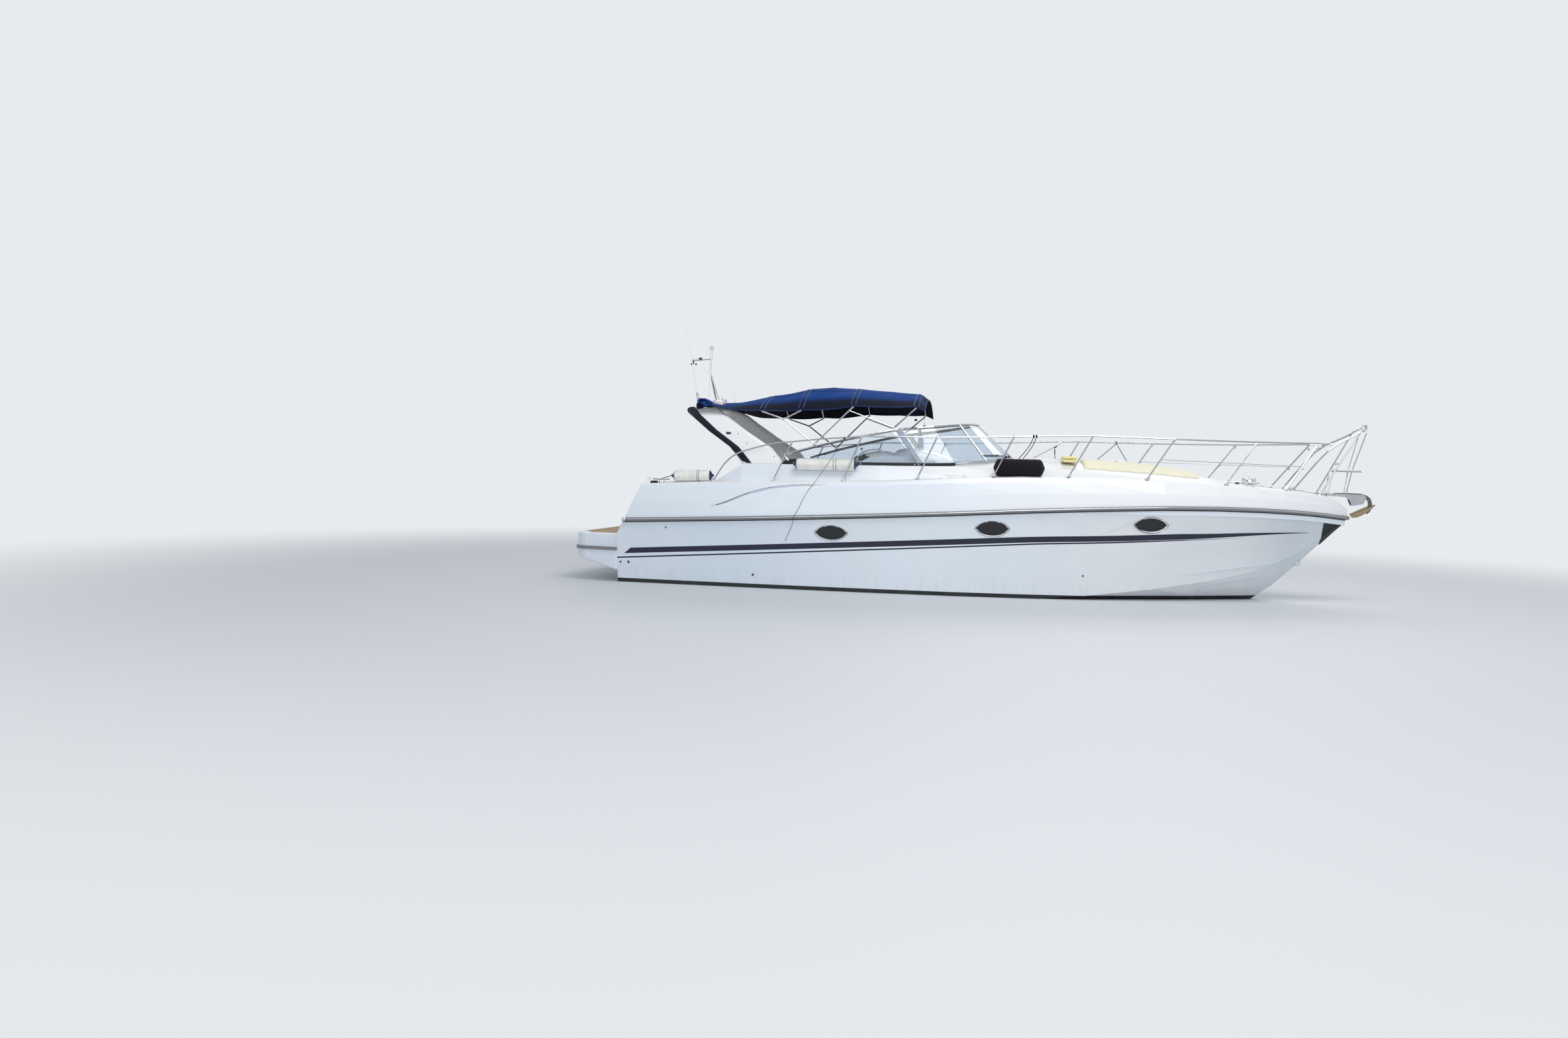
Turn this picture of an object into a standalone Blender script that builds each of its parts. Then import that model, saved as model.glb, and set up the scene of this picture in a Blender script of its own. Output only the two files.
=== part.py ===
"""Sport cruiser of about 11.7 m, modelled as separate panels, fittings and drive gear.

Frame: +X to the bow, +Y to port, +Z up. The origin lies on the waterline at mid-length.
All sizes are metres.
"""
import bpy
import bmesh
import math
from mathutils import Matrix, Vector
import numpy as np

# Fits and walls
GAP = 0.0003
RUNNING_GAP = 0.006
FENDER_SINK = 0.002
HULL_WALL = 0.045
DECK_WALL = 0.04
TUB_WALL = 0.03

# Hull and deck lengths
STEM_X = 5.84
TRANSOM_X = -5.10
COAMING_AFT_X = -4.73
BULKHEAD_X = -2.90
HULL_VOID_FWD_X = 5.05
DECK_VOID_FWD_X = 4.05

# Hull sections. Columns: x, keel z, chine half-breadth, chine z, rail half-breadth, rail z
HULL_STATIONS = (
    (-5.10, -0.60, 1.44, -0.14, 1.64, 0.740),
    (-4.98, -0.60, 1.45, -0.14, 1.68, 0.970),
    (-4.20, -0.61, 1.48, -0.14, 1.74, 1.005),
    (-3.20, -0.62, 1.51, -0.14, 1.80, 1.050),
    (-2.20, -0.63, 1.53, -0.13, 1.84, 1.100),
    (-1.10, -0.64, 1.53, -0.12, 1.85, 1.160),
    (0.00, -0.64, 1.49, -0.09, 1.85, 1.225),
    (1.00, -0.62, 1.40, -0.03, 1.80, 1.290),
    (2.00, -0.57, 1.24, 0.06, 1.69, 1.345),
    (3.00, -0.46, 0.99, 0.18, 1.49, 1.385),
    (3.80, -0.30, 0.72, 0.31, 1.23, 1.395),
    (4.40, -0.08, 0.48, 0.44, 0.96, 1.385),
    (4.80, 0.21, 0.31, 0.58, 0.75, 1.370),
    (5.15, 0.55, 0.16, 0.76, 0.53, 1.350),
    (5.45, 0.86, 0.08, 0.95, 0.32, 1.325),
    (5.68, 1.10, 0.04, 1.14, 0.15, 1.300),
    (5.84, 1.25, 0.02, 1.26, 0.04, 1.285),
)
CHINE_FLAT = 0.055

# Deck sections. Columns: x, edge half-breadth, edge z, side-deck inner half-breadth,
# house half-breadth, house z, crown
DECK_STATIONS = (
    (-4.98, 1.60, 1.52, 1.47, 1.36, 1.535, 0.02),
    (-4.20, 1.63, 1.54, 1.49, 1.38, 1.560, 0.02),
    (-3.60, 1.66, 1.58, 1.50, 1.38, 1.610, 0.02),
    (-3.20, 1.67, 1.60, 1.50, 1.38, 1.8650, 0.02),
    (-2.95, 1.68, 1.61, 1.50, 1.38, 1.8688, 0.02),
    (-2.20, 1.69, 1.62, 1.52, 1.39, 1.880, 0.02),
    (-1.10, 1.70, 1.66, 1.51, 1.38, 1.890, 0.04),
    (0.00, 1.69, 1.730, 1.42, 1.29, 1.905, 0.10),
    (1.00, 1.63, 1.775, 1.28, 1.13, 1.915, 0.14),
    (2.00, 1.52, 1.785, 1.11, 0.95, 1.890, 0.14),
    (3.00, 1.31, 1.775, 0.92, 0.77, 1.840, 0.12),
    (3.80, 1.06, 1.740, 0.69, 0.57, 1.768, 0.07),
    (4.10, 0.94, 1.725, 0.60, 0.50, 1.740, 0.04),
    (4.40, 0.82, 1.708, 0.50, 0.41, 1.718, 0.03),
    (4.80, 0.64, 1.682, 0.38, 0.30, 1.690, 0.015),
    (5.15, 0.43, 1.650, 0.28, 0.20, 1.660, 0.01),
    (5.45, 0.25, 1.605, 0.17, 0.12, 1.612, 0.005),
    (5.68, 0.10, 1.530, 0.07, 0.05, 1.535, 0.003),
    (5.84, 0.025, 1.400, 0.018, 0.012, 1.402, 0.001),
)

# Cockpit
SOLE_Z = 0.95
COCKPIT_AFT_X = -4.44
COCKPIT_FWD_X = -0.35
COCKPIT_HALF_Y = 1.24
LINER_SHELF = 0.06
GATE_Y = (0.505, COCKPIT_HALF_Y - 0.185)
GATE_SILL_Z = 0.985
GATE_TOP_Z = 1.50
GATE_THICK = 0.04
GATE_CLEAR = 0.010
COMPANION_Y = (-0.02, 0.62)
COMPANION_TOP_Z = 1.74
DOOR_THICK = 0.015

# Engine box and its lid
ENGINE_BOX_X = (-4.36, -3.34)
ENGINE_BOX_Y = (LINER_SHELF - COCKPIT_HALF_Y, 0.40)
ENGINE_BOX_TOP_Z = 1.20
LID_THICK = 0.035
SUNPAD_THICK = 0.11

# Cabin sole and the webs under it
SOLE_BELOW_X = (-2.84, 2.00)
SOLE_BELOW_Z = -0.22
SOLE_BELOW_THICK = 0.02
SOLE_EDGE_CLEAR = 0.010
STRINGER_Y = (0.33, 0.37)
STRINGER_END = 0.05

# Engines: two plain blocks on the hull's bearers
ENGINE_X = (-4.62, -3.52)
ENGINE_Y = 0.56
ENGINE_HALF_Y = 0.36
ENGINE_BOTTOM_Z = -0.24
ENGINE_TOP_Z = 0.62
BEARER_SPREAD = 0.44

# Portholes. Columns: name, x, z
PORTHOLES = (
    ("aft", -1.76, 0.88),
    ("mid", 0.58, 1.02),
    ("fwd", 2.83, 1.13),
)
PORTHOLE_LENGTH = 0.47
PORTHOLE_HEIGHT = 0.215
PORTHOLE_SEGMENTS = 8

# Platform
PLATFORM_AFT_X = -5.84
PLATFORM_TOP_Z = 0.74
PLATFORM_HALF_Y = 1.60
PLATFORM_AFT_HALF_Y = 1.50
PLATFORM_CORNER_R = 0.26
PLATFORM_FOOT_Z = 0.18
PLATFORM_TIP_Z = 0.38
PLATFORM_UNDER_LIFT = (0.027, 0.097)
PLATFORM_STRIP_Z = (0.485, 0.535)
PLATFORM_STRIP_DEPTH = 0.022

# Drives
DRIVE_Y = 0.46
STEER_X = -5.25
TILT_X = STEER_X - 0.12
TILT_Z = -0.16

COLLECTION_NAME = "sport_cruiser"

for old in list(bpy.data.objects):
    bpy.data.objects.remove(old, do_unlink=True)

boat = bpy.data.collections.new(COLLECTION_NAME)
bpy.context.scene.collection.children.link(boat)
cutters = bpy.data.collections.new("cutters")
bpy.context.scene.collection.children.link(cutters)

# Colours. Columns: red, green, blue, roughness, metallic
FINISHES = {
    "hull_white": (0.74, 0.80, 0.88, 0.22, 0.0),
    "gelcoat": (0.88, 0.89, 0.90, 0.25, 0.0),
    "steel": (0.62, 0.63, 0.65, 0.18, 1.0),
    "rub_grey": (0.30, 0.31, 0.33, 0.40, 0.2),
    "glass": (0.10, 0.16, 0.22, 0.05, 0.0),
    "canvas": (0.01, 0.06, 0.24, 0.85, 0.0),
    "vinyl": (0.86, 0.84, 0.74, 0.55, 0.0),
    "black": (0.02, 0.02, 0.022, 0.45, 0.0),
    "engine_grey": (0.22, 0.24, 0.26, 0.55, 0.1),
    "drive_grey": (0.10, 0.105, 0.11, 0.45, 0.2),
    "bronze": (0.45, 0.30, 0.14, 0.35, 1.0),
    "iron": (0.16, 0.15, 0.14, 0.65, 0.6),
    "fender_white": (0.85, 0.86, 0.86, 0.45, 0.0),
    "fender_black": (0.03, 0.03, 0.035, 0.75, 0.0),
}


def make_material(name, finish):
    red, green, blue, roughness, metallic = FINISHES[finish]
    mat = bpy.data.materials.new(name)
    mat.use_nodes = True
    shader = mat.node_tree.nodes["Principled BSDF"]
    shader.inputs["Base Color"].default_value = (red, green, blue, 1.0)
    shader.inputs["Roughness"].default_value = roughness
    shader.inputs["Metallic"].default_value = metallic
    return mat


def finish_object(obj, finish, smooth_angle=35):
    """Gives the object its own material, smooth faces and its place in the collection."""
    obj.data.materials.clear()
    obj.data.materials.append(make_material(obj.name + "_material", finish))
    obj.data.shade_smooth()
    obj.data.set_sharp_from_angle(angle=math.radians(smooth_angle))
    return obj


def add_mesh(name, verts, faces, collection=None):
    mesh = bpy.data.meshes.new(name)
    mesh.from_pydata([tuple(v) for v in verts], [], faces)
    bm = bmesh.new()
    bm.from_mesh(mesh)
    bmesh.ops.recalc_face_normals(bm, faces=bm.faces)
    if bm.calc_volume(signed=True) < 0:
        bmesh.ops.reverse_faces(bm, faces=bm.faces)
    bm.to_mesh(mesh)
    bm.free()
    obj = bpy.data.objects.new(name, mesh)
    (collection or boat).objects.link(obj)
    return obj


def loft(name, rings, collection=None, cap=True, back_from=None):
    """Closed solid through rings of equal point count.

    A thin shell gives the index where its back begins: front and back are then split along the same
    diagonals, so that the wall keeps its thickness where the surface twists.
    """
    count = len(rings[0])
    verts = [point for ring in rings for point in ring]
    faces = []
    for i in range(len(rings) - 1):
        for j in range(count):
            k = (j + 1) % count
            a = i * count
            b = (i + 1) * count
            if back_from is None:
                faces.append((a + j, a + k, b + k, b + j))
            elif j < back_from:
                faces.extend(((a + j, a + k, b + k), (a + j, b + k, b + j)))
            else:
                faces.extend(((a + j, a + k, b + j), (a + k, b + k, b + j)))
    if cap:
        faces.append(tuple(range(count))[::-1])
        last = (len(rings) - 1) * count
        faces.append(tuple(last + j for j in range(count)))
    return add_mesh(name, verts, faces, collection)


def prism(name, outline, low, high, axis="Y", collection=None):
    """Outline extruded along an axis: (x, z) pairs for Y, (x, y) pairs for Z, (y, z) pairs for X."""
    def place(pair, level):
        u, v = pair
        if axis == "Y":
            return (u, level, v)
        if axis == "Z":
            return (u, v, level)
        return (level, u, v)
    return loft(name, [[place(p, low) for p in outline], [place(p, high) for p in outline]], collection)


def box(name, low, high, bevel=0.0, segments=2, collection=None):
    obj = prism(name, [(low[0], low[1]), (high[0], low[1]), (high[0], high[1]), (low[0], high[1])],
                low[2], high[2], "Z", collection)
    if bevel:
        round_edges(obj, bevel, segments)
    return obj


def round_edges(obj, width, segments=2, angle=40):
    mod = obj.modifiers.new("rounding", "BEVEL")
    mod.width = width
    mod.segments = segments
    mod.limit_method = "ANGLE"
    mod.angle_limit = math.radians(angle)
    apply_modifiers(obj)


def apply_modifiers(obj):
    deps = bpy.context.evaluated_depsgraph_get()
    evaluated = obj.evaluated_get(deps)
    mesh = bpy.data.meshes.new_from_object(evaluated)
    old = obj.data
    obj.modifiers.clear()
    obj.data = mesh
    mesh.name = old.name
    bpy.data.meshes.remove(old)


def combine(obj, other, operation, solver="EXACT"):
    """Applies a Boolean between two closed objects and removes the second."""
    mod = obj.modifiers.new("combine", "BOOLEAN")
    mod.operation = operation
    mod.solver = solver
    mod.object = other
    bpy.context.view_layer.update()
    apply_modifiers(obj)
    bpy.data.objects.remove(other, do_unlink=True)
    return obj


def join_all(obj, others):
    for other in others:
        combine(obj, other, "UNION")
    return obj


def cut_all(obj, others):
    for other in others:
        combine(obj, other, "DIFFERENCE")
    return obj


def tube(name, points, radius, collection=None, resolution=2, cyclic=False):
    """Round tube along a polyline, made a mesh with welded caps."""
    curve = bpy.data.curves.new(name, "CURVE")
    curve.dimensions = "3D"
    curve.bevel_depth = radius
    curve.bevel_resolution = resolution
    curve.use_fill_caps = not cyclic
    spline = curve.splines.new("POLY")
    spline.points.add(len(points) - 1)
    for target, point in zip(spline.points, points):
        target.co = (*point, 1.0)
    spline.use_cyclic_u = cyclic
    holder = bpy.data.objects.new(name + "_path", curve)
    (collection or boat).objects.link(holder)
    bpy.context.view_layer.update()
    deps = bpy.context.evaluated_depsgraph_get()
    mesh = bpy.data.meshes.new_from_object(holder.evaluated_get(deps))
    bpy.data.objects.remove(holder, do_unlink=True)
    bm = bmesh.new()
    bm.from_mesh(mesh)
    bmesh.ops.remove_doubles(bm, verts=bm.verts, dist=0.00005)
    bmesh.ops.recalc_face_normals(bm, faces=bm.faces)
    bm.to_mesh(mesh)
    bm.free()
    mesh.name = name
    obj = bpy.data.objects.new(name, mesh)
    (collection or boat).objects.link(obj)
    return obj


def cylinder(name, start, end, radius, sides=16, end_radius=None, collection=None):
    """Cylinder or cone between two points."""
    start = Vector(start)
    end = Vector(end)
    span = end - start
    bm = bmesh.new()
    bmesh.ops.create_cone(bm, cap_ends=True, segments=sides, radius1=radius,
                          radius2=radius if end_radius is None else end_radius, depth=span.length)
    turn = Vector((0, 0, 1)).rotation_difference(span.normalized()).to_matrix().to_4x4()
    bmesh.ops.transform(bm, matrix=Matrix.Translation((start + end) / 2) @ turn, verts=bm.verts)
    mesh = bpy.data.meshes.new(name)
    bm.to_mesh(mesh)
    bm.free()
    obj = bpy.data.objects.new(name, mesh)
    (collection or boat).objects.link(obj)
    return obj


def set_origin(obj, pivot):
    """Moves the object's origin to its joint axis, with its shape left in place."""
    pivot = Vector(pivot)
    obj.data.transform(Matrix.Translation(-pivot))
    obj.location = pivot
    return obj


def smooth_points(points, steps):
    """Catmull-Rom points through the given ones."""
    pts = [np.array(p, float) for p in points]
    pts = [2 * pts[0] - pts[1]] + pts + [2 * pts[-1] - pts[-2]]
    out = []
    for i in range(1, len(pts) - 2):
        for s in range(steps):
            t = s / steps
            a, b, c, d = pts[i - 1], pts[i], pts[i + 1], pts[i + 2]
            out.append(0.5 * (2 * b + (c - a) * t + (2 * a - 5 * b + 4 * c - d) * t * t
                              + (3 * b - a - 3 * c + d) * t ** 3))
    out.append(pts[-2])
    return [tuple(p) for p in out]


def column(table, index, x):
    """Value of one table column at a station between the listed ones."""
    return float(np.interp(x, [row[0] for row in table], [row[index] for row in table]))


def rail_y(x):
    return column(HULL_STATIONS, 4, x)


def rail_z(x):
    return column(HULL_STATIONS, 5, x)


def edge_y(x):
    return column(DECK_STATIONS, 1, x)


def edge_z(x):
    return column(DECK_STATIONS, 2, x)


def hull_half(row, inset=0.0):
    """Half section of the hull from the keel to the rail as (y, z) pairs."""
    x, keel, chine_y, chine_z, top_y, top_z = row
    lift = inset * 1.15
    chine_y = max(chine_y - inset, 0.004)
    chine_z = chine_z + lift * 0.6
    keel = keel + lift * 1.4
    top_y = max(top_y - inset, 0.006)
    chine_z = max(chine_z, keel + 0.005)
    flat = min(CHINE_FLAT, chine_y * 0.4, (top_y - chine_y) * 0.3 if top_y > chine_y else 0.0)
    flare = 0.035 * max(0.0, min(1.0, (x - 1.0) / 2.5)) * min(1.0, top_y / 0.5)
    low = np.array((chine_y + flat, chine_z + flat * 0.1))
    high = np.array((top_y, top_z))
    third = low + (high - low) * 0.33 - np.array((flare, 0.0))
    twothirds = low + (high - low) * 0.67 - np.array((flare * 0.85, 0.0))
    return [(0.0, keel), (chine_y * 0.5, keel + (chine_z - keel) * 0.47), (chine_y, chine_z),
            tuple(low), tuple(third), tuple(twothirds), (top_y, top_z)]


def hull_ring(row, inset=0.0, lift_top=0.0):
    half = hull_half(row, inset)
    x = row[0]
    if lift_top:
        half = half + [(half[-1][0], half[-1][1] + lift_top)]
    port = [(x, y, z) for y, z in half]
    starboard = [(x, -y, z) for y, z in half[:0:-1]]
    return port + starboard


def station(table, x):
    """A full table row interpolated at x."""
    return (x,) + tuple(column(table, i, x) for i in range(1, len(table[0])))


def hull_stations_between(low, high):
    inner = [row for row in HULL_STATIONS if low + 0.02 < row[0] < high - 0.02]
    return [station(HULL_STATIONS, low)] + inner + [station(HULL_STATIONS, high)]


def make_hull():
    hull = loft("hull", [hull_ring(row) for row in HULL_STATIONS])
    voids = (
        (TRANSOM_X + HULL_WALL, BULKHEAD_X - HULL_WALL / 2, "engine_room_void"),
        (BULKHEAD_X + HULL_WALL / 2, HULL_VOID_FWD_X, "cabin_void"),
    )
    for low, high, name in voids:
        rings = [hull_ring(row, HULL_WALL, 0.4) for row in hull_stations_between(low, high)]
        combine(hull, loft(name, rings, cutters), "DIFFERENCE")
    combine(hull, transom_cap(), "UNION")
    liner_seat = box("liner_seat", (BULKHEAD_X - 0.2, -COCKPIT_HALF_Y - 0.01, SOLE_Z - TUB_WALL - GAP),
                     (BULKHEAD_X + 0.2, COCKPIT_HALF_Y + 0.01, 2.0), collection=cutters)
    combine(hull, liner_seat, "DIFFERENCE")
    bearers = []
    for side in (-1, 1):
        for offset in (-BEARER_SPREAD / 2, BEARER_SPREAD / 2):
            y = side * ENGINE_Y + offset
            bottom = -0.55 + abs(y) * 0.30
            bearers.append(box("bearer", (ENGINE_X[0] - 0.1, y - 0.03, bottom),
                               (ENGINE_X[1] + 0.2, y + 0.03, ENGINE_BOTTOM_Z - GAP)))
    join_all(hull, bearers + [stringer(side) for side in (-1, 1)])
    for spec in PORTHOLES:
        for side in (-1, 1):
            combine(hull, porthole_solid("porthole_cut", spec, side, 0.3, 0.0), "DIFFERENCE")
    return finish_object(hull, "hull_white")


# Solid head of the transom, under the sloping edge that runs up to the deck moulding
TRANSOM_CAP_FWD_X = -4.965
TRANSOM_CAP_Z = 0.66
TRANSOM_CAP_DROP = 0.004


def transom_cap():
    rows = hull_stations_between(TRANSOM_X + 0.01, TRANSOM_CAP_FWD_X)
    rows = [row[:5] + (row[5] - TRANSOM_CAP_DROP,) for row in rows]
    cap = loft("transom_cap", [hull_ring(row, HULL_WALL / 2) for row in rows])
    below = box("cap_cut", (TRANSOM_X - 0.1, -2.5, -1.5), (TRANSOM_CAP_FWD_X + 0.1, 2.5, TRANSOM_CAP_Z),
                collection=cutters)
    return combine(cap, below, "DIFFERENCE")


def stringer(side):
    """Lengthwise web that carries the cabin sole, let into the bottom laminate."""
    inner, outer = STRINGER_Y
    rows = hull_stations_between(SOLE_BELOW_X[0] + STRINGER_END, SOLE_BELOW_X[1] - STRINGER_END)
    foot = []
    for row in rows:
        half = hull_half(row)[:3]
        bottom = float(np.interp(inner, [q[0] for q in half], [q[1] for q in half]))
        foot.append((row[0], bottom + HULL_WALL * 0.8))
    top = SOLE_BELOW_Z - SOLE_BELOW_THICK - GAP
    outline = foot + [(foot[-1][0], top), (foot[0][0], top)]
    low, high = sorted((side * inner, side * outer))
    return prism("stringer", outline, low, high, "Y")


def side_point(x, z):
    """Hull side point at a station and height, with its outward normal on the port side."""
    def half_breadth(at_x, at_z):
        half = hull_half(station(HULL_STATIONS, at_x))
        return float(np.interp(at_z, [p[1] for p in half[3:]], [p[0] for p in half[3:]]))
    d = 0.05
    y = half_breadth(x, z)
    slope_x = (half_breadth(x + d, z) - half_breadth(x - d, z)) / (2 * d)
    slope_z = (half_breadth(x, z + d) - half_breadth(x, z - d)) / (2 * d)
    along = Vector((1, slope_x, 0)).normalized()
    up = Vector((0, slope_z, 1)).normalized()
    normal = along.cross(up)
    if normal.y < 0:
        normal = -normal
    return Vector((x, y, z)), along, up, normal.normalized()


def pointed_oval(length, height, segments, shrink=0.0):
    """Two equal arcs that meet in a point at each end, as (u, v) pairs."""
    half_l = length / 2 - shrink
    half_h = height / 2 - shrink
    points = []
    for sign in (1, -1):
        for i in range(segments):
            t = i / segments
            u = sign * (half_l - 2 * half_l * t)
            v = sign * half_h * (1 - (u / half_l) ** 2) ** 0.72
            points.append((u, v))
    return points


def porthole_solid(name, spec, side, depth, shrink, collection=None, outset=0.1):
    label, x, z = spec
    centre, along, up, normal = side_point(x, z)
    rings = []
    for level in (outset - depth, outset):
        ring = []
        for u, v in pointed_oval(PORTHOLE_LENGTH, PORTHOLE_HEIGHT, PORTHOLE_SEGMENTS, shrink):
            p = centre + along * u + up * v + normal * level
            ring.append((p.x, side * p.y, p.z))
        rings.append(ring)
    return loft(name, rings, collection)


PANE_THICK = 0.012
PANE_RECESS = 0.010


def make_portholes():
    for spec in PORTHOLES:
        for side, word in ((-1, "starboard"), (1, "port")):
            pane = porthole_solid("porthole_" + word + "_" + spec[0], spec, side, PANE_THICK, GAP,
                                  outset=-PANE_RECESS)
            finish_object(pane, "glass")


def deck_half(row, inset=0.0):
    """Half section of the deck from the rail to the centre as (y, z) pairs."""
    x, ey, ez, sy, hy, hz, crown = row
    ry = max(rail_y(min(x, STEM_X)) - inset, 0.006)
    rz = rail_z(min(x, STEM_X)) + GAP
    ey = max(ey - inset, 0.005)
    sy = max(sy - inset, 0.004)
    hy = max(hy - inset, 0.003)
    ez, hz = ez - inset, hz - inset
    bulge = ry + (ey - ry) * 0.42
    fullness = 0.012 * min(1.0, ry / 0.8) ** 2
    return [(ry, rz), (bulge + fullness, rz + (ez - rz) * 0.5),
            (ey + (ry - ey) * 0.22, rz + (ez - rz) * 0.86),
            (ey, ez - 0.012), (ey - (ey - sy) * 0.25, ez + 0.006), (sy, ez + 0.012),
            (hy, hz), (hy * 0.55, hz + crown * 0.7), (0.0, hz + crown)]


def slant(x, z):
    """Forward lean of the aft face above the rail."""
    lean = (COAMING_AFT_X - DECK_STATIONS[0][0]) / (DECK_STATIONS[0][2] - rail_z(DECK_STATIONS[0][0]))
    if x > DECK_STATIONS[0][0] + 0.01:
        return x
    return x + max(0.0, z - rail_z(x)) * lean


def deck_ring(row, inset=0.0, bottom=None):
    half = deck_half(row, inset)
    x = row[0]
    if bottom is not None:
        half[0] = (half[0][0], bottom)
    port = [(slant(x, z), y, z) for y, z in half]
    starboard = [(slant(x, z), -y, z) for y, z in half[-2::-1]]
    return port + starboard


def deck_solid(name, low, high, inset, bottom, collection=cutters):
    rows = [row for row in DECK_STATIONS if low + 0.02 < row[0] < high - 0.02]
    rows = [station(DECK_STATIONS, low)] + rows + [station(DECK_STATIONS, high)]
    return loft(name, [deck_ring(row, inset, bottom) for row in rows], collection)


def seat_on_deck(obj):
    """Trims a sunk foot to the deck's own facets, with a hair's gap."""
    seat = loft("seat_cut", [deck_ring(row) for row in DECK_STATIONS], cutters)
    seat.data.transform(Matrix.Translation((0, 0, 2 * GAP)))
    return combine(obj, seat, "DIFFERENCE")


FORE_HATCH_X = (1.20, 1.66)
FORE_HATCH_HALF_Y = 0.24
LOCKER_X = (4.62, 5.02)
LOCKER_HALF_Y = 0.17
HATCH_COAMING_Z = 2.075
HATCH_KNUCKLE_R = 0.014
HATCH_KNUCKLE_Y = (0.11, 0.19)


def make_deck():
    deck = loft("deck", [deck_ring(row) for row in DECK_STATIONS])
    low = DECK_STATIONS[0][0] + 0.34
    combine(deck, deck_solid("deck_void", low, DECK_VOID_FWD_X, DECK_WALL, 0.6), "DIFFERENCE")
    well = box("well", (COCKPIT_AFT_X, -COCKPIT_HALF_Y, 0.5), (COCKPIT_FWD_X, COCKPIT_HALF_Y, 3.0),
               collection=cutters)
    combine(deck, well, "DIFFERENCE")
    gate = box("gate_cut", (-5.4, GATE_Y[0], 0.5), (COCKPIT_AFT_X + 0.1, GATE_Y[1], 3.0), collection=cutters)
    combine(deck, gate, "DIFFERENCE")
    coaming = box("coaming", (FORE_HATCH_X[0] - HATCH_KNUCKLE_R, -FORE_HATCH_HALF_Y, HATCH_COAMING_Z - 0.06),
                  (FORE_HATCH_X[1], FORE_HATCH_HALF_Y, HATCH_COAMING_Z))
    combine(deck, coaming, "UNION")
    hatch = box("hatch_cut", (FORE_HATCH_X[0] + 0.03, -FORE_HATCH_HALF_Y + 0.03, 1.5),
                (FORE_HATCH_X[1] - 0.03, FORE_HATCH_HALF_Y - 0.03, 3.0), collection=cutters)
    combine(deck, hatch, "DIFFERENCE")
    locker = box("locker_cut", (LOCKER_X[0], -LOCKER_HALF_Y, 1.50), (LOCKER_X[1], LOCKER_HALF_Y, 3.0),
                 collection=cutters)
    combine(deck, locker, "DIFFERENCE")
    for side in (-1, 1):
        combine(deck, recess_solid(side), "DIFFERENCE")
    return finish_object(deck, "gelcoat")


# Sculpted hollow in the topsides. Columns: x, upper edge z, lower edge z
TOPSIDE_HOLLOW = (
    (-3.62, 1.214, 1.206),
    (-3.38, 1.287, 1.230),
    (-3.05, 1.426, 1.262),
    (-2.71, 1.520, 1.315),
    (-2.38, 1.566, 1.385),
    (-2.10, 1.580, 1.460),
    (-1.83, 1.588, 1.580),
)
HOLLOW_DEPTH = 0.022


def recess_solid(side):
    """Wedge that cuts the hollow: deepest under its upper edge, fading out at the lower one."""
    def skin_y(x, z):
        half = deck_half(station(DECK_STATIONS, x))[:4]
        return float(np.interp(z, [q[1] for q in half], [q[0] for q in half]))
    rings = []
    for x, upper, lower in TOPSIDE_HOLLOW:
        depth = HOLLOW_DEPTH * min(1.0, (upper - lower) / 0.05)
        middle = (upper + lower) / 2
        inner = ((skin_y(x, lower) + 0.001, lower), (skin_y(x, middle) - depth * 0.45, middle),
                 (skin_y(x, upper) - depth, upper))
        outer = ((skin_y(x, upper) + 0.15, upper + 0.004), (skin_y(x, lower) + 0.15, lower - 0.004))
        rings.append([(x, side * y, z) for y, z in inner + outer])
    return loft("hollow", rings, cutters)


# Seats: bases moulded into the cockpit liner, and the cushions on them
SEAT_HALF_Y = COCKPIT_HALF_Y - LINER_SHELF
HELM_SEAT_X = (-2.42, -2.02)
HELM_SEAT_Y = (LINER_SHELF - SEAT_HALF_Y, -0.16)
HELM_SEAT_Z = 1.42
BENCH_X = (-3.24, -2.76)
LOUNGE_X = (-2.30, -0.62)
LOUNGE_Y = (0.66, SEAT_HALF_Y + 0.01)
BENCH_Z = 1.28
CUSHION_THICK = 0.12
CUSHION_SETBACK = 0.01
CUSHION_ROUND = 0.03
BENCH_Y = (-SEAT_HALF_Y, ENGINE_BOX_Y[1])
# Seat bases. Columns: x range, y range, top z
SEAT_BASES = (
    (HELM_SEAT_X, HELM_SEAT_Y, HELM_SEAT_Z),
    (BENCH_X, BENCH_Y, BENCH_Z),
    (LOUNGE_X, LOUNGE_Y, BENCH_Z),
)


# Floor of the walkway between the cockpit and the gate
STEP_GAP = 0.002


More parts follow.
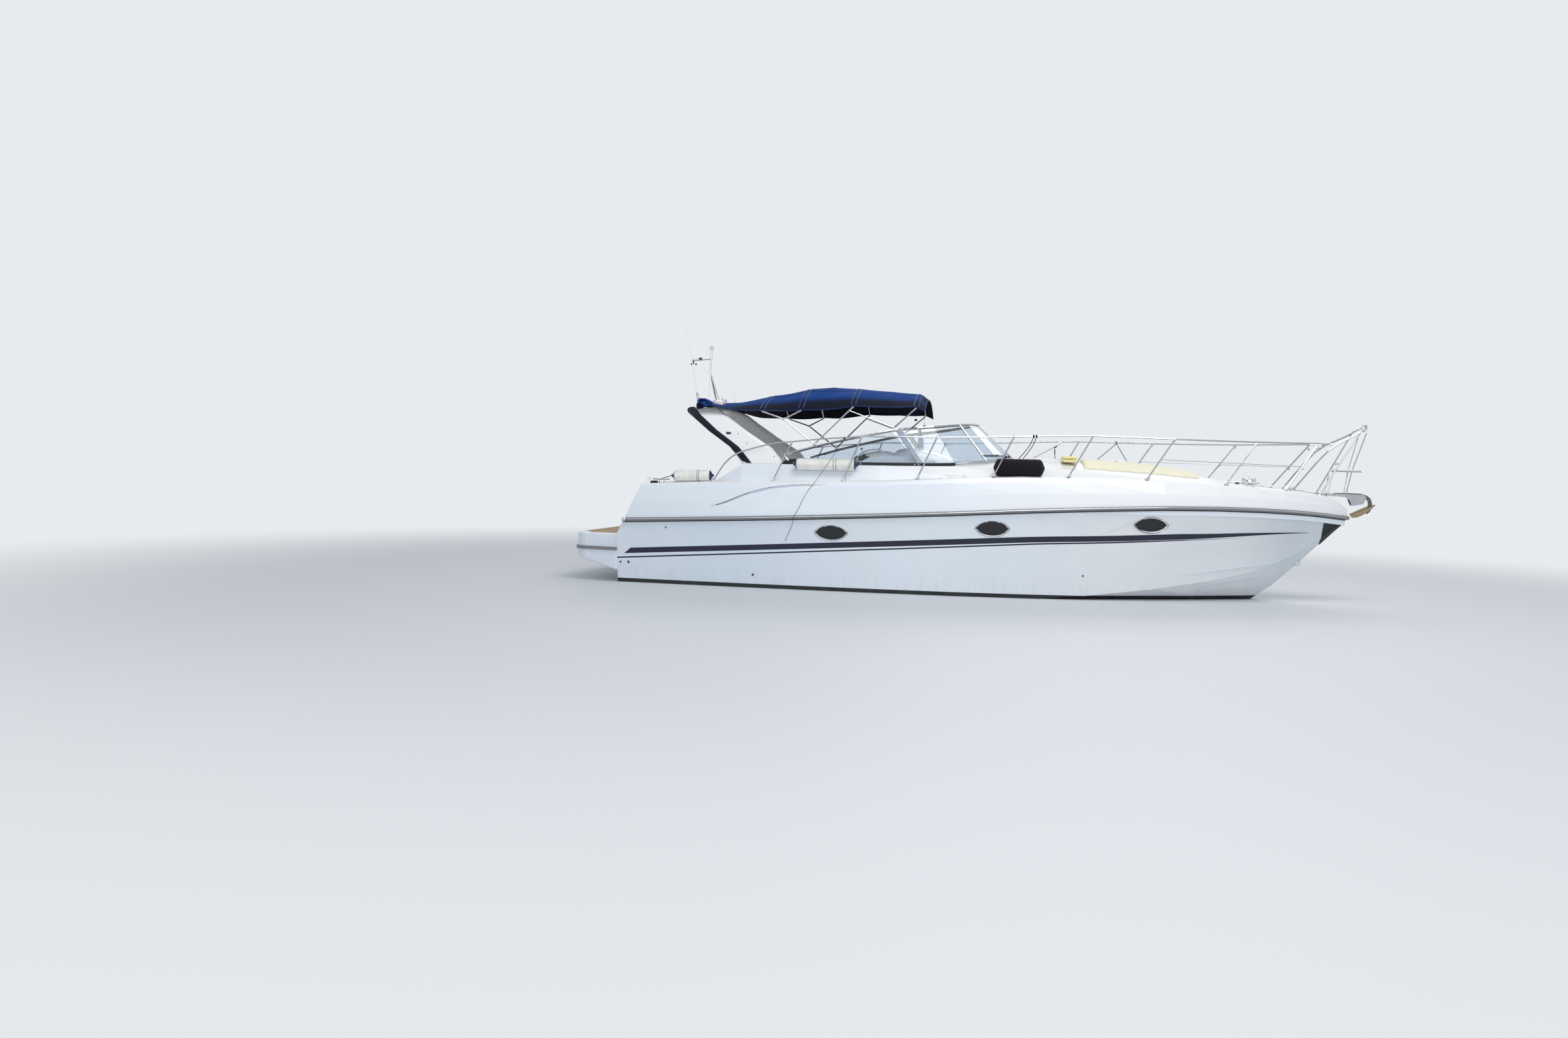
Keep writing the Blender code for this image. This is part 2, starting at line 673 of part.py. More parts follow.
def make_tub():
    tub = box("cockpit_tub", (COCKPIT_AFT_X + GAP, -COCKPIT_HALF_Y + GAP, SOLE_Z - TUB_WALL),
              (COCKPIT_FWD_X - GAP, COCKPIT_HALF_Y - GAP, 2.5))
    inner = box("tub_inner", (COCKPIT_AFT_X + TUB_WALL, -COCKPIT_HALF_Y + TUB_WALL, SOLE_Z),
                (COCKPIT_FWD_X - TUB_WALL, COCKPIT_HALF_Y - TUB_WALL, 3.0), collection=cutters)
    combine(tub, inner, "DIFFERENCE")
    cap = deck_solid("rim", COCKPIT_AFT_X - 0.2, COCKPIT_FWD_X + 0.2, 0.0, 0.2)
    combine(tub, cap, "INTERSECT")
    box_outer = box("engine_box", (ENGINE_BOX_X[0], ENGINE_BOX_Y[0], SOLE_Z - 0.01),
                    (ENGINE_BOX_X[1], ENGINE_BOX_Y[1], ENGINE_BOX_TOP_Z))
    combine(tub, box_outer, "UNION")
    box_inner = box("engine_opening", (ENGINE_BOX_X[0] + TUB_WALL, ENGINE_BOX_Y[0] + TUB_WALL, 0.5),
                    (ENGINE_BOX_X[1] - TUB_WALL, ENGINE_BOX_Y[1] - TUB_WALL, 2.0), collection=cutters)
    combine(tub, box_inner, "DIFFERENCE")
    gate = box("tub_gate", (COCKPIT_AFT_X - 0.1, GATE_Y[0], GATE_SILL_Z),
               (COCKPIT_AFT_X + 0.1, GATE_Y[1], 3.0), collection=cutters)
    combine(tub, gate, "DIFFERENCE")
    step = box("gate_step", (TRANSOM_CAP_FWD_X + STEP_GAP, GATE_Y[0] + STEP_GAP, SOLE_Z - TUB_WALL + STEP_GAP),
               (COCKPIT_AFT_X + TUB_WALL / 2, GATE_Y[1] - STEP_GAP, GATE_SILL_Z - STEP_GAP),
               collection=cutters)
    combine(tub, step, "UNION")
    way = box("tub_companion", (COCKPIT_FWD_X - 0.1, COMPANION_Y[0], SOLE_Z + 0.06),
              (COCKPIT_FWD_X + 0.1, COMPANION_Y[1], COMPANION_TOP_Z), collection=cutters)
    combine(tub, way, "DIFFERENCE")
    for (low_x, high_x), (low_y, high_y), top_z in SEAT_BASES:
        combine(tub, box("seat_base", (low_x, low_y, SOLE_Z - 0.01), (high_x, high_y, top_z)), "UNION")
    return finish_object(tub, "gelcoat")


def make_interior():
    sole_low, sole_high = SOLE_BELOW_X
    sole_z, thick = SOLE_BELOW_Z, SOLE_BELOW_THICK
    half = []
    for row in hull_stations_between(sole_low, sole_high):
        section = hull_half(row, HULL_WALL)
        width = float(np.interp(sole_z - thick, [p[1] for p in section[:3]], [p[0] for p in section[:3]]))
        if half:
            half.append(((half[-1][0] + row[0]) / 2, (half[-1][1] + width) / 2 - 0.04))
        half.append((row[0], width - SOLE_EDGE_CLEAR))
    outline = [(x, y) for x, y in half] + [(x, -y) for x, y in reversed(half)]
    sole = prism("cabin_sole", outline, sole_z - thick, sole_z, "Z")
    finish_object(sole, "vinyl")


def make_engines():
    for side, word in ((-1, "starboard"), (1, "port")):
        y = side * ENGINE_Y
        block = box("engine_" + word, (ENGINE_X[0], y - ENGINE_HALF_Y, ENGINE_BOTTOM_Z),
                    (ENGINE_X[1], y + ENGINE_HALF_Y, ENGINE_TOP_Z), 0.04)
        finish_object(block, "engine_grey")


def plan_outline(offset=0.0):
    """Platform outline from the port hull corner round the aft edge to starboard."""
    arc = []
    for i in range(7):
        t = math.radians(90 + 90 * i / 6)
        cx = PLATFORM_AFT_X + PLATFORM_CORNER_R
        cy = PLATFORM_AFT_HALF_Y - PLATFORM_CORNER_R
        r = PLATFORM_CORNER_R + offset
        arc.append((cx + r * math.cos(t), cy + r * math.sin(t)))
    port = [(TRANSOM_X - GAP, PLATFORM_HALF_Y + offset)] + arc
    return port + [(x, -y) for x, y in reversed(port)]


def make_platform():
    platform = prism("swim_platform", plan_outline(), 0.1, PLATFORM_TOP_Z, "Z")
    foot_lift, tip_lift = PLATFORM_UNDER_LIFT
    below = ((TRANSOM_X + 0.1, PLATFORM_FOOT_Z - foot_lift), (TRANSOM_X + 0.1, -0.5), (-6.2, -0.5),
             (-6.2, PLATFORM_TIP_Z + tip_lift))
    under = prism("under", below, -3, 3, "Y", cutters)
    combine(platform, under, "DIFFERENCE")
    round_edges(platform, 0.02, 2)
    finish_object(platform, "gelcoat")
    outer = plan_outline(PLATFORM_STRIP_DEPTH)
    inner = plan_outline(GAP)
    strip = prism("platform_rub_strip", outer + list(reversed(inner)), *PLATFORM_STRIP_Z, "Z")
    finish_object(strip, "rub_grey")


def rail_path():
    """Rail points from starboard aft round the stem to port aft, with outward plan normals."""
    xs = [row[0] for row in HULL_STATIONS[1:]]
    port = [np.array((x, rail_y(x), rail_z(x))) for x in xs]
    starboard = [p * np.array((1, -1, 1)) for p in port]
    path = starboard + port[::-1]
    out = []
    for i, p in enumerate(path):
        before = path[max(i - 1, 0)]
        after = path[min(i + 1, len(path) - 1)]
        d1 = (p - before)[:2] if i else (after - p)[:2]
        d2 = (after - p)[:2] if i < len(path) - 1 else d1
        d1 = d1 / np.linalg.norm(d1)
        d2 = d2 / np.linalg.norm(d2)
        n1 = np.array((d1[1], -d1[0]))
        n2 = np.array((d2[1], -d2[0]))
        mitre = n1 + n2
        mitre = mitre / np.linalg.norm(mitre)
        scale = 1 / max(0.5, float(mitre @ n1))
        out.append((p, mitre * scale))
    return out


RUB_HEIGHT = 0.056
RUB_DEPTH = 0.030


def make_rub_rail():
    profile = ((GAP, -RUB_HEIGHT / 2), (RUB_DEPTH * 0.7, -RUB_HEIGHT / 2), (RUB_DEPTH, -RUB_HEIGHT / 4),
               (RUB_DEPTH, RUB_HEIGHT / 4), (RUB_DEPTH * 0.7, RUB_HEIGHT / 2), (GAP, RUB_HEIGHT / 2))
    rings = []
    for p, n in rail_path():
        rings.append([(p[0] + n[0] * out, p[1] + n[1] * out, p[2] + up) for out, up in profile])
    rub = loft("rub_rail", rings)
    finish_object(rub, "rub_grey")


STEM_PLATE_X = (5.47, 5.68, 5.80)
STEM_PLATE_THICK = 0.006
STEM_PLATE_OFF = 0.0036


def make_stem_plate():
    rings = []
    for x in STEM_PLATE_X:
        full = hull_half(station(HULL_STATIONS, x))
        top = full[-1][1] - RUB_HEIGHT / 2 - 0.006
        heights = [min(z, top - 0.0008 * (len(full) - 1 - i)) for i, (_, z) in enumerate(full)]
        half = [(float(np.interp(z, [q[1] for q in full], [q[0] for q in full])), z) for z in heights]

        def shell(out):
            side = [(x, y + out, z) for y, z in half[1:]]
            return [(x, -y, z) for _, y, z in reversed(side)] + [(x, 0.0, half[0][1] - out * 2.2)] + side
        rings.append(shell(STEM_PLATE_OFF + STEM_PLATE_THICK) + list(reversed(shell(STEM_PLATE_OFF))))
    plate = loft("stem_plate", rings)
    finish_object(plate, "steel")


# Windscreen. Columns: base x, y, z and top x, y, z from the aft port corner to the centreline
SCREEN_ROWS = (
    (-2.47, 1.362, 1.895, -2.57, 1.335, 2.015),
    (-2.14, 1.362, 1.905, -2.10, 1.285, 2.160),
    (-1.60, 1.360, 1.912, -1.50, 1.235, 2.310),
    (-1.00, 1.350, 1.918, -1.05, 1.180, 2.410),
    (-0.51, 1.300, 1.925, -0.87, 1.140, 2.440),
    (0.00, 1.180, 1.940, -0.35, 0.960, 2.500),
    (0.46, 0.860, 2.000, 0.03, 0.600, 2.550),
    (0.76, 0.430, 2.052, 0.24, 0.300, 2.572),
    (0.86, 0.000, 2.070, 0.31, 0.000, 2.580),
)
POST_ROWS = (4, 6)
SCREEN_STEPS = 2
SCREEN_RAIL_R = 0.018
SCREEN_POST_R = 0.016
GLASS_THICK = 0.008
GLASS_SEAT = 0.0005
SCREEN_SINK = 0.003


def seated_rail(points):
    """Lifts each point of the base rail so that its runs clear the deck below."""
    reach = SCREEN_RAIL_R
    seated = []
    for i, p in enumerate(points):
        needed = []
        for j in (max(i - 1, 0), min(i + 1, len(points) - 1)):
            for share in (0.0, 0.25, 0.5):
                q = p.lerp(points[j], share)
                spread = (-reach, 0, reach)
                needed += [deck_top_z(q.x + dx, q.y + dy) for dx in spread for dy in spread]
        seated.append(Vector((p.x, p.y, max(needed) + SCREEN_RAIL_R - SCREEN_SINK)))
    return seated


def screen_curves():
    mirrored = [(r[0], -r[1], r[2], r[3], -r[4], r[5]) for r in reversed(SCREEN_ROWS[:-1])]
    full = smooth_points(list(SCREEN_ROWS) + mirrored, SCREEN_STEPS)
    base = seated_rail([Vector(r[:3]) for r in full])
    top = [Vector(r[3:]) for r in full]
    return base, top


def make_windscreen():
    base, top = screen_curves()
    frame = tube("windscreen_frame", top, SCREEN_RAIL_R, resolution=1)
    pieces = [tube("base_rail", base, SCREEN_RAIL_R, resolution=1)]
    count = len(base)
    port_posts = [i * SCREEN_STEPS for i in POST_ROWS]
    posts = sorted(port_posts + [count - 1 - i for i in port_posts])
    for i in [0] + posts + [count - 1]:
        pieces.append(cylinder("post", base[i], top[i], SCREEN_POST_R, 8))
    join_all(frame, pieces)
    seat_on_deck(frame)
    finish_object(frame, "steel")
    limits = [0] + posts + [count - 1]
    names = ("port_side", "port_quarter", "centre", "starboard_quarter", "starboard_side")
    for (first, last), word in zip(zip(limits[:-1], limits[1:]), names):
        rows = []
        for i in range(first, last + 1):
            low, high = base[i], top[i]
            if i in (first, last):
                other = i + 1 if i == first else i - 1
                keep = SCREEN_POST_R * 1.25 + 0.002
                low = low + (base[other] - base[i]).normalized() * keep
                high = high + (top[other] - top[i]).normalized() * keep
            span = (high - low).normalized()
            reach = SCREEN_RAIL_R + GLASS_SEAT
            ahead, behind = min(i + 1, count - 1), max(i - 1, 0)
            low_edge = reach / span.cross((base[ahead] - base[behind]).normalized()).length
            high_edge = reach / span.cross((top[ahead] - top[behind]).normalized()).length
            rows.append((low + span * low_edge, high - span * high_edge))
        rings = []
        for k, (low, high) in enumerate(rows):
            step = rows[min(k + 1, len(rows) - 1)][0] - rows[max(k - 1, 0)][0]
            normal = step.cross(high - low).normalized() * GLASS_THICK / 2
            ring = (low - normal, high - normal, high + normal, low + normal)
            rings.append([tuple(p) for p in ring])
        glass = loft("glass_" + word, rings, back_from=2)
        finish_object(glass, "glass")


# Radar arch path on the port side. Columns: x, y, z, chord, thickness
ARCH_PATH = (
    (-2.88, 1.310, 1.870, 0.66, 0.12),
    (-3.09, 1.315, 2.120, 0.65, 0.12),
    (-3.46, 1.270, 2.360, 0.61, 0.11),
    (-3.75, 1.190, 2.570, 0.56, 0.11),
    (-3.90, 1.060, 2.680, 0.54, 0.11),
    (-3.95, 0.800, 2.720, 0.53, 0.10),
    (-3.96, 0.400, 2.735, 0.53, 0.10),
    (-3.96, 0.000, 2.740, 0.53, 0.10),
)


# Gear on the arch
MAST_X = -4.00
MAST_FOOT_Y = 0.28
MAST_APEX_Z = 3.37
MAST_TOP_Z = 3.80
WIND_ARM_Z = (3.58, 3.55)
WIND_ARM_REACH = 0.30
ANTENNA_X = -4.04
ANTENNA_Y = -0.90
ANTENNA_Z = 2.84
ANTENNA_SOCKET_Z = 2.72
ANTENNA_RISE = (-0.31, 0.0, 1.62)
ARCH_SINK = 0.012
# Arch section as shares of chord and thickness
ARCH_SECTION = (
    (-0.5, 0.10), (-0.47, 0.34), (-0.38, 0.5), (0.36, 0.5), (0.47, 0.30), (0.5, 0.08),
    (0.5, -0.08), (0.47, -0.30), (0.36, -0.5), (-0.38, -0.5), (-0.47, -0.34), (-0.5, -0.10),
)
INSTRUMENT_POD = ((-4.16, 0.45, 2.74), (-3.89, 0.80, 2.88))


def make_arch():
    port = [np.array(row) for row in ARCH_PATH]
    starboard = [row * np.array((1, -1, 1, 1, 1)) for row in port[:-1]]
    path = port + starboard[::-1]
    rings = []
    for i, row in enumerate(path):
        before = path[max(i - 1, 0)]
        after = path[min(i + 1, len(path) - 1)]
        along = Vector((0, after[1] - before[1], after[2] - before[2])).normalized()
        if i in (0, len(path) - 1):
            along = Vector((0, 0, 1)) if i == 0 else Vector((0, 0, -1))
        across = Vector((1, 0, 0)).cross(along).normalized()
        x, y, z, chord, thick = row
        centre = Vector((x, y, z))
        ring = [tuple(centre + Vector((u * chord, 0, 0)) + across * (v * thick)) for u, v in ARCH_SECTION]
        if i in (0, len(path) - 1):
            ring = [(p[0], p[1], deck_top_z(p[0], p[1]) - ARCH_SINK) for p in ring]
        rings.append(ring)
    arch = loft("radar_arch", rings)
    pod = box("instrument_pod", *INSTRUMENT_POD, 0.015)
    socket = cylinder("antenna_socket", (ANTENNA_X, ANTENNA_Y, ANTENNA_SOCKET_Z),
                      (ANTENNA_X, ANTENNA_Y, ANTENNA_Z - 0.022), 0.03)
    join_all(arch, [pod, socket])
    seat_on_deck(arch)
    finish_object(arch, "gelcoat")


def arch_top(y, reach=0.0):
    """Height of the arch's upper face, for a foot that reaches that far inboard."""
    rows = [row for row in reversed(ARCH_PATH) if row[2] > 2.6]
    inner = max(abs(y) - reach, 0.0)
    return float(np.interp(inner, [row[1] for row in rows], [row[2] + row[4] / 2 for row in rows])) + GAP


def make_arch_gear():
    apex = (MAST_X - 0.08, 0.0, MAST_APEX_Z)
    feet = [(MAST_X, -MAST_FOOT_Y), (MAST_X, MAST_FOOT_Y), (MAST_X + 0.12, 0.0)]
    head_x = apex[0] + 0.02
    mast = cylinder("arch_mast", (apex[0], 0, MAST_APEX_Z - 0.04), (head_x, 0, MAST_TOP_Z - 0.06), 0.014, 12)
    pieces = []
    for x, y in feet:
        z = arch_top(y, 0.03)
        pieces.append(cylinder("foot", (x, y, z), (x, y, z + 0.012), 0.03, 12))
        pieces.append(cylinder("leg", (x, y, z + 0.008), apex, 0.012, 10))
    pieces.append(cylinder("lamp", (head_x, 0, MAST_TOP_Z - 0.07), (head_x, 0, MAST_TOP_Z), 0.026, 14))
    arm_root, arm_tip = (apex[0] + 0.015, 0, WIND_ARM_Z[0]), (apex[0] - WIND_ARM_REACH, 0, WIND_ARM_Z[1])
    pieces.append(cylinder("wind_arm", arm_root, arm_tip, 0.009, 8))
    join_all(mast, pieces)
    finish_object(mast, "steel")
    whip = cylinder("whip_antenna", (ANTENNA_X, ANTENNA_Y, ANTENNA_Z),
                    Vector((ANTENNA_X, ANTENNA_Y, ANTENNA_Z)) + Vector(ANTENNA_RISE), 0.011, 10, 0.004)
    hub = cylinder("hub", (ANTENNA_X, ANTENNA_Y - 0.02, ANTENNA_Z), (ANTENNA_X, ANTENNA_Y + 0.02, ANTENNA_Z),
                   0.022 - GAP, 16)
    combine(whip, hub, "UNION")
    set_origin(whip, (ANTENNA_X, ANTENNA_Y, ANTENNA_Z))
    finish_object(whip, "gelcoat")


# Handrail. Columns: foot x, foot to top lean, rail z above the deck edge
STANCHIONS = (
    (-2.68, 0.28, 0.60),
    (-1.62, 0.26, 0.67),
    (-0.53, 0.27, 0.62),
    (0.57, 0.28, 0.60),
    (1.64, 0.33, 0.61),
    (2.76, 0.38, 0.60),
    (3.92, 0.44, 0.64),
    (4.84, 0.50, 0.71),
)
RAIL_R = 0.0125
STANCHION_INSET = 0.06
FOOT_R = 0.032
FOOT_HEIGHT = 0.014
RAIL_END_X = -3.60
# The rail's sweep down to its aft foot. Columns: x, y past the end foot's, z
RAIL_SWEEP = (
    (-3.44, 0.0, 1.86),
    (-3.26, 0.01, 2.01),
    (-3.07, 0.01, 2.08),
    (-2.74, 0.02, 2.17),
)
RAIL_BOW_END = (5.56, 0.26, 2.37)


def deck_top_z(x, y):
    """Height of the deck's outer surface."""
    half = deck_half(station(DECK_STATIONS, x))[3:]
    return float(np.interp(-abs(y), [-p[0] for p in half], [p[1] for p in half]))


def stanchion_points():
    feet = []
    tops = []
    for x, lean, rise in STANCHIONS:
        y = edge_y(x) - STANCHION_INSET
        feet.append((x, y, deck_top_z(x, y)))
        tops.append((x + lean, edge_y(x + lean) - STANCHION_INSET * 0.8, edge_z(x) + rise))
    return feet, tops


def make_handrails():
    feet, tops = stanchion_points()
    end_y = edge_y(RAIL_END_X) - STANCHION_INSET
    end_z = deck_top_z(RAIL_END_X, end_y)
    end_start = end_z + seat_drop((RAIL_END_X, end_y, end_z)) + FOOT_HEIGHT * 0.6
    rail = [(RAIL_END_X, end_y, end_start)] + [(x, end_y + out, z) for x, out, z in RAIL_SWEEP] + tops
    rail.append(RAIL_BOW_END)
    for side, word in ((-1, "starboard"), (1, "port")):
        def flip(point):
            return (point[0], side * point[1], point[2])
        run = smooth_points(rail, 2)
        handrail = tube("handrail_" + word, [flip(p) for p in run], RAIL_R, resolution=1)
        pieces = []
        for foot, top in zip(feet, tops):
            start = Vector(flip(foot))
            end = Vector(flip(top))
            lift = Vector((0, 0, seat_drop(foot) + FOOT_HEIGHT * 0.5))
            pieces.append(cylinder("stanchion", start + lift, end, 0.0115, 8))
        middle = [Vector(foot).lerp(Vector(top), 0.5) for foot, top in zip(feet, tops)]
        pieces.append(tube("mid_rail", [flip(p) for p in middle[5:]], 0.005, resolution=1))
        join_all(handrail, pieces)
        for foot in feet + [(RAIL_END_X, end_y, end_z)]:
            base = Vector(flip(foot))
            drop = seat_drop(foot)
            disc = cylinder("foot", base + Vector((0, 0, drop)), base + Vector((0, 0, drop + FOOT_HEIGHT)),
                            FOOT_R, 12, FOOT_R * 0.8)
            combine(handrail, disc, "UNION")
        finish_object(handrail, "steel")


def seat_drop(foot):
    """Lift that puts a flat foot disc just over the sloping deck."""
    x, y, z = foot
    highest = max(deck_top_z(x + dx, y + dy) for dx in (-FOOT_R, 0, FOOT_R) for dy in (-FOOT_R, 0, FOOT_R))
    return highest - z + GAP


# Pulpit
PULPIT_FEET = ((4.98, 0.36), (5.42, 0.12))
PULPIT_LOOP = ((5.45, 0.36, 2.28), (5.85, 0.26, 2.52), (6.00, 0.17, 2.63), (6.03, 0.0, 2.64))
PULPIT_LEG_TOP = (5.93, 0.215, 2.575)


def make_pulpit():
    aft_foot = PULPIT_FEET[0] + (deck_top_z(*PULPIT_FEET[0]),)
    points = [PULPIT_FEET[0] + (aft_foot[2] + seat_drop(aft_foot) + FOOT_HEIGHT * 0.6,)] + list(PULPIT_LOOP)
    half = smooth_points(points, 3)
    path = half + [(x, -y, z) for x, y, z in reversed(half[:-1])]
    pulpit = tube("pulpit", path, RAIL_R)
    pieces = []
    low_foot = Vector(PULPIT_FEET[1] + (deck_top_z(*PULPIT_FEET[1]),))
    for side in (-1, 1):
        start_z = low_foot.z + seat_drop(low_foot) + FOOT_HEIGHT * 0.6
        top_x, top_y, top_z = PULPIT_LEG_TOP
        leg_foot = (low_foot.x, side * low_foot.y, start_z)
        pieces.append(cylinder("leg", leg_foot, (top_x, side * top_y, top_z), 0.0115, 10))
        for x, y in PULPIT_FEET:
            foot = (x, y, deck_top_z(x, y))
            z = foot[2] + seat_drop(foot)
            pieces.append(cylinder("foot", (x, side * y, z), (x, side * y, z + FOOT_HEIGHT), FOOT_R, 12,
                                   FOOT_R * 0.8))
    step = low_foot.lerp(Vector(PULPIT_LEG_TOP), 0.5)
    pieces.append(cylinder("cross", (step.x, -step.y, step.z), step, 0.011, 8))
    join_all(pulpit, pieces)
    finish_object(pulpit, "steel")


# Bow roller: a channel with two cheeks. Outline of its outer part as (x, z) pairs
ROLLER_FOOT_X = (5.28, 5.45)
ROLLER_HALF_Y = 0.055
ROLLER_CHEEK = 0.010
ROLLER_NOSE = ((6.06, 1.64), (6.10, 1.60), (6.06, 1.50), (5.90, 1.47), (5.84, 1.60))
ROLLER_FLOOR = ((5.60, 1.615), (5.86, 1.30))
ROLLER_AXLE = (6.03, 1.56)
ROLLER_AXLE_R = 0.028

# Anchor. Shank outline as (x, z) pairs; share rows: x, half-breadth, edge z, keel x, keel z
ANCHOR_SHANK = ((5.62, 1.625), (5.95, 1.635), (6.12, 1.60), (6.17, 1.50), (6.13, 1.38),
                (6.10, 1.38), (6.13, 1.50), (6.09, 1.575), (5.95, 1.6153), (5.62, 1.6153))
ANCHOR_SHANK_HALF_Y = 0.012
ANCHOR_SHARE = (
    (5.93, 0.16, 1.36, 5.95, 1.315),
    (6.10, 0.13, 1.44, 6.13, 1.34),
    (6.22, 0.02, 1.50, 6.23, 1.46),
)

# Windlass
WINDLASS_X = 4.42
WINDLASS_HALF = (0.09, 0.08, 0.09)
WINDLASS_HEIGHT = 0.10
WINDLASS_PLATE = 0.012
WINDLASS_DRUM_Y = (-0.16, 0.12)
WINDLASS_DRUM_Z = 0.07
WINDLASS_DRUM_R = 0.045


def make_bow_gear():
    seat = [(x, deck_top_z(x, 0) + GAP) for x in ROLLER_FOOT_X]
    roller = prism("bow_roller", ((ROLLER_FOOT_X[0], seat[0][1] + 0.008),) + ROLLER_NOSE + (seat[1], seat[0]),
                   -ROLLER_HALF_Y, ROLLER_HALF_Y, "Y")
    inner = ROLLER_HALF_Y - ROLLER_CHEEK
    for x, z in reversed(ROLLER_FLOOR):
        combine(roller, box("channel", (x, -inner, z), (6.3, inner, 2.0), collection=cutters), "DIFFERENCE")
    axle_x, axle_z = ROLLER_AXLE
    axle_y = ROLLER_HALF_Y + 0.005
    axle = cylinder("axle", (axle_x, -axle_y, axle_z), (axle_x, axle_y, axle_z), ROLLER_AXLE_R, 14)
    combine(roller, axle, "UNION")
    finish_object(roller, "steel")
    shank = prism("anchor", ANCHOR_SHANK, -ANCHOR_SHANK_HALF_Y, ANCHOR_SHANK_HALF_Y, "Y")
    share = loft("share", [[(x, -half, z), (x, half, z), (keel_x, 0, keel_z)]
                           for x, half, z, keel_x, keel_z in ANCHOR_SHARE])
    combine(shank, share, "UNION")
    finish_object(shank, "iron")
    make_windlass()


def make_windlass():
    half_x, half_y, plate_y = WINDLASS_HALF
    low, high = WINDLASS_X - half_x, WINDLASS_X + half_x
    base_z = deck_top_z(low, 0) + GAP
    windlass = box("windlass", (low, -half_y, base_z), (high, half_y, base_z + WINDLASS_HEIGHT), 0.02)
    plate = box("base", (low, -plate_y, base_z), (high, plate_y, base_z + WINDLASS_PLATE))
    combine(windlass, plate, "UNION")
    drum_z = base_z + WINDLASS_DRUM_Z
    drum = cylinder("drum", (WINDLASS_X, WINDLASS_DRUM_Y[0], drum_z),
                    (WINDLASS_X, WINDLASS_DRUM_Y[1], drum_z),
                    WINDLASS_DRUM_R, 16)
    combine(windlass, drum, "UNION")
    finish_object(windlass, "steel")


# Cleats. Columns: name, x, half-breadth inset from the deck edge
CLEATS = (("bow", 4.30, 0.16), ("stern", -4.45, 0.13))
# Horns as (x, z) pairs from the middle of the foot
CLEAT_HORNS = ((-0.13, 0.055), (-0.06, 0.05), (0.06, 0.05), (0.13, 0.055))
CLEAT_R = 0.012
CLEAT_LEG_X = 0.045
CLEAT_LEG_R = 0.014


def make_cleats():
    corner = (-CLEAT_LEG_R, CLEAT_LEG_R)
    for label, x, inset in CLEATS:
        for side, word in ((-1, "starboard"), (1, "port")):
            y = edge_y(x) - inset
            z = max(deck_top_z(x + dx, y + dy) for dx in (-0.06, 0.06) for dy in (-0.02, 0.02)) + GAP
            horns = [(x + dx, side * y, z + dz) for dx, dz in CLEAT_HORNS]
            cleat = tube("cleat_" + label + "_" + word, horns, CLEAT_R)
            legs = []
            for dx in (-CLEAT_LEG_X, CLEAT_LEG_X):
                foot = max(deck_top_z(x + dx + ex, y + ey) for ex in corner for ey in corner)
                legs.append(cylinder("leg", (x + dx, side * y, foot - 0.004), (x + dx, side * y, z + 0.05),
                                     CLEAT_LEG_R, 10))
            join_all(cleat, legs)
            seat_on_deck(cleat)
            finish_object(cleat, "steel")


# Canopy rows. Columns: x, edge z, crown above the edge
CANOPY_ROWS = (
    (-3.86, 2.800, 0.045),
    (-3.45, 2.730, 0.160),
    (-2.95, 2.700, 0.290),
    (-2.35, 2.720, 0.390),
    (-2.00, 2.745, 0.410),
    (-1.55, 2.790, 0.330),
    (-1.05, 2.810, 0.290),
    (-0.60, 2.790, 0.260),
    (-0.47, 2.730, 0.230),
)
CANOPY_HALF_Y = 1.26
CANOPY_COLUMNS = 10
CANOPY_THICK = 0.010
BOW_R = 0.0125


def canopy_y(k):
    return -CANOPY_HALF_Y + 2 * CANOPY_HALF_Y * k / CANOPY_COLUMNS


def canopy_z(row, y):
    s = abs(y) / CANOPY_HALF_Y
    return row[1] + row[2] * (1 - s ** 2.2)


def make_canopy():
    rings = []
    for row in CANOPY_ROWS:
        upper = [(row[0], canopy_y(k), canopy_z(row, canopy_y(k))) for k in range(CANOPY_COLUMNS + 1)]
        lower = [(x, y, z - CANOPY_THICK) for x, y, z in reversed(upper)]
        rings.append(upper + lower)
    canopy = loft("bimini_canopy", rings, back_from=CANOPY_COLUMNS + 1)
    finish_object(canopy, "canvas")


def bow_over(index, radius):
    """Points of a bow that runs under one canopy row, port to starboard."""
    row = CANOPY_ROWS[index]
    points = []
    for k in range(CANOPY_COLUMNS, -1, -1):
        y = canopy_y(k)
        near = canopy_y(min(k + 1, CANOPY_COLUMNS))
        far = canopy_y(max(k - 1, 0))
        slopes = [abs(canopy_z(row, near) - canopy_z(row, y)) / max(abs(near - y), 1e-6),
                  abs(canopy_z(row, y) - canopy_z(row, far)) / max(abs(far - y), 1e-6)]
        rise = max(slopes)
        along = max(abs(CANOPY_ROWS[index + 1][1] + CANOPY_ROWS[index + 1][2] - row[1] - row[2])
                    / (CANOPY_ROWS[index + 1][0] - row[0]),
                    abs(CANOPY_ROWS[index - 1][1] + CANOPY_ROWS[index - 1][2] - row[1] - row[2])
                    / (row[0] - CANOPY_ROWS[index - 1][0]))
        drop = radius * math.sqrt(1 + rise * rise + along * along)
        points.append((row[0], y * 0.995, canopy_z(row, y) - CANOPY_THICK - drop - GAP))
    return points


def rail_foot(x, reach):
    """Point over the windscreen's top rail where an upright stands."""
    _, top = screen_curves()
    port = [p for p in top if p.y > 0.5]
    y = float(np.interp(x, [p.x for p in port], [p.y for p in port]))
    z = float(np.interp(x, [p.x for p in port], [p.z for p in port]))
    z_fore = float(np.interp(x + reach, [p.x for p in port], [p.z for p in port]))
    return Vector((x, y, max(z, z_fore) + SCREEN_RAIL_R * 0.5))


